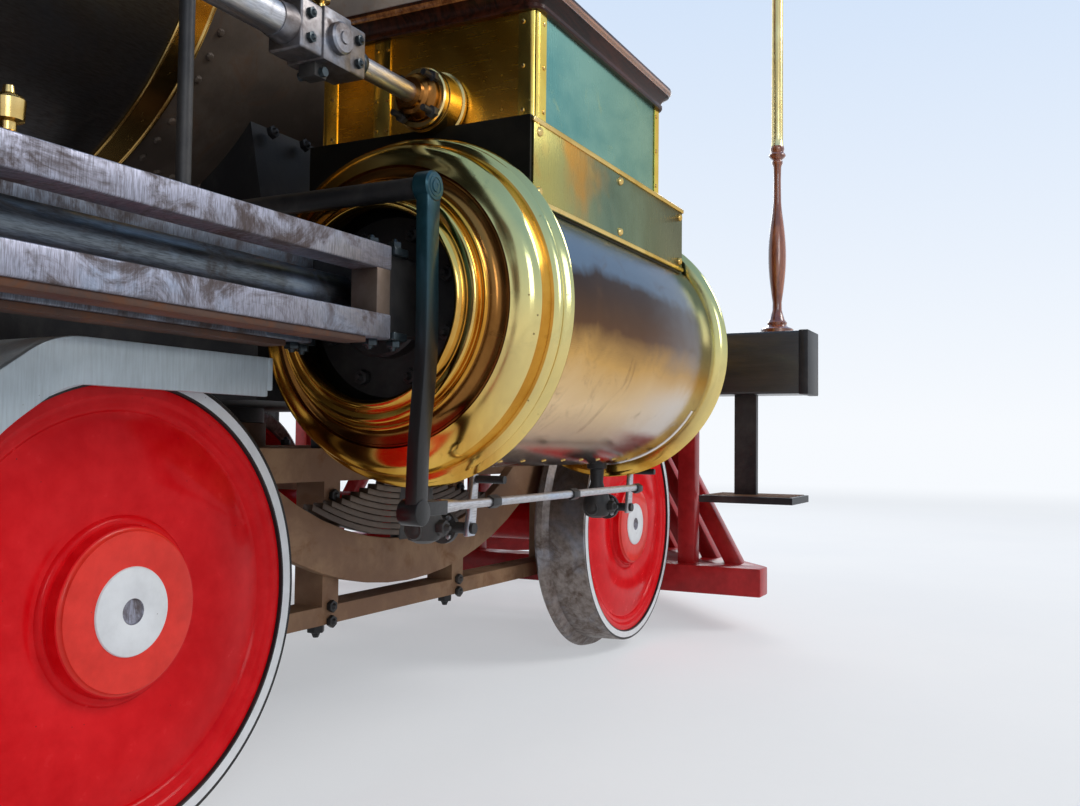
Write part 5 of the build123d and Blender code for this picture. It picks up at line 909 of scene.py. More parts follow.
# Valve rods with their blocks, glands and oil cups, and the rocker shafts behind
def makeValveGear():
    gear = {"y": 0.943, "z": 1.183, "block": 1.265, "casing": 1.595, "rockerZ": 1.013}
    y, z, bx, face, low = -gear["y"], gear["z"], gear["block"], gear["casing"], gear["rockerZ"]
    piece = Piece("valveGear", "oilyIron", "rodSteel", "fittingBrass", "blackIron",
                  "blockSteel", "glandBronze")
    piece.lathe(mm((0, 54), (10, 54), (12.5, 51.5), (12.5, 43)), (face - 0.05, y, z), aft, 48, 2)
    piece.lathe(mm((0, 60), (4, 62), (10, 62), (12, 58), (48, 56), (48, 40)), (face, y, z), aft, 48, 2)
    piece.lathe(mm((0, 41), (60, 41), (66, 36), (74, 34), (78, 28), (84, 26), (84, 15)),
                (face - 0.01, y, z), aft, 40, 5)
    for dy, dz in around(4, 0.043, 0.5):
        piece.rod((face - 0.062, y + dy, z + dz), (face - 0.096, y + dy, z + dz), 0.0055, steps=12, mat=3)
        piece.nut((face - 0.062, y + dy, z + dz), aft, 0.0115, 0.012, 3)
    piece.rod((face - 0.05, y, z), (bx + 0.07, y, z), 0.0165, steps=32, mat=1)
    piece.rod((bx + 0.085, y, z), (bx + 0.07, y, z), 0.023, steps=6, bevel=0.002)
    piece.rod((bx + 0.1, y, z), (bx + 0.085, y, z), 0.02, steps=28, bevel=0.002)
    piece.block((bx - 0.075, y - 0.031, z - 0.037), (bx + 0.075, y + 0.031, z + 0.037), 0.004, 3, 4)
    piece.block((bx - 0.03, y - 0.035, z - 0.04), (bx + 0.034, y + 0.035, z + 0.04), 0.003, 2, 4)
    piece.lathe(mm((0, 24), (10, 24), (13, 21), (13.5, 10), (16, 9), (16, 0)),
                (bx + 0.002, y - 0.034, z), right, 32, 4)
    piece.nuts((bx - 0.056, bx + 0.056), (y - 0.03,), (z + 0.018, z - 0.018), right, 0.0085, 0.007)
    cup = mm((0, 12), (4, 12), (6, 7), (20, 7), (24, 13), (50, 14), (54, 10), (62, 8), (64, 0))
    piece.lathe(cup, (bx + 0.004, y, z + 0.039), above, 28, 2)
    piece.block((bx - 0.026, y - 0.016, z - 0.06), (bx + 0.002, y + 0.016, z - 0.037), 0.003, 2, 3)
    piece.rod((bx - 0.012, y - 0.024, z - 0.052), (bx - 0.012, y + 0.024, z - 0.052), 0.007, steps=16)
    piece.rod((bx - 0.07, y, z), (bx - 0.1, y, z), 0.03, 0.026, steps=32, mat=4)
    piece.rod((bx - 0.095, y, z), (0.04, y, z), 0.0245, steps=32, mat=1)
    # rocker: upper arm outside, lower arm inside the frames
    piece.lathe(mm((0, 0), (0, 44), (3, 47), (57, 47), (60, 44), (60, 0)), (0, y - 0.03, z), left, 32, 4)
    piece.rod((0, y - 0.036, z), (0, y + 0.07, z), 0.019, steps=24, mat=1, bevel=0.002)
    piece.rod((0, -0.43, low), (0, y + 0.036, low), 0.036, steps=32)
    for arm, tip in ((-0.46, -1), (-0.907, 1)):
        place = onSide(arm, 0, low) @ Matrix.Diagonal((1, tip, 1, 1))
        piece.plate(mm((-36, 30), (-26, 140), (26, 140), (36, 30)), place, 0.028, 0.003)
        piece.lathe(mm((0, 0), (0, 59), (3, 62), (27, 62), (30, 59), (30, 0)), (0, arm, low), left, 32)
        piece.lathe(mm((0, 0), (0, 40), (3, 43), (27, 43), (30, 40), (30, 0)),
                    (0, arm, low + tip * 0.17), left, 32)
    piece.block((-0.085, -0.61, 0.9583), (0.085, -0.51, 1.063), 0.006, 2, 3)
    piece.nuts((-0.06, 0.06), (-0.56,), (1.063,), above, 0.014, 0.014, 3)
    piece.mirror()
    piece.done("engine", "valve_gear")


# Cylinder cock gear: cross shaft on brackets, bowed levers, clevises, links and the drain cocks
def makeCockGear():
    gear = {"x": 1.374, "z": 0.977, "lever": -1.084, "link": -1.066, "cocks": (1.58, 2.32)}
    cx, cz, lever, link = gear["x"], gear["z"], gear["lever"], gear["link"]
    piece = Piece("cockGear", "leverIron", "blackIron", "rodSteel", "fittingBrass")
    piece.block((cx - 0.035, -0.59, 0.9583), (cx + 0.035, -0.53, 0.9763), 0.003, mat=1)
    bow = mm((0, 0), (-1, -90), (2, -190), (0, -270), (-9, -340), (-17, -400), (-20, -495))
    width = (0.019, 0.016, 0.0165, 0.0175, 0.017, 0.0155, 0.016)
    edges = [soften([(x + way * w, z) for (x, z), w in zip(bow, width)], 0.05) for way in (-1, 1)]
    piece.plate(edges[0] + edges[1][::-1], onSide(-1.082, cx, cz), 0.022, 0.003)
    piece.lathe(mm((0, 0), (0, 21), (3, 24), (27, 24), (30, 21), (30, 0)), (cx, lever, cz), left, 32)
    pin = mm((0, 16.5), (1.2, 16), (1.5, 13), (0.5, 12.5), (0.5, 10), (2.2, 9.2), (2.4, 4),
             (1.6, 3.4), (1.6, 0))
    piece.lathe(pin, (cx, -1.0838, cz), right, 32)
    fx, fz = cx - 0.02, cz - 0.495
    piece.rod((fx, lever, fz), (fx, -1.048, fz), 0.02, steps=28, bevel=0.002)
    for y in (-1.076, -1.056):
        piece.block((fx - 0.012, y - 0.004, fz - 0.006), (fx + 0.075, y + 0.004, fz + 0.016), 0.002, mat=1)
    piece.rod((fx + 0.07, link, fz + 0.005), (fx + 0.12, link, fz + 0.005), 0.012, 0.009, 20, 2)
    piece.rod((fx + 0.1, link, fz + 0.005), (fx + 0.9, link, fz + 0.008), 0.0075, steps=20, mat=2)
    for x in (fx + 0.24, fx + 0.56, fx + 0.9):
        piece.rod((x - 0.014, link, fz + 0.006), (x + 0.014, link, fz + 0.006), 0.0115, steps=6,
                  mat=1, bevel=0.001)
    body = mm((0, 24), (12, 24), (15, 17), (45, 15), (60, 19), (72, 27), (90, 33), (110, 34), (124, 27),
              (130, 13), (131, 0))
    barrel = mm((-44, 0), (-44, 15), (-34, 20), (20, 20), (44, 20), (46, 30), (57, 30), (59, 26),
                (59, 12), (30, 11))
    arm = mm((-13, -14), (13, -14), (18, 30), (24, 94), (6, 98), (-4, 40))
    top = cylZ - 0.268
    low = top - 0.104
    for x in gear["cocks"]:
        piece.lathe(body, (x - 0.012, -cylY, top + 0.002), below, 32, 1)
        piece.lathe(barrel, (x, -cylY, low), fore, 32, 1)
        piece.nut((x - 0.012, -cylY - 0.03, top - 0.1), right, 0.014, 0.016, 1)
        piece.plate(arm, onSide(-cylY - 0.06, x + 0.05, low), 0.01, 0.002, 2)
        piece.rod((x + 0.05, -cylY - 0.066, low), (x + 0.05, -cylY - 0.024, low), 0.01, steps=16, mat=1)
        piece.rod((x + 0.065, -1.06, top - 0.018), (x + 0.065, -cylY - 0.048, top - 0.018), 0.007,
                  steps=16, mat=1)
        for dy, dz in around(4, 0.023, 0.5):
            piece.nut((x + 0.0455, dy - cylY, low + dz), aft, 0.005, 0.006, 2, dome=False)
    piece.mirror()
    piece.rod((cx, -1.058, cz), (cx, 1.058, cz), 0.017, steps=28, mat=1)
    piece.done("engine", "cock_gear")


# Flagstaffs: a turned and varnished lower part under a brass pole
def makeStaffs():
    staff = {"x": 3.3553, "y": 1.114, "foot": 0.9533}
    wood = mm((0, 0), (0, 52), (12, 52), (16, 47), (20, 36), (26, 30), (34, 32), (44, 24), (75, 15))
    wood += bulge((0.1, 0.0145), (0.4, 0.015), 0.0135, 18)
    wood += mm((430, 12.5), (500, 11.5), (545, 12.5), (556, 17), (562, 17.5), (568, 14.5))
    wood += bulge((0.572, 0.019), (0.592, 0.02), 0.0075, 6) + mm((598, 21), (604, 22.5), (612, 20.5))
    pole = mm((612, 20.5), (618, 18.5), (640, 17.8), (1395, 17.2), (1400, 22), (1406, 22), (1411, 17.5))
    pole += bulge((1.413, 0.014), (1.462, 0.012), 0.017, 8) + mm((1468, 8), (1479.5, 0))
    piece = Piece("flagstaffs", "staffWood", "poleBrass")
    for s in sides:
        piece.lathe(wood, (staff["x"], s * staff["y"], staff["foot"]), above, 48, 0)
        piece.lathe(pole, (staff["x"], s * staff["y"], staff["foot"]), above, 48, 1)
    piece.done("engine", "flagstaffs")


makeHeadCasings()
makeJackets()
makeTruckWheels()
makeGuards()
makeGuides()
makeYoke()
makeChests()
makeValveGear()
makeCockGear()
makeStaffs()
print("the photographed quarter is dressed")


def crankSpot(axleX, angle):                             # where a crank pin stands for an angle
    turn = radians(angle)
    return axleX + 0.305 * cos(turn), axleZ + 0.305 * sin(turn)


# Driving wheels: tapered spokes, crank bosses and balance weights, pins, eccentrics and lined tyres
def makeDrivers():
    driver = {"inner": 0.6637, "spokes": 15, "mid": 0.752, "pin": 0.048, "steps": 128}
    rim = [(0.695, driver["inner"]), (0.695, 0.619), (0.701, 0.612), (0.799, 0.612), (0.805, 0.619),
           (0.805, driver["inner"])]
    hub = mm((640, 84), (640, 134), (646, 140), (835, 140), (842, 133), (842, 96), (839, 92), (839, 84))
    tread = mm((815, 664), (675, 664), (675, 738), (687, 752), (701, 748), (708, 731), (712, 726.8),
               (812, 724.2), (815, 722.5))
    lines = mm((815, 722.5), (815, 717)), mm((815, 717), (815.3, 694)), mm((815.3, 694), (815, 664))
    sheave = mm((0, 60), (0, 161), (4, 165), (17, 165), (19, 157), (31, 157), (33, 165), (46, 165),
                (50, 161), (50, 60))
    for end, x, body, pinOut in (("main", mainX, "main_drivers", 0.911),
                                 ("rear", rearX, "rear_drivers", 0.914)):
        wheel = Piece(end + "DriverWheels", "wheelRed", "rodSteel", "blackIron", "lineWhite")
        tyre = Piece(end + "DriverTyres", "tyreSteel", "lineWhite", "blackIron")
        wheel.rod((x, -0.8425, axleZ), (x, 0.8425, axleZ), 0.085, steps=48, mat=1, bevel=0.004)
        for _, s, crank in cranks:
            centre, axis = Vector((x, 0, axleZ)), (0, s, 0)
            wheel.lathe(rim, centre, axis, driver["steps"])
            wheel.lathe(hub, centre, axis, 64)
            for a, b in around(driver["spokes"], 1):
                out, over = Vector((a, 0, b)), Vector((-b, 0, a))
                rings = []
                for r, w, d in ((0.12, 0.04, 0.034), (0.17, 0.036, 0.03), (0.24, 0.0335, 0.028),
                                (0.45, 0.027, 0.0255), (0.56, 0.025, 0.024), (0.592, 0.0275, 0.026),
                                (0.607, 0.035, 0.031), (0.618, 0.05, 0.04)):
                    mid = centre + out * r + Vector((0, s * driver["mid"], 0))
                    rings.append([mid + over * w * c + Vector((0, d * e, 0)) for c, e in around(12, 1)])
                wheel.band(rings)
            px, pz = crankSpot(x, crank)
            web = arc(0, 0, 0.14, 84, 276, 16) + arc(0.305, 0, 0.108, -84, 84, 14)
            wheel.plate(web, along((x, s * 0.717, axleZ), radians(crank), s), 0.125, 0.007)
            weight = soften(arc(0, 0, 0.618, 146, 214, 24) + arc(0, 0, 0.44, 214, 146, 16), 0.03, 2, True)
            wheel.plate(weight, along((x, s * 0.719, axleZ), radians(crank), s), 0.118, 0.006)
            for sx, sz in arc(x, axleZ, 0.53, crank + 152, crank + 208, 4):
                wheel.stud((sx, s * 0.837, sz), axis, 0.016, 2)
            wheel.rod((px, s * 0.64, pz), (px, s * pinOut, pz), driver["pin"], steps=40, mat=1)
            wheel.lathe(mm((842, 48), (842, 72), (846, 70), (850.5, 60), (850.5, 48)),
                        (px, 0, pz), axis, 40, 1)
            if end == "rear":
                wheel.lathe(mm((905, 48), (905, 64), (916, 64), (919, 60), (919, 30)),
                            (px, 0, pz), axis, 40, 1)
                wheel.lathe(mm((919, 31), (919.5, 32), (934, 31), (936, 26), (936, 0)),
                            (px, 0, pz), axis, 6, 2)
            for dx, dz in around(6, 0.112, 1 / 3):
                wheel.nut((x + dx, s * 0.842, axleZ + dz), axis, 0.012, 0.009, 2)
            for outline, mat in ((tread, 0), (lines[0], 2), (lines[1], 1), (lines[2], 2)):
                tyre.lathe(outline, centre, axis, driver["steps"], mat)
        if end == "main":
            for y, turn in ((0.23, 60), (0.15, 240), (-0.1, 330), (-0.18, 150)):
                lean = radians(turn)
                wheel.lathe(sheave, (x + 0.062 * cos(lean), y, axleZ + 0.062 * sin(lean)), right, 48, 2)
        wheel.done(body, end + "_driver_wheels")
        tyre.done(body, end + "_driver_tyres")


# Rods: fluted bars with strapped ends, keys, brasses, bolts and oil cups
def flutedBar(piece, place, x0, x1, h0, h1, half, flange=0.013):
    web, run, rings = 0.01, 0.05, []
    for x, w in ((x0, half), (x0 + run * 0.4, half), (x0 + run, web), (x1 - run, web),
                 (x1 - run * 0.4, half), (x1, half)):
        h = h0 + (h1 - h0) * (x - x0) / (x1 - x0)
        edge = [(half - 0.002, h), (half, h - 0.002), (half, h - flange), (w, h - flange - 0.005)]
        shape = [(a, -b) for a, b in edge] + edge[::-1]
        rings.append([place @ Vector((x, b, a)) for a, b in shape + [(-a, -b) for a, b in shape]])
    piece.band(rings)


def strapEnd(piece, place, length, height, half, key):
    def slab(x0, x1, y0, y1, deep, bevel, mat=0, corner=0.0):
        outline = [(x0, y0), (x1, y0), (x1, y1), (x0, y1)]
        piece.plate(soften(outline, corner, 3, True) if corner else outline,
                    place @ Matrix.Translation((0, 0, -deep)), 2 * deep, bevel, mat)

    reach, tall = length / 2, height / 2
    slab(-reach, reach, -tall, tall, half - 0.0015, 0.004, 0, 0.024)
    for level in (-1, 1):                                # strap edges stand proud above and below the brasses
        slab(0.012 - reach, reach - 0.012, level * tall, level * (tall - 0.02), half, 0.002)
    slab(-0.072, 0.072, 0.022 - tall, tall - 0.022, half, 0.002, 1)
    x = key * (reach - 0.028)
    wedge = [(x - 0.012, -tall - 0.012), (x + 0.009, -tall - 0.012), (x + 0.012, tall + 0.014),
             (x - 0.012, tall + 0.014)]
    piece.plate(wedge, place @ Matrix.Translation((0, 0, -0.007)), 0.014, 0.001, 2)
    up = place.to_3x3() @ Vector(left)
    for dx, level in product((0.022 - reach, reach - 0.022), (-1, 1)):
        piece.nut(place @ Vector((dx, level * (tall - 0.001), 0.004)), up * level, 0.012, 0.01, 2)
    cup = mm((0, 17), (6, 18), (9, 12), (14, 12), (18, 21), (40, 22), (45, 18), (50, 7), (56, 6), (57, 0))
    piece.lathe(cup, place @ Vector((0, tall - 0.001, 0)), up, 24, 1)


def makeSideRods():
    rod = {"middle": 0.877, "half": 0.025, "height": 0.142, "length": 0.23, "spread": 2.44}
    for name, s, crank in cranks:
        px, pz = crankSpot(mainX, crank)
        piece = Piece("sideRod" + name.title(), "rodSteel", "fittingBrass", "oilyIron")
        for x, key in ((px, -1), (px - rod["spread"], 1)):
            strapEnd(piece, along((x, s * rod["middle"], pz), 0, s), rod["length"], rod["height"],
                     rod["half"], key)
        place = along((px - rod["spread"], s * rod["middle"], pz), 0, s)
        flutedBar(piece, place, 0.112, rod["spread"] - 0.112, 0.039, 0.039, rod["half"] - 0.001)
        piece.done("side_rod_" + name, "side_rod_" + name)


def makeMainRods():
    rod = {"middle": 0.943, "half": 0.025}
    for name, s, crank in cranks:
        px, pz = crankSpot(mainX, crank)
        slope = atan2(cylZ - pz, wristX(crank) - px)
        place = along((px, s * rod["middle"], pz), slope, s)
        piece = Piece("mainRod" + name.title(), "rodSteel", "fittingBrass", "oilyIron")
        strapEnd(piece, place, 0.25, 0.168, rod["half"], 1)
        flutedBar(piece, place, 0.115, 1.775, 0.0515, 0.038, rod["half"] - 0.001, 0.014)
        eye = arc(rodLength, 0, 0.0565, -128, 128, 24) + [(rodLength - 0.1, 0.04), (rodLength - 0.1, -0.04)]
        piece.plate(eye, place @ Matrix.Translation((0, 0, 0.001 - rod["half"])),
                    2 * rod["half"] - 0.002, 0.003)
        outwards, pin = (0, s, 0), (px, s * rod["middle"], pz)
        piece.lathe(mm((-25.5, 30.2), (-25.5, 43), (25.5, 43), (25.5, 30.2)),
                    place @ Vector((rodLength, 0, 0)), outwards, 40, 1)
        piece.lathe(mm((24.5, 62), (38, 62), (41, 58), (41, 0), (24.5, 0)), pin, outwards, 48)
        piece.lathe(mm((41, 30), (41, 31)), pin, outwards, 6, 2)
        piece.done("main_rod_" + name, "main_rod_" + name)


# where the main rod's front end stands for a crank angle
def wristX(crank):
    px, pz = crankSpot(mainX, crank)
    return px + sqrt(rodLength ** 2 - (pz - cylZ) ** 2)


# Crossheads: brass-lined slippers joined ahead of the pin, with the piston rod
def makeCrossheads():
    head = {"half": 0.15, "offset": 0.074, "reach": 0.88, "rod": 0.032}
    half = head["half"]
    for name, s, crank in cranks:
        x, middle = wristX(crank), s * cylY
        piece = Piece("crosshead" + name.title(), "rodSteel", "fittingBrass", "oilyIron",
                      "blockSteel", "pistonSteelShaded")
        for way in (-s, s):
            y, outwards = middle + way * head["offset"], (0, way, 0)
            piece.block((x - half, y - 0.022, cylZ - 0.026), (x + half, y + 0.022, cylZ + 0.026), 0.003, 2, 3)
            for level in (-1, 1):
                piece.block((x - half + 0.004, y - 0.023, cylZ + level * 0.026),
                            (x + half - 0.004, y + 0.023, cylZ + level * 0.032), 0.0015, mat=1)
            face = y + way * 0.022
            piece.nuts((x - 0.12, x - 0.07, x + 0.07, x + 0.12), (face,), (cylZ,), outwards, 0.011, 0.008, 2)
            piece.lathe(mm((0, 40), (3, 40), (6, 36), (6, 18), (10, 17), (12, 0)),
                        (x, face, cylZ), outwards, 32)
        piece.block((x + half - 0.08, middle - 0.074, cylZ - 0.0315),
                    (x + half, middle + 0.074, cylZ + 0.0315), 0.004, 2, 3)
        piece.rod((x, middle - s * 0.074, cylZ), (x, middle + s * 0.074, cylZ), 0.0298, steps=32)
        piece.lathe(mm((0, 46), (100, 46), (112, 43), (115, 34), (115, 31)),
                    (x + half - 0.08, middle, cylZ), fore, 40, 3)
        # the piston rod is dark with painted shade
        piece.rod((x + half - 0.01, middle, cylZ), (x + half + head["reach"], middle, cylZ), head["rod"],
                  steps=40, mat=4)
        piece.plate(mm((-7, -56), (7, -56), (10, 58), (-10, 58)),
                    onSide(middle - 0.006, x + half - 0.012, cylZ), 0.012, 0.001, 2)
        piece.done("crosshead_" + name, "crosshead_" + name)


# Leading truck: straps across the axle boxes, and nuts on the bar frame
def makeTruckDetails():
    truck = {"base": 1.798, "top": 0.573, "hang": 0.391}
    piece = Piece("truckFittings", "frameIron", "blackIron")
    for way in sides:
        x = truckX + way * truck["base"] / 2
        for low, high in ((0.262, 0.306), (0.41, 0.452)):
            piece.block((x - 0.088, -0.64, low), (x + 0.088, -0.6295, high), 0.004)
        ends = (x - 0.124, x + 0.124)
        piece.nuts(ends, (-0.63,), (0.25, 0.213), right, 0.014, 0.011, 1)
        piece.nuts(ends, (-0.595,), (0.216,), below, 0.018, 0.02, 1)
        piece.nuts(ends, (-0.595,), (truck["top"],), above, 0.018, 0.02, 1)
        tip = x + way * (truck["hang"] - 0.02)
        piece.nuts((tip,), (-0.63,), (0.525, 0.556), right, 0.0125, 0.01, 1)
    ends = (truckX - 0.24, truckX + 0.24)
    piece.nuts(ends, (-0.63,), (0.23, 0.26, 0.45, 0.48), right, 0.0125, 0.01, 1)
    piece.nuts(ends, (-0.595,), (truck["top"],), above, 0.018, 0.02, 1)
    piece.nuts(ends, (-0.595,), (0.225,), below, 0.018, 0.02, 1)
    piece.mirror()
    piece.done("truck")


# Truck springs: a curved equalizer bar carrying a stack of leaves and their buckle
def makeTruckSprings():
    spring = {"y": 0.6303, "thick": 0.024, "reach": 0.879, "bend": 0.52, "leaves": 9, "underR": 0.99,
              "overR": 0.835, "under": 0.286, "over": 0.38}

    def bowed(r, base, half):                            # one edge of a leaf, bowed upwards at its ends
        return [(x, base + r - sqrt(r * r - x * x)) for x in [half * (k / 7 - 1) for k in range(15)]]

    piece = Piece("truckSprings", "frameIron", "blackIron", "springIron")
    place = onSide(-spring["y"] - spring["thick"], truckX)
    low = bowed(spring["underR"], spring["under"], spring["bend"])
    high = bowed(spring["overR"], spring["over"], spring["bend"])
    ends = [(spring["reach"], 0.49), (spring["reach"], 0.573)]
    bar = low + ends + high[::-1] + [(-x, z) for x, z in ends[::-1]]
    piece.plate(bar, place, spring["thick"], 0.003)
    for k in range(spring["leaves"]):
        base, r = spring["over"] + 0.0065 + 0.013 * k, spring["overR"] - 0.007 - 0.013 * k
        half, step = 0.33 - 0.029 * k, 0.0015 * (k % 2)
        lower, upper = bowed(r, base, half), bowed(r - 0.012, base + 0.0118, half - 0.003)
        place = onSide(-spring["y"] - spring["thick"] - step, truckX)
        piece.plate(lower + upper[::-1], place, spring["thick"] + step, 0.0014, 2)
    piece.block((truckX - 0.042, -spring["y"] - spring["thick"] - 0.002, 0.376),
                (truckX + 0.042, -spring["y"], 0.507), 0.004, mat=1)
    for x in (-0.85, 0.85):
        piece.nut((truckX + x, -spring["y"] - spring["thick"], 0.532), right, 0.017, 0.01, 1)
    piece.mirror()
    piece.done("truck", "truck_springs")


# Boiler bands: wide brass hoops with two raised edges, closed below by a clasp and bolt
def makeBands():
    band = {"width": 0.064, "places": (1.384, 0.682, -0.2, -0.7), "r": 0.65}
    half, r = band["width"] / 2, band["r"]
    outline = [(-half, r + 0.0003), (-half, r + 0.004)]
    outline += bulge((-half, r + 0.004), (-half + 0.008, r + 0.0026), 0.0022, 5)
    outline += bulge((half - 0.008, r + 0.0026), (half, r + 0.004), 0.0022, 5) + [(half, r + 0.0003)]
    piece = Piece("boilerBands", "bandBrass", "blackIron")
    for x in band["places"]:
        piece.lathe(outline, (x, 0, boilerZ), fore, 160)
        for y in (-0.032, 0.02):
            piece.block((x - half + 0.006, y, boilerZ - r - 0.014),
                        (x + half - 0.006, y + 0.012, boilerZ - r - 0.002), 0.002, mat=0)
        piece.rod((x, -0.046, boilerZ - r - 0.009), (x, 0.046, boilerZ - r - 0.009), 0.004, steps=12, mat=1)
    piece.done("engine", "boiler_bands")


# Smokebox: rivet rows round both ends and along the saddle, two lugs, bolts and the door's rim in front
def makeSmokebox():
    box = {"r": 0.64, "front": 2.43, "back": 1.42, "rivets": 84}
    front = box["front"]
    piece = Piece("smokeboxTrim", "smokeIron", "blackIron", "fittingBrass")
    for x, (a, b) in product((box["back"] + 0.035, front - 0.035), around(box["rivets"], 1)):
        if abs(b) < 0.99:
            piece.stud((x, a * box["r"], boilerZ + b * box["r"]), (0, a, b), 0.0085, 0, 8)
    for s in sides:
        a, b = s * cos(radians(-58)), sin(radians(-58))
        for k in range(22):
            piece.stud((box["back"] + 0.09 + k * 0.0385, a * box["r"], boilerZ + b * box["r"]),
                       (0, a, b), 0.0085, 0, 8)
        piece.block((front + 0.0003, s * 0.26 - 0.02, boilerZ - 0.545),
                    (front + 0.018, s * 0.26 + 0.02, boilerZ - 0.5), 0.003, mat=1)
    for dy, dz in around(24, 0.62, 0.5):
        piece.nut((front + 0.016, dy, boilerZ + dz), fore, 0.011, 0.01, 1)
    for dy, dz in around(30, 0.545, 0.5):
        if abs(dy) < 0.97 * 0.545 or dz < 0:
            piece.stud((front, dy, boilerZ + dz), fore, 0.009, 0, 8)
    piece.lathe(mm((0, 456), (0, 475), (6, 474), (9, 468), (9, 456)),
                (front + 0.0003, 0, boilerZ), fore, 96, 1)
    piece.done("engine", ())


def makeSmokeboxDoor():
    door = {"x": 2.4303, "hingeY": 0.5}
    x, hinge = door["x"], door["hingeY"]
    piece = Piece("smokeboxDoor", "smokeIron", "blackIron", "rodSteel", "fittingBrass")
    face = mm((2, 0), (0, 449), (3, 455), (13, 455), (17, 451), (21, 436), (25.5, 430))
    face += bulge((0.027, 0.424), (0.061, 0.1), 0.016, 18) + mm((62, 60), (62, 0))
    piece.lathe(face, (x, 0, boilerZ), fore, 128)
    for dy, dz in around(32, 0.441, 0.5):
        piece.stud((x + 0.019, dy, boilerZ + dz), fore, 0.0075, 0, 8)
    strap = mm((-130, -12), (-115, -20), (450, -22.5), (500, -22.5), (500, 22.5), (450, 22.5),
               (-115, 20), (-130, 12))
    barrel = mm((-34, 0), (-34, 20), (-30, 24), (30, 24), (34, 20), (34, 0))
    for z in (boilerZ - 0.17, boilerZ + 0.17):
        piece.plate(strap, onFront(x + 0.04, 0, z), 0.018, 0.003, 1)
        piece.nuts((x + 0.058,), (-0.09, 0.05, 0.19, 0.33), (z,), fore, 0.011, 0.009, 1)
        piece.lathe(barrel, (x + 0.03, hinge, z), above, 24, 1)
    piece.rod((x + 0.03, hinge, boilerZ - 0.229), (x + 0.03, hinge, boilerZ + 0.229), 0.017, steps=24,
              mat=1, bevel=0.002)
    piece.lathe(mm((56, 52), (64, 52), (68, 46), (70, 34), (76, 30), (90, 28), (95, 22), (95.5, 0)),
                (x, 0, boilerZ), fore, 40, 2)
    handle = ((0.086, 0, 0), (0.086, -0.03, -0.06), (0.088, -0.055, -0.12), (0.088, -0.07, -0.17))
    piece.tube([(x + dx, y, boilerZ + dz) for dx, y, dz in handle], 0.009, 12, 2)
    piece.ball((x + 0.0835, -0.072, boilerZ - 0.178), 0.012, 1, 2, 8)
    piece.done("smokebox_door", "smokebox_door")


# Stack: bolted base, plain barrel with two bands and a flared cap with a polished lip
def makeStack():
    stack = {"base": boilerZ + 0.64, "foot": 0.6405, "steps": 72}
    z0, foot, steps = stack["base"], stack["foot"], stack["steps"]
    spot = (truckX, 0, z0)
    piece = Piece("stack", "smokeIron", "blackIron", "capBrass")
    saddle = []
    for r, lift in ((0.302, 0), (0.33, 0.0008), (0.33, 0.018), (0.318, 0.026)):
        saddle.append([(truckX + dx, dy, drumTop(foot, dy) + lift) for dx, dy in around(steps, r)])
    for r, z in mm((300, 40), (281, 62), (262, 90), (246, 125), (236, 160), (229, 195)):
        f = min(1, (z - 0.03) / 0.16)                    # from the saddle's curve to a level ring
        ring = [(dx, dy, f * z0 + (1 - f) * drumTop(foot, dy)) for dx, dy in around(steps, r)]
        saddle.append([(truckX + dx, dy, z + level) for dx, dy, level in ring])
    piece.band(saddle, 1, capped=False)
    for a, b in around(12, 1, 0.5):
        piece.nut((truckX + 0.312 * a, 0.312 * b, drumTop(foot, 0.312 * b) + 0.022), (0, 0.3 * b, 1),
                  0.014, 0.014, 1)
    barrel = [(0.19, 0.23)] + bulge((0.196, 0.229), (0.228, 0.219), 0.006, 6)
    barrel += mm((240, 214), (540, 214), (542, 217), (578, 217), (580, 214), (1060, 214), (1062, 217),
                 (1098, 217), (1100, 214), (1555, 214))
    collar = [(1.55, 0.215)] + bulge((1.552, 0.217), (1.59, 0.224), 0.008, 7)
    flare = collar[-1:] + mm((1594, 227), (1612, 237), (1650, 257), (1700, 284), (1745, 311),
                             (1778, 333), (1792, 342))
    lip = mm((1792, 342), (1798, 347)) + bulge((1.8, 0.35), (1.848, 0.348), 0.01, 9)
    lip += mm((1850, 340), (1850, 302))
    inside = mm((1850, 302), (1820, 283), (1790, 262), (1700, 200), (1600, 176), (-50, 176))
    for outline, mat in ((barrel, 0), (collar, 2), (flare, 0), (lip, 2), (inside, 1)):
        piece.lathe(outline, spot, above, 96, mat)
    for k in range(24):                                  # the barrel's riveted seam
        piece.stud((truckX - 0.2135, 0, z0 + 0.26 + k * 0.053), aft, 0.006, 0, 8)
    piece.done("engine", "stack")


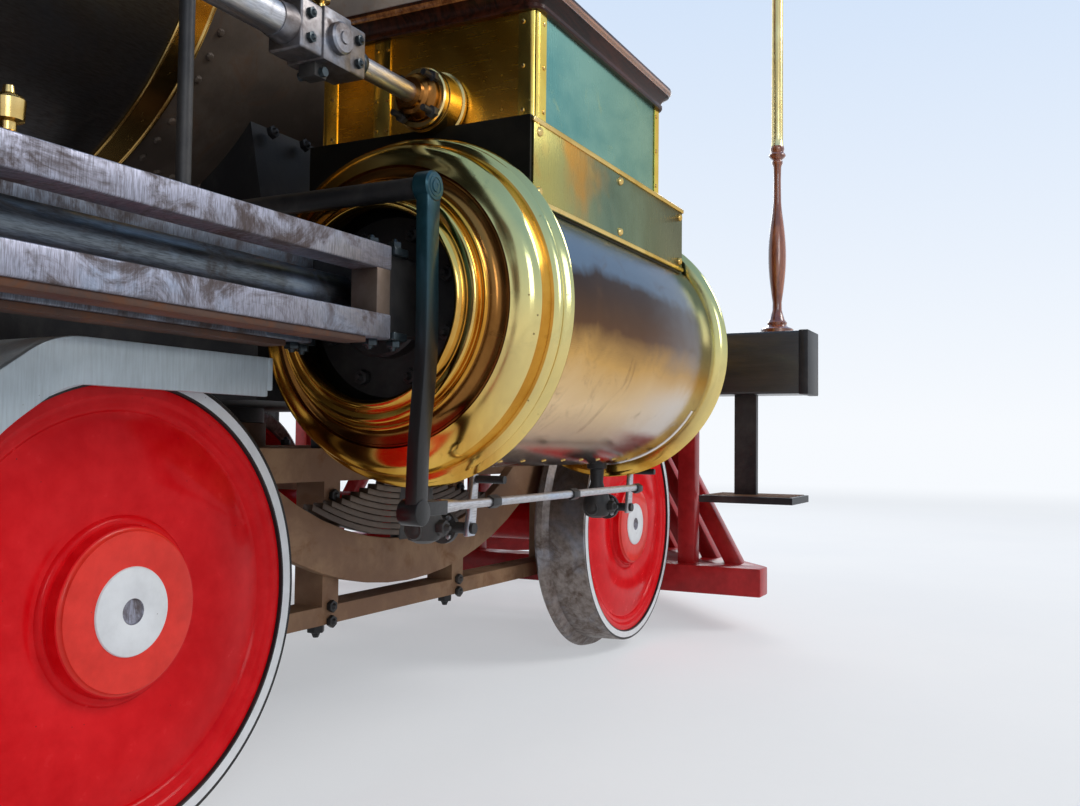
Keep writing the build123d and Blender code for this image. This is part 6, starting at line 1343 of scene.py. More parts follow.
# Domes: brass skirts fitted to the boiler, painted barrels between turned brass rings, moulded caps
def makeDomes():
    domes = (("sand", 0.23, boilerZ, 0.65, 0.255, 0.33, 0.19), ("steam", -1.9, wagonZ, 0.72, 0.29, 0.4, 0.21))
    flare = ((0.126, 0.0006, 0), (0.131, 0.006, 0), (0.131, 0.018, 0), (0.118, 0.027, 0.1),
             (0.092, 0.036, 0.45), (0.07, 0.05, 0.75), (0.045, 0.068, 0.9), (0.03, 0.088, 1),
             (0.03, 0.096, 1), (0.034, 0.1, 1), (0.034, 0.112, 1), (0.028, 0.117, 1), (0.02, 0.122, 1),
             (0.001, 0.13, 1))
    for name, x, centre, shell, r, height, cap in domes:
        piece = Piece(name + "Dome", "domeGreen", "domeBrass", "blackIron")
        top = centre + shell
        spot = (x, 0, top)
        skirt = []
        for out, lift, flat in flare:
            skirt.append([(x + dx, dy, (1 - flat) * drumTop(shell, dy, centre) + flat * top + lift)
                          for dx, dy in around(72, r + out)])
        piece.band(skirt, 1, capped=False)
        piece.lathe([(0.128, r), (height - 0.002, r)], spot, above)
        ring = shifted(height, r, (-16, 0), (-14, 6), (-4, 8), (0, 4), (4, 10))
        ring += bulge((height + 0.008, r + 0.018), (height + 0.03, r + 0.038), -0.006, 5)
        ring += bulge((height + 0.032, r + 0.04), (height + 0.052, r + 0.04), 0.0035, 5)
        ring += shifted(height, r, (54, 34), (68, 28), (78, 18))
        crown = shifted(height, r, (78, 18), (88, -10)) + [(height + 0.092, r * 0.86)]
        crown += bulge((height + 0.093, r * 0.86), (height + cap * 0.8, r * 0.52), 0.018, 8)
        crown += bulge((height + cap * 0.81, r * 0.5), (height + cap * 0.985, r * 0.24), 0.01, 8)
        knob = [(height + cap * 0.985, r * 0.25), (height + cap * 0.99, r * 0.25), (height + cap, r * 0.235),
                (height + cap, 0)]
        for outline, steps, mat in ((ring, 96, 1), (crown, 96, 0), (knob, 64, 1)):
            piece.lathe(outline, spot, above, steps, mat)
        if name == "sand":                               # flanged stubs where the sand pipes start
            for s in sides:
                piece.lathe(mm((0, 30), (4, 31), (12, 20), (40, 18)), (x - 0.1, s * 0.362, top - 0.075),
                            (-0.15, s * 0.55, -0.7), 20, 1)
        piece.done("engine", name + "_dome")


makeDrivers()
makeSideRods()
makeMainRods()
makeCrossheads()
makeTruckDetails()
makeTruckSprings()
makeBands()
makeSmokebox()
makeSmokeboxDoor()
makeStack()
makeDomes()
print("the running gear, the boiler and its domes are dressed")


# Safety valves with their levers and a bell whistle, on the steam dome
def makeSafetyValves():
    valve = {"x": -1.9, "z": wagonZ + 0.72 + 0.61, "apart": 0.09}
    x, z = valve["x"], valve["z"]
    piece = Piece("safetyValves", "fittingBrass", "rodSteel", "blackIron", "domeBrass")
    piece.block((x - 0.034, -0.11, z + 0.0004), (x + 0.034, 0.11, z + 0.026), 0.006, 3)
    body = mm((24, 34), (32, 35), (36, 29), (56, 27), (60, 40), (66, 42), (78, 41), (82, 30))
    body += bulge((0.084, 0.029), (0.118, 0.026), 0.004, 5) + mm((120, 20), (126, 12), (130, 0))
    for y in (-valve["apart"], valve["apart"]):
        piece.lathe(body, (x, y, z), above, 40)
        piece.rod((x, y, z + 0.12), (x, y, z + 0.136), 0.008, steps=14, mat=1)
        piece.nut((x + 0.034, y, z + 0.014), fore, 0.01, 0.008, 2)
        piece.nut((x - 0.034, y, z + 0.014), aft, 0.01, 0.008, 2)
    piece.plate(mm((-108, -6), (108, -6), (102, 8), (-102, 8)), onFront(x - 0.006, 0, z + 0.128),
                0.012, 0.002, 1)
    whistle = mm((26, 24), (30, 17), (70, 14), (74, 22), (82, 23), (88, 18), (96, 20), (106, 36), (114, 37),
                 (118, 33), (121, 33), (121, 30), (136, 30), (136, 34.5), (140, 36), (238, 36),
                 (246, 32), (252, 20))
    whistle += bulge((0.256, 0.01), (0.278, 0.004), 0.008, 5) + [(0.2795, 0)]
    piece.lathe(whistle, (x, 0, z), above, 48, 3)
    piece.tube([(x - 0.012, 0, z + 0.06), (x - 0.035, 0, z + 0.064), (x - 0.034, 0, z + 0.078)], 0.006, 10, 1)
    piece.done("engine", "safety_valves")


# Bell: turned brass with a yoke, axle and clapper; its stand is a saddle with two panelled arms
def makeBell():
    bell = {"x": 0.95, "z": 2.828}
    x, z = bell["x"], bell["z"]
    piece = Piece("bell", "bellBrass", "blackIron", "rodSteel")
    shell = mm((-24, 0), (-24, 48), (-30, 62), (-42, 78), (-60, 92), (-82, 100.5))
    shell += bulge((-0.086, 0.1035), (-0.1, 0.1045), 0.0025, 4)
    shell += mm((-104, 104), (-150, 111.5), (-200, 123.5))
    shell += bulge((-0.204, 0.1285), (-0.216, 0.1325), 0.002, 4) + mm((-236, 137), (-262, 153), (-284, 173))
    shell += bulge((-0.287, 0.179), (-0.299, 0.19), 0.002, 4)
    shell += mm((-303, 194.5), (-320, 201), (-328.5, 201.5), (-329.5, 196))
    inside = mm((-329.5, 196), (-328, 182), (-300, 160), (-262, 135), (-240, 120), (-150, 94), (-84, 82),
                (-62, 50), (-60, 0))
    piece.lathe(shell + inside[1:], (x, 0, z), above, 96)
    piece.block((x - 0.028, -0.216, z - 0.026), (x + 0.028, 0.216, z + 0.026), 0.006, 3, 1)
    for s in sides:
        piece.lathe(mm((-6, 30), (4, 30), (10, 24), (10, 16)), (x, s * 0.216, z), (0, s, 0), 32, 1)
    piece.nuts((x,), (-0.05, 0.05), (z + 0.026,), above, 0.015, 0.01, 2)
    piece.rod((x, -0.275, z), (x, 0.275, z), 0.0148, steps=28, mat=2, bevel=0.001)
    piece.lathe(mm((-290, 9), (-75, 9)), (x, 0, z), above, 16, 1)
    piece.ball((x, 0, z - 0.312), 0.0295, 0.95, 1, 12)
    piece.done("bell", "bell")

    stand = Piece("bellStand", "domeGreen", "fittingBrass", "blackIron")
    foot, drum, half = z - 0.5, 0.6503, 0.29
    edge = [(-0.12, half * (k / 8 - 1)) for k in range(17)]
    edge += [(-px, -py) for px, py in edge]
    saddle = []
    for inset, lift in ((0, 0.0006), (0, 0.04), (0.006, 0.046)):
        ring = [(px * (1 - inset / 0.12), max(min(py, half - inset), inset - half)) for px, py in edge]
        saddle.append([(x + px, py, drumTop(drum, py) + lift) for px, py in ring])
    stand.band(saddle)
    side = shifted(0, foot, (-100, -50), (-100, 12), (-86, 26), (-70, 50), (-56, 110), (-50, 150), (-33, 230),
                   (-26, 330), (-27, 420))
    outline = side + arc(0, z, 0.041, 205, -25, 16) + [(-px, pz) for px, pz in side[::-1]]
    panel = shifted(0, foot, (-60, 30), (60, 30), (34, 140), (16, 330), (-16, 330), (-34, 140))
    for y, out in ((-0.261, -1), (0.229, 1)):
        stand.plate(outline, onSide(y, x), 0.032, 0.004)
        stand.plate(panel, onSide(y - 0.0015, x), 0.035, 0.0012)
        collar = mm((-18.5, 16.5), (-18.5, 30), (-16, 33), (16, 33), (18.5, 30), (18.5, 16.5))
        stand.lathe(collar, (x, y + 0.016, z), left, 32, 1)
        stand.nuts((x - 0.075, x + 0.075), (y + 0.016 + out * 0.01,), (foot + 0.012,), above, 0.012, 0.01, 2)
    for y in (-0.13, 0.0, 0.13):
        stand.nuts((x - 0.09, x + 0.09), (y,), (drumTop(drum, y) + 0.044,), (0, y, 0.64), 0.014, 0.012, 2)
    stand.done("engine", "bell_stand")


# Headlight: a panelled box lamp with a brass-rimmed lens, a silvered reflector, a vent and two brackets
def makeHeadlight():
    lamp = {"x0": 2.48, "x1": 2.95, "half": 0.22, "z0": 2.4483, "z1": 2.968, "centre": 2.713,
            "vent": 2.715, "wall": 0.008}
    x0, x1, half, z0, z1, zc, vx = (lamp[key] for key in ("x0", "x1", "half", "z0", "z1", "centre", "vent"))
    corners = (x0, -half), (x1, half)
    piece = Piece("headlight", "lampRed", "fittingBrass", "blackIron", "mirrorSilver", "lampGold")
    # side walls with a gilt moulding, a brass bead inside it and four studs
    for s in sides:
        piece.block((x0, s * half, z0), (x1, s * (half - lamp["wall"]), z1))
        face = onSide(s * half - (0 if s > 0 else 0.006), (x0 + x1) / 2, z0 + 0.07)
        piece.trim(boxShape(0.33, 0.37), mm((0, 0), (0, 6), (-10, 6), (-16, 0)), face, 4)
        piece.trim(boxShape(0.26, 0.3), mm((0, 1), (0, 5), (-6, 5), (-6, 1)),
                   face @ Matrix.Translation((0, 0.035, 0)), 1)
        for dx, dz in product((-0.15, 0.15), (0.085, 0.425)):
            piece.stud(((x0 + x1) / 2 + dx, s * (half + 0.005), z0 + dz), (0, s, 0), 0.006, 1, 10)
    piece.block((x0, 0.002 - half, z0), (x0 + lamp["wall"], half - 0.002, z1))
    piece.trim(boxShape(0.34, 0.38), mm((0, 0), (0, 5), (-12, 5), (-16, 0)),
               onFront(x0 - 0.0045, 0, z0 + 0.07), 4)
    piece.mouldedBox(shifted(0, z0, (4, 0), (10, 4), (10, 18), (4, 26), (-20, 26)),
                     (x0 + 0.004, 0.004 - half), (x1 - 0.004, half - 0.004), 0.006, 4)
    rings = [[(x1, dy, zc + dz) for dy, dz in around(72, r)] for r in (0.182, 0.205)]
    square = [(x1, max(-half, min(half, 0.34 * a)), max(z0, min(z1, zc + 0.4 * b))) for a, b in around(72, 1)]
    piece.band(rings + [square], 0, capped=False)
    rim = mm((-2, 206), (4, 207), (10, 203)) + bulge((0.012, 0.204), (0.03, 0.19), 0.006, 7)
    rim += mm((34, 187), (35, 181), (30, 178.5), (4, 178.5))
    piece.lathe(rim, (x1, 0, zc), fore, 96, 1)
    for a, b in around(8, 1, 0.5):
        piece.stud((x1 + 0.008, 0.2035 * a, zc + 0.2035 * b), (1, 0.2 * a, 0.2 * b), 0.006, 1, 8)
    dish = [(0.3 - 0.28 * (k / 14) ** 2, 0.012 + 0.164 * k / 14) for k in range(15)]
    piece.lathe(dish[::-1], (x1 - 0.31, 0, zc), aft, 72, 3)
    piece.lathe(mm((0, 0), (0, 30), (20, 34), (34, 20), (40, 16), (48, 16)),
                (x1 - 0.12, 0, zc - 0.12), above, 28, 1)
    piece.lathe(mm((46, 15), (80, 22), (110, 17), (190, 12)), (x1 - 0.12, 0, zc - 0.12), above, 28, 3)
    piece.mouldedBox(shifted(0, z1, (6, 0), (22, 3), (25, 10), (20, 16), (-15, 22.5), (-100, 24)),
                     *corners, 0.006)
    piece.mouldedBox(shifted(0, z1, (19, -10), (21, -4), (21, 1), (16, 1)), *corners, 0.006, 4)
    vent = mm((23, 112), (30, 110), (34, 104), (60, 100), (62, 106), (70, 106), (72, 98), (128, 88),
              (130, 100), (134, 116), (142, 118), (149, 112), (150.5, 60), (150.5, 0))
    piece.lathe(vent, (vx, 0, z1), above, 64)
    for k in range(16):                                  # slots round the vent
        a = 2 * pi * k / 16
        spot, size = Vector((vx + 0.094 * cos(a), 0.094 * sin(a), z1 + 0.1)), Vector((0.006, 0.006, 0.018))
        piece.block(spot - size, spot + size, 0.001, 1, 2, Matrix.Rotation(a, 4, "Z"))
    # shelf and two scrolled brackets bolted to the smokebox
    piece.block((2.41, -0.25, 2.426), (3.03, 0.25, 2.448), 0.005, 3, 2)
    piece.mouldedBox(mm((0, 2425.5), (5, 2431), (5, 2443), (0, 2448.5), (-10, 2448.5)), (2.412, -0.248),
                     (3.028, 0.248), 0.006, 1)
    edge = mm((2432, 2426), (3006, 2426), (2985, 2410), (2930, 2402), (2880, 2386), (2845, 2362),
              (2790, 2346), (2730, 2336), (2672, 2318), (2632, 2286), (2590, 2262), (2548, 2232),
              (2512, 2202), (2484, 2172), (2447.5, 2160), (2447.5, 2300))
    for y, out in ((-0.214, -1), (0.186, 1)):
        piece.plate(edge, onSide(y), 0.028, 0.004, 2)
        for px, pz in mm((2490, 2250), (2560, 2330), (2690, 2385)):
            piece.nut((px, y if out < 0 else y + 0.028, pz), (0, out, 0), 0.012, 0.009, 1)
    piece.done("engine", "headlight")
    lens = Piece("headlightLens", "lensGlass")
    pane = mm((0, 0), (0, 177.5), (4, 178.5)) + bulge((0.005, 0.1785), (0.022, 0), 0.012, 12)
    lens.lathe(pane, (x1 + 0.006, 0, zc), fore, 72)
    lens.done("engine", ())


# Handrails: brass rods through turned knobs on posts
def makeHandrails():
    hand = {"y": 0.62, "up": 0.52, "front": 2.33, "back": -2.69, "posts": (2.25, 1.15, 0.05)}
    piece = Piece("handrails", "fittingBrass", "domeBrass")
    y, z = -hand["y"], boilerZ + hand["up"]
    piece.rod((hand["front"], y, z), (hand["back"], y, z), 0.0135, steps=28)
    piece.lathe(mm((-12, 13.6), (-10, 19), (4, 20), (10, 16), (14, 0)),
                (hand["front"] - 0.002, y, z), fore, 24, 1)
    piece.lathe(mm((0, 13.6), (0, 32), (5, 33), (8, 24), (16, 20), (18, 13.6)),
                (hand["back"] - 0.008, y, z), fore, 28, 1)
    deep = hypot(hand["y"], hand["up"]) - 0.65
    post = mm((12, 15), (30, 10), (40, 13), (46, 13), (52, 9.5))
    post += [(deep * 0.62, 0.0105), (deep * 0.7, 0.015), (deep * 0.76, 0.0155), (deep * 0.8, 0.011)]
    post += shifted(deep, 0, (-16, 14), (-10, 26), (-2, 28), (6, 28))
    knob = mm((-26, 0), (-26, 16)) + bulge((-0.022, 0.018), (0.022, 0.018), 0.0065, 8) + mm((26, 16), (26, 0))
    for x in hand["posts"]:
        piece.lathe(knob, (x, y, z), fore, 28, 1)
        piece.lathe(post, (x, y, z), (0, hand["y"], -hand["up"]), 28, 1)
    piece.mirror()
    piece.done("engine", "handrails")


# Running boards: brass edging, riveted brackets and beaded splashers
def makeBoards():
    board = {"z": 1.528, "out": 1.01, "front": 1.42, "back": -2.7, "splash": 0.7757}
    piece = Piece("boardTrim", "fittingBrass", "blackIron", "domeBrass")
    y, z, front, back, r = -board["out"], board["z"], board["front"], board["back"] + 0.002, board["splash"]
    piece.block((back, y - 0.0035, z + 0.018), (front, y + 0.004, z + 0.0285), 0.003, 3, 2)
    piece.block((back, y - 0.003, z - 0.0355), (front, y + 0.002, z - 0.0275), 0.002, 2, 2)
    for k in range(34):
        x = front - 0.05 - k * 0.12
        piece.stud((x, y, z - 0.005), right, 0.006, 0, 8)
        piece.stud((x, y + 0.035, z + 0.025), above, 0.006, 1, 8)
    for x in (1.25, 0.45, -0.25):
        piece.plate(mm((-690, -115), (-720, -98), (-995, -4), (-985, 0), (-672, 0)), onFront(x - 0.012, 0, z),
                    0.038, 0.002, 1)
        piece.nuts((x + 0.007,), (-0.7, -0.93), (z,), below, 0.01, 0.01, 1)
    for axle in (mainX, rearX):                          # beads follow the splashers' edges
        piece.tube([(px, -0.841, pz) for px, pz in arc(axle, axleZ, r - 0.006, 32, 148, 29)], 0.006, 10, 2)
        for px, pz in arc(axle, axleZ, r - 0.026, 36, 140, 13):
            piece.stud((px, -0.84, pz), right, 0.006, 0, 8)
    piece.mirror()
    piece.done("engine", ())


# Driving springs: leaves, buckles, hangers and the boxes' wedges
def makeDrivingSprings():
    spring = {"y": 0.52, "wide": 0.08, "base": 1.088, "leaves": (0.43, 0.36, 0.29, 0.22, 0.15)}
    piece = Piece("drivingSprings", "frameIron", "oilyIron", "blackIron")

    def bent(half, base):                                # one edge of a leaf, bent down at its ends
        return [(x, base - x * x / 4.2) for x in [half * (k / 6 - 1) for k in range(13)]]

    for axle in (mainX, rearX):
        piece.block((axle - 0.1317, -0.606, 0.612), (axle + 0.1317, -0.514, axleZ - 0.09), 0.005, mat=0)
        piece.block((axle - 0.1317, -0.606, axleZ + 0.09), (axle + 0.1317, -0.514, 0.892), 0.005, mat=0)
        for s in sides:
            low, high = axle + s * 0.088, axle + s * 0.1317
            piece.block((low, -0.606, axleZ - 0.095), (high, -0.514, axleZ + 0.095), 0.003, mat=0)
        for k, half in enumerate(spring["leaves"]):
            base = spring["base"] + 0.014 * (4 - k)
            low, high = bent(half, base), bent(half - 0.002, base + 0.0128)
            piece.plate(low + high[::-1], onSide(-spring["y"] - spring["wide"], axle),
                        spring["wide"], 0.0015, 1)
        piece.block((axle - 0.045, -0.59, 1.0283), (axle + 0.045, -0.53, 1.09), 0.006, mat=0)
        piece.block((axle - 0.04, -0.6035, 1.082), (axle + 0.04, -0.5165, 1.166), 0.005, mat=2)
        for s in sides:                                  # hangers down to the frame
            piece.rod((axle + s * 0.4, -0.56, 1.0283), (axle + s * 0.4, -0.56, 1.135), 0.012, steps=18, mat=2)
            piece.nut((axle + s * 0.4, -0.56, 1.125), above, 0.02, 0.018, 2)
            piece.lathe(mm((0, 30), (10, 30), (14, 14)), (axle + s * 0.4, -0.56, 1.0283), above, 24, 2)
    piece.mirror()
    piece.done("engine", "driving_springs")


# Frame: pedestal binders with nuts, bolts along the rails and at the saddle
def makeFrameBolts():
    piece = Piece("frameBolts", "blackIron", "frameIron")
    for axle in (mainX, rearX):
        ends = (axle - 0.167, axle + 0.167)
        piece.nuts(ends, (-0.61,), (0.64, 0.72, 0.8, 0.88), right, 0.014, 0.01)
        piece.nuts(ends, (-0.56,), (0.547,), below, 0.022, 0.022)
    for k in range(12):
        piece.nut((-0.3 + k * 0.3, -0.61, 0.895 if k > 1 else 0.975), right, 0.015, 0.011)
    piece.nuts((1.66, 1.8, 2.1, 2.24), (-0.61,), (0.88, 0.935), right, 0.014, 0.01)
    for k in range(9):
        piece.stud((-3.9 + 0.42 * k, -0.61, 0.98), right, 0.013, 1, 10)
    piece.mirror()
    piece.done("engine")


# Saddle and cylinders: flange bolts, with the firebox's stay heads and washout plugs
def makeCastingDetails():
    piece = Piece("castingBolts", "blackIron", "smokeIron", "fittingBrass")
    for y, z in ((-0.51, 1.05), (-0.495, 1.215)):
        piece.nuts((1.66, 1.76, 1.86, 1.96, 2.06, 2.16, 2.24), (y,), (z,), (0, -1, 0.3), 0.014, 0.012)
    for row, k in product(range(6), range(13)):
        piece.stud((-1.36 - k * 0.13, -0.5, 0.73 + row * 0.08), right, 0.01, 1, 8)
    for x in (-1.6, -2.1, -2.6):
        piece.lathe(mm((0, 30), (8, 30), (10, 20), (24, 18), (26, 0)), (x, -0.5, 0.705), right, 20, 2)
    piece.mirror()
    piece.done("engine")


makeSafetyValves()
makeBell()
makeHeadlight()
makeHandrails()
makeBoards()
makeDrivingSprings()
makeFrameBolts()
makeCastingDetails()
print("the boiler's fittings, boards and springs are dressed")


def roofUnder(y):                                        # the height of the cab roof's underside
    crown, r = 3.2283, 3.09817
    return crown - r + sqrt(r * r - y * y)


# Cab: mouldings round the windows, panels, belt rails, cornices, corner posts and sashes
def makeCabTrim():
    cab = {"y": 1.33, "front": -2.7, "back": -4.38, "floor": 1.528, "sill": 2.168, "windows": (-3.96, -3.2),
           "lights": 0.38, "lightZ": 2.508}
    y, front, back, floor, sill = cab["y"], cab["front"], cab["back"], cab["floor"], cab["sill"]
    piece = Piece("cabTrim", "cabWood", "trimWood", "fittingBrass")
    window, light, box = archShape(0.6, 0.64, 0.11), archShape(0.48, 0.3, 0.05), boxShape(0.31, 0.4)
    surround = mm((-6, -3), (-6, 10), (4, 15), (26, 15), (34, 10), (44, 8), (47, -3))
    sash = mm((-4, -30), (-34, -30), (-34, -8), (-28, -6), (-4, -6))
    panel = mm((0, -2), (0, 7), (-14, 9), (-22, 3), (-30, -2))
    raised = mm((-50, -2), (-56, 3), (-75, 6))
    grab = mm((-2, 1700), (-45, 1720), (-48, 1800), (-48, 2200), (-45, 2280), (-2, 2300))
    for s in sides:
        for x in cab["windows"]:
            spot = along((x, s * y, sill), 0, s)
            piece.trim(window, surround, spot, 1)
            piece.trim(window, sash, spot, 1)
            piece.block((x - 0.012, s * (y - 0.03), sill + 0.002),
                        (x + 0.012, s * (y - 0.008), sill + 0.632), 0.003, mat=1)
            piece.block((x - 0.345, s * y, sill - 0.03),
                        (x + 0.345, s * (y + 0.034), sill - 0.003), 0.006, 3, 1)
            for dx in (-0.185, 0.185):
                spot = along((x + dx, s * y, floor + 0.13), 0, s)
                piece.trim(box, panel, spot, 1)
                piece.band([[spot @ Vector((*p, depth)) for p in box(out)] for out, depth in raised])
        for low, high, bevel in ((floor, floor + 0.085, 0.004), (2.08, 2.112, 0.006), (2.858, 2.905, 0.01)):
            piece.block((back, s * y, low), (front, s * (y + 0.018), high), bevel, 3, 1)
        for x in (back + 0.03, -3.58, front - 0.03):
            piece.block((x - 0.03, s * y, floor + 0.086), (x + 0.03, s * (y + 0.018), 2.857), 0.004, 2, 1)
        # front lights, door frames and the cornice over the front wall
        spot = onFront(front, s * cab["lights"], cab["lightZ"])
        piece.trim(light, surround, spot, 1)
        piece.trim(light, mm((-4, -20), (-26, -20), (-26, -4), (-4, -4)), spot, 1)
        piece.block((front - 0.002, s * 0.78, 2.844), (front + 0.022, s * 1.262, 2.872), 0.004, 2, 1)
        piece.block((front - 0.002, s * 0.756, 1.64), (front + 0.016, s * 0.779, 2.872), 0.003, 2, 1)
        # inside: a ledge under the side windows and a hand grab at the back
        piece.block((back + 0.1, s * 1.292, sill - 0.034),
                    (front - 0.06, s * 1.262, sill - 0.006), 0.006, 3, 1)
        piece.tube([(back + dx, s * 1.31, z) for dx, z in grab], 0.012, 14, 2)
    piece.done("engine", ())


# Cab roof: canvas over ribs, fascia boards, a raised ventilator with its lid
def makeRoof():
    roof = {"front": -2.54, "back": -4.6, "half": 1.436}
    front, back = roof["front"], roof["back"]
    piece = Piece("roofTrim", "trimWood", "roofCloth", "blackIron")
    ys = [roof["half"] * (k / 14 - 1) for k in range(29)]
    inner = [y for y in ys if abs(y) < 1.27]
    profile = mm((-14, 43.5), (-10, 47.5), (10, 47.5), (14, 43.5))

    def under(places, top, foot):                        # an outline that follows the roof's underside
        return [(y, roofUnder(y) + top) for y in places] + [(y, roofUnder(y) + foot) for y in places[::-1]]

    for x in (front - 0.024, back + 0.002):
        piece.plate(under(ys, 0.001, -0.042), onFront(x), 0.022, 0.004)
    for s in sides:
        piece.block((back + 0.02, s * 1.405, roofUnder(1.42) - 0.048),
                    (front - 0.02, s * 1.432, roofUnder(1.42) + 0.004), 0.005, 3)
    for k in range(9):                                   # seams of the canvas, and the beams below it
        x = back + 0.06 + k * 0.2425
        piece.band([[(x + dx, y, roofUnder(y) + dz) for dx, dz in profile] for y in ys[1:-1]], 1)
        if 0 < k < 8:
            piece.plate(under(inner, -0.0005, -0.045), onFront(x - 0.022), 0.044, 0.004)
    piece.mouldedBox(mm((0, 3235), (0, 3300), (4, 3304), (4, 3310), (-2, 3312)), (-3.9, -0.3),
                     (-3.2, 0.3), 0.01, 0)
    piece.mouldedBox(mm((22, 3312.5), (30, 3318), (30, 3330), (20, 3340), (-100, 3362), (-220, 3370)),
                     (-3.9, -0.3), (-3.2, 0.3), 0.012, 1)
    for x in (-3.75, -3.35):
        piece.block((x - 0.02, -0.338, 3.296), (x + 0.02, -0.304, 3.322), 0.003, mat=2)
    piece.done("engine", ())


# Cab front doors: panelled leaves with a sash, a pane and a brass knob
def makeCabDoors():
    door = {"face": -2.6793, "y": 1.02, "foot": 1.636, "light": 2.088}
    face, light = door["face"], archShape(0.3, 0.64, 0.04)
    for name, s, _ in cranks:
        piece = Piece("cabDoorTrim" + name.title(), "trimWood", "fittingBrass", "windowGlass")
        spot = onFront(face, s * door["y"], door["light"])
        piece.trim(light, mm((-3, -19), (-3, 5), (6, 7), (20, 6), (26, -1)), spot)
        piece.plate(light(-0.002), spot @ Matrix.Translation((0, 0, -0.013)), 0.004, 0, 2)
        piece.trim(boxShape(0.29, 0.31), mm((0, -1), (0, 5), (-12, 6), (-20, -1)),
                   onFront(face, s * door["y"], door["foot"] + 0.055))
        knob = mm((0, 15), (3, 15), (5, 6), (14, 6), (18, 12), (25, 14), (30, 10), (32, 0))
        piece.lathe(knob, (face, s * (door["y"] - 0.2), 2.033), fore, 24, 1)
        piece.done("cab_door_" + name, ())


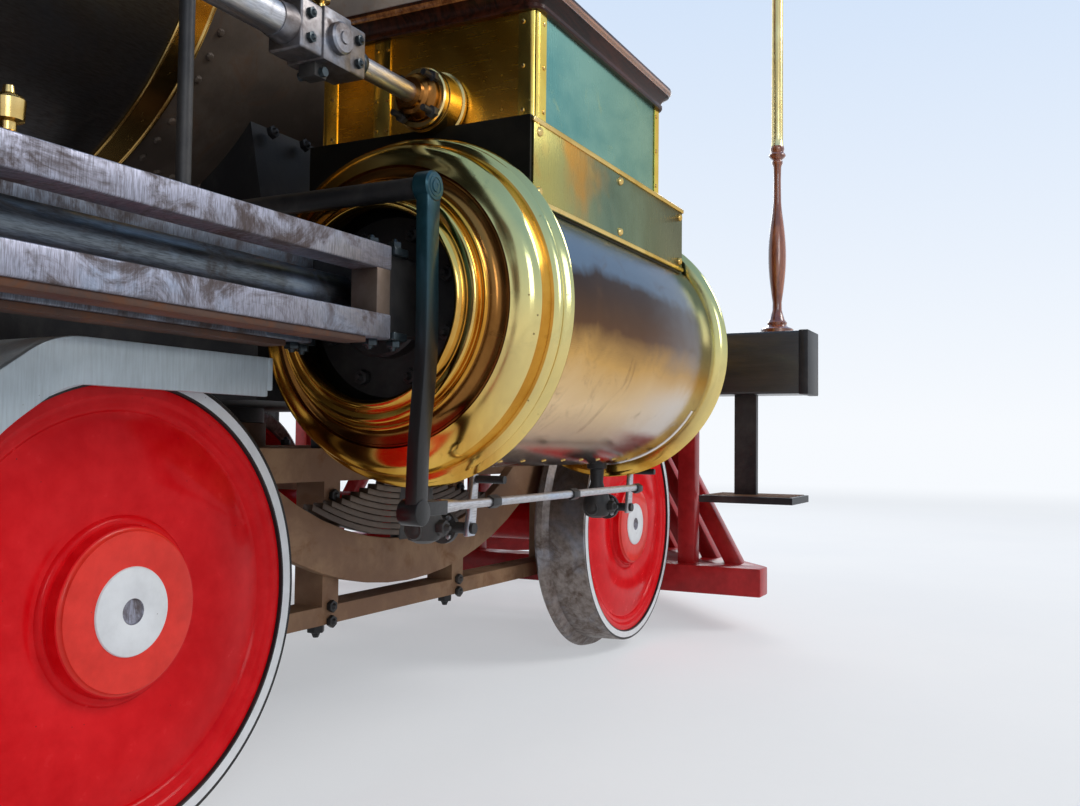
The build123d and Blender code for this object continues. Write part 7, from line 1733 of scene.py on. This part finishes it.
# Backhead: throttle, gauge, try cocks, water glass, valves and pipes, reversing lever, seat boxes
def makeBackhead():
    back = {"x": -3.05, "throttle": 2.138, "gauge": (0.25, 2.058),
            "cocks": ((-0.33, 1.718), (-0.38, 1.838), (-0.42, 1.958))}
    x, top = back["x"] - 0.0004, back["throttle"]
    piece = Piece("backheadFittings", "blackIron", "fittingBrass", "rodSteel", "dialFace", "trimWood",
                  "cabWood", "lensGlass", "capBrass")
    piece.lathe(mm((0, 60), (10, 60), (14, 46), (34, 44), (38, 50), (48, 48), (52, 34), (66, 30), (68, 22)),
                (x, 0, top), aft, 40, 1)
    for dy, dz in around(6, 0.052):
        piece.nut((x - 0.01, dy, top + dz), aft, 0.007, 0.008, dome=False)
    piece.rod((x, 0, top), (x - 0.145, 0, top), 0.0205, steps=28, mat=2)
    lever = soften(mm((-405, -13), (-160, -19), (55, -20), (68, 0), (55, 20), (-160, 19), (-405, 13)),
                   0.02, 3, True)
    piece.plate(lever, onFront(x - 0.157, 0, top), 0.014, 0.003, 2)
    grip = mm((0, 10), (10, 13), (50, 17), (100, 15), (115, 10), (118, 0))
    piece.lathe(grip, (x - 0.15, -0.395, top), (-0.05, -0.15, -1), 20, 4)
    piece.nuts((x - 0.158,), (0, -0.12), (top,), aft, 0.014, 0.01)
    gy, gz = back["gauge"]
    piece.lathe(mm((0, 70), (18, 72), (22, 84), (50, 86), (54, 90), (60, 90), (62, 85), (58, 77), (56, 76.5)),
                (x, gy, gz), aft, 64, 1)
    piece.lathe(mm((48, 0), (48, 77.5), (52.5, 77.5), (52.5, 0)), (x, gy, gz), aft, 64, 3)
    hand = mm((-4, -18), (4, -18), (1, 58), (-1, 58))
    piece.plate(hand, onFront(x - 0.0555, gy, gz) @ Matrix.Rotation(radians(38), 4, "Z"), 0.0014, 0, 0)
    piece.lathe(mm((52.5, 6), (57.5, 5), (58, 0)), (x, gy, gz), aft, 16, 1)
    piece.tube([(x - 0.03, gy, gz + 0.08), (x - 0.03, gy, gz + 0.12), (x - 0.02, gy - 0.03, gz + 0.14),
                (x - 0.004, gy - 0.05, gz + 0.12)], 0.006, 10, 7)
    for cy, cz in back["cocks"]:
        piece.lathe(mm((0, 18), (6, 18), (9, 11), (40, 10), (44, 15), (62, 15), (66, 9), (88, 8), (90, 0)),
                    (x, cy, cz), aft, 24, 1)
        piece.lathe(mm((0, 9), (30, 8), (36, 10), (50, 9)), (x - 0.053, cy, cz), below, 16, 1)
        piece.rod((x - 0.084, cy - 0.026, cz), (x - 0.084, cy + 0.026, cz), 0.005, steps=12, mat=2)
        for dy in (-0.028, 0.028):
            piece.ball((x - 0.084, cy + dy, cz), 0.008, 1, 4, 8)
    for z in (1.76, 2.0):                                # water glass
        piece.lathe(mm((0, 20), (6, 20), (10, 12), (40, 12), (44, 18), (66, 18), (70, 10)),
                    (x, -0.2, z), aft, 24, 1)
        piece.lathe(mm((-20, 0), (-20, 13), (20, 13), (20, 0)), (x - 0.055, -0.2, z), above, 16, 1)
    piece.rod((x - 0.055, -0.2, 1.775), (x - 0.055, -0.2, 1.985), 0.0085, steps=20, mat=6)
    valve = mm((0, 26), (8, 26), (12, 16), (50, 16), (54, 22), (74, 22), (78, 10), (110, 8))
    for y, far in ((-0.16, -0.52), (0.14, 0.52)):        # steam valves, their hand wheels and pipes
        z = 2.29
        piece.lathe(valve, (x, y, z), aft, 24, 1)
        piece.tube([(x - 0.112, py, pz) for py, pz in arc(y, z, 0.032, 0, 360, 18)], 0.005, 8)
        for dy, dz in around(4, 0.032):
            piece.rod((x - 0.112, y, z), (x - 0.112, y + dy, z + dz), 0.003, steps=8)
        piece.tube([(x - 0.062, y, z - 0.018), (x - 0.062, y + (far - y) * 0.15, z - 0.05),
                    (x - 0.055, far * 0.85, z - 0.16), (x - 0.04, far, z - 0.34),
                    (x - 0.035, far * 1.06, z - 0.6), (x - 0.035, far * 1.06, 1.2135)], 0.011, 12, 7)
    golden = 2.39996                                     # radians between stay heads, so they spread evenly
    for k in range(44):
        a, r = golden * k, 0.095 * sqrt(k + 3)
        sy, sz = r * cos(a), 1.728 + r * sin(a)
        clear = hypot(sy, sz - 1.458) > 0.26 and hypot(sy - gy, sz - gz) > 0.11
        if sz > 1.24 and clear and hypot(sy, sz - 2.138) > 0.08:
            piece.stud((x, sy, sz), aft, 0.012, 0, 8)
    piece.lathe(mm((0, 212), (4, 228), (10, 224), (10, 204), (0, 204)), (x, 0, 1.458), aft, 64, 0)
    for z0, z1 in ((1.304, 1.3277), (1.5883, 1.612)):
        piece.block((x - 0.048, 0.223, z0), (x, 0.267, z1), 0.003, mat=0)
    # reversing lever with its latch, quadrant and stand
    lx, lz, bx = back["x"] - 0.56, 1.25, back["x"]
    piece.block((lx - 0.18, -0.61, 1.2133), (lx + 0.18, -0.55, 1.303), 0.005)
    sector = arc(lx, lz, 0.42, 62, 118, 12) + arc(lx, lz, 0.385, 118, 62, 12)
    for y in (-0.604, -0.556):
        piece.plate(sector, onSide(y - 0.005), 0.01, 0.001, 2)
        for way in (-1, 1):
            piece.tube([(lx + way * 0.16, y, 1.29), (lx + way * 0.175, y, 1.45), (lx + way * 0.188, y, 1.6)],
                       0.008, 10)
    for tx, tz in arc(lx, lz, 0.421, 64, 116, 12):       # the quadrant's teeth
        piece.block((tx - 0.004, -0.609, tz - 0.004), (tx + 0.004, -0.551, tz + 0.004), 0.001, 1, 2)
    bar = shifted(bx, 0, (-585, 1273), (-535, 1273), (-449, 1900), (-446, 2020), (-458, 2033),
                  (-470, 2020), (-478, 1900))
    piece.plate(bar, onSide(-0.591), 0.022, 0.003, 2)
    piece.tube([(px, -0.58, pz) for px, pz in shifted(bx, 0, (-500, 1700), (-505, 1860), (-512, 1970))],
               0.006, 10, 2)
    piece.lathe(mm((0, 12), (20, 15), (90, 16), (105, 12), (108, 0)), (bx - 0.46, -0.58, 1.925),
                (0.06, 0, 1), 20, 4)
    for s in sides:                                      # seat boxes: panelled wood with a hinged lid
        piece.block((-4.21, s * 0.858, 1.5535), (-3.51, s * 1.202, 1.945), 0.003, 2, 5)
        piece.block((-4.22, s * 0.85, 1.945), (-3.5, s * 1.21, 1.973), 0.008, 4, 4)
        for cx in (-4.04, -3.68):
            piece.trim(boxShape(0.27, 0.28), mm((0, -2), (0, 6), (-12, 8), (-22, -2)),
                       along((cx, s * 0.8575, 1.6), 0, -s), 4)
        for cx in (-4.05, -3.67):
            piece.block((cx - 0.03, s * 1.202, 1.935), (cx + 0.03, s * 1.208, 1.955), 0.001, mat=1)
    piece.done("engine", "backhead_fittings")


def makeFireDoor():
    fire = {"x": -3.056, "z": 1.458, "hinge": 0.245}
    x, z, hinge = fire["x"], fire["z"], fire["hinge"]
    piece = Piece("fireboxDoor", "oilyIron", "rodSteel", "blackIron")
    face = mm((0, 0), (0, 197), (3, 200), (16, 200), (23.5, 194), (23.5, 170), (16, 162), (16, 120),
              (22, 112), (25.5, 100), (25.8, 0))
    piece.lathe(face, (x, 0, z), aft, 72, 2)
    for dy, dz in around(20, 0.182):
        piece.stud((x - 0.0233, dy, z + dz), aft, 0.006, 0, 8)
    strap = mm((-155, -12), (-140, -18), (200, -20), (245, -20), (245, 20), (200, 20), (-140, 18), (-155, 12))
    for level in (z - 0.08, z + 0.08):
        piece.plate(strap, onFront(x - 0.037, 0, level), 0.013, 0.002)
        piece.nuts((x - 0.037,), (-0.12, 0, 0.12), (level,), aft, 0.01, 0.008)
    piece.rod((x - 0.024, hinge, z - 0.13), (x - 0.024, hinge, z + 0.13), 0.014, steps=24, bevel=0.002)
    handle = ((-0.026, -0.15, 0), (-0.06, -0.152, 0), (-0.066, -0.156, -0.01), (-0.066, -0.162, -0.09))
    piece.tube([(x + dx, y, z + dz) for dx, y, dz in handle], 0.007, 12, 1)
    piece.done("firebox_door", "firebox_door")


# Front end: beam with iron caps, plank deck, slatted pilot, coupling pocket, braces and steps
def makeFrontEnd():
    front = {"back": 3.2803, "face": 3.4303, "low": 0.754, "top": 0.953, "half": 1.23}
    x0, x1, z0, z1, half = front["back"], front["face"], front["low"], front["top"], front["half"]
    beam = Piece("bumperBeam", "beamWood", "blackIron")
    beam.block((x0, -half + 0.004, z0), (x1, half - 0.004, z1), 0.007, 3)
    for s in sides:
        beam.block((x0 - 0.002, s * half, z0 - 0.002), (x1 + 0.002, s * (half - 0.03), z1 + 0.002),
                   0.003, 2, 1)
    for y, z in product((-1.16, -0.98, -0.8, -0.68, 0.68, 0.8, 0.98, 1.16), (z0 + 0.05, z1 - 0.05)):
        beam.lathe(mm((0, 22), (3, 22), (4, 14)), (x1, y, z), fore, 24, 1)
        beam.nut((x1 + 0.003, y, z), fore, 0.014, 0.011, 1, 4 if abs(y) > 0.9 else 6)
    beam.done("engine", "bumper_beam")

    deck = Piece("frontDeck", "deckWood", "blackIron")
    planks, wide = 8, 0.94 / 8
    for k in range(planks):
        x = 2.49 + k * wide
        deck.block((x + 0.0015, -0.748, 0.9584), (x + wide - 0.0015, 0.748, 0.99 - 0.0004 * (k % 3)), 0.003)
        for y in (-0.7, -0.56, 0.56, 0.7):
            deck.stud((x + wide / 2, y, 0.9895), above, 0.006, 1, 8)
    deck.done("engine", "front_deck")

    pilot = Piece("pilot", "pilotRed", "blackIron", "frameIron")
    nose, heel, wide = 4.6, 3.3703, 1.08
    shoe = [(nose, 0), (heel, -wide), (heel, 0.173 - wide), (nose - 0.197, 0),
            (heel, wide - 0.173), (heel, wide)]
    pilot.plate(shoe, Matrix.Translation((0, 0, 0.108)), 0.09, 0.006)
    pilot.block((heel - 0.09, -wide, 0.108), (heel, wide, 0.198), 0.005)
    pilot.block((3.4312, -0.62, 0.718), (3.6308, 0.62, 0.908), 0.008, 3)
    for y in (-0.82, 0.0, 0.82):
        pilot.block((heel - 0.05, y - 0.03, 0.148), (heel, y + 0.03, 0.7537), 0.004)
    for k in range(-8, 9):
        foot = Vector((4.525 - 1.1386 * abs(0.122 * k), 0.122 * k, 0.168))
        head = Vector((3.5803, 0.068 * k, 0.848))
        ahead = (head - foot).normalized()
        flat = ahead.cross(Vector(left)).normalized()
        turn = Matrix((flat, ahead.cross(flat), ahead)).transposed().to_4x4()
        middle, size = (foot + head) / 2, Vector((0.07, 0.052, (head - foot).length))
        pilot.block(middle - size / 2, middle + size / 2, 0.006, 2, 0, turn)
        for spot in (foot + ahead * 0.06, head - ahead * 0.09):
            pilot.nut(spot - flat * 0.035, -flat, 0.012, 0.008, 1)
    for s, k in product(sides, range(6)):
        share = (k + 0.5) / 6
        pilot.stud((nose - share * (nose - heel), s * share * wide, 0.153), (0.66, s * 0.751, 0), 0.011, 1, 8)
    pilot.done("engine", "pilot")

    ironwork = Piece("frontIronDetails", "blackIron", "frameIron")
    z = rail + 0.9403
    ironwork.trim(boxShape(0.13, 0.064), mm((1, -1), (1, 10), (38, 10), (44, 4), (44, -1)),
                  onFront(3.6253, 0, z - 0.032))
    ironwork.nuts((3.5253, 3.6053), (-0.09, 0.09), (z + 0.06,), above, 0.013, 0.01)
    for s in sides:
        for k in range(9):                               # ribs of the step's tread
            ironwork.block((3.258 + k * 0.024, s * 0.902, 0.4275),
                           (3.266 + k * 0.024, s * 1.178, 0.43), 0.0008, 1, 1)
        ironwork.nuts((3.3673,), (s * 1.013,), (0.46, 0.56), fore, 0.012, 0.01)
        foot, head = Vector((3.22, s * 0.6, 0.9906)), Vector((2.416, s * 0.6, 1.858))
        lean = (head - foot).normalized()
        stop = foot + (head - foot) * ((3.22 - 2.4475) / 0.804)
        ironwork.lathe(mm((30, 20), (34, 27), (85, 26), (100, 20.5)), foot, lean, 32)
        ironwork.lathe(mm((100, 20.5), (85, 26), (34, 27), (28, 20)), stop, -lean, 32)
        ironwork.lathe(mm((300, 20.3), (304, 24.5), (322, 24.5), (326, 20.3)), foot, lean, 32)
        ironwork.lathe(mm((23.5, 46), (30, 43), (34, 34), (36, 18)), foot, above, 40)
        for dx, dy in around(4, 0.04, 0.5):
            ironwork.nut((foot.x + dx, foot.y + dy, foot.z + 0.0235), above, 0.0085, 0.008)
        ironwork.nuts((2.4703,), (s * 0.6,), (1.828, 1.888), fore, 0.011, 0.009)
    ironwork.done("engine", ())


# Rear end: bolts and caps on the drag beam, ribbed cab steps
def makeRearEnd():
    rear = {"x": -4.5403, "ribs": 8, "step": 0.022}
    x = rear["x"]
    piece = Piece("rearIronwork", "blackIron", "frameIron")
    piece.nuts((x,), (-1.08, -0.92, -0.6, -0.3, 0.3, 0.6, 0.92, 1.08), (0.85, 0.97), aft, 0.016, 0.012)
    place = onFront(x, 0, 0.863) @ Matrix.Diagonal((1, 1, -1, 1))
    piece.trim(boxShape(0.23, 0.09), mm((2, -1), (2, 12), (50, 12), (50, -1)), place)
    for s in sides:
        for z, k in product((0.546, 0.316), range(rear["ribs"])):
            spot = k * rear["step"] - 4.546
            piece.block((spot, s * 0.855, z + 0.0015), (spot + 0.008, s * 1.165, z + 0.0042), 0.0008, 1, 1)
        piece.block((x - 0.002, s * 1.15, 0.786), (-4.379, s * 1.1795, 1.03), 0.003)
        piece.nuts((-4.513,), (s * 1.01,), (0.6, 0.7), aft, 0.01, 0.008)
    piece.done("engine", ())


makeCabTrim()
makeRoof()
makeCabDoors()
makeBackhead()
makeFireDoor()
makeFrontEnd()
makeRearEnd()
print("the cab and both ends are dressed")
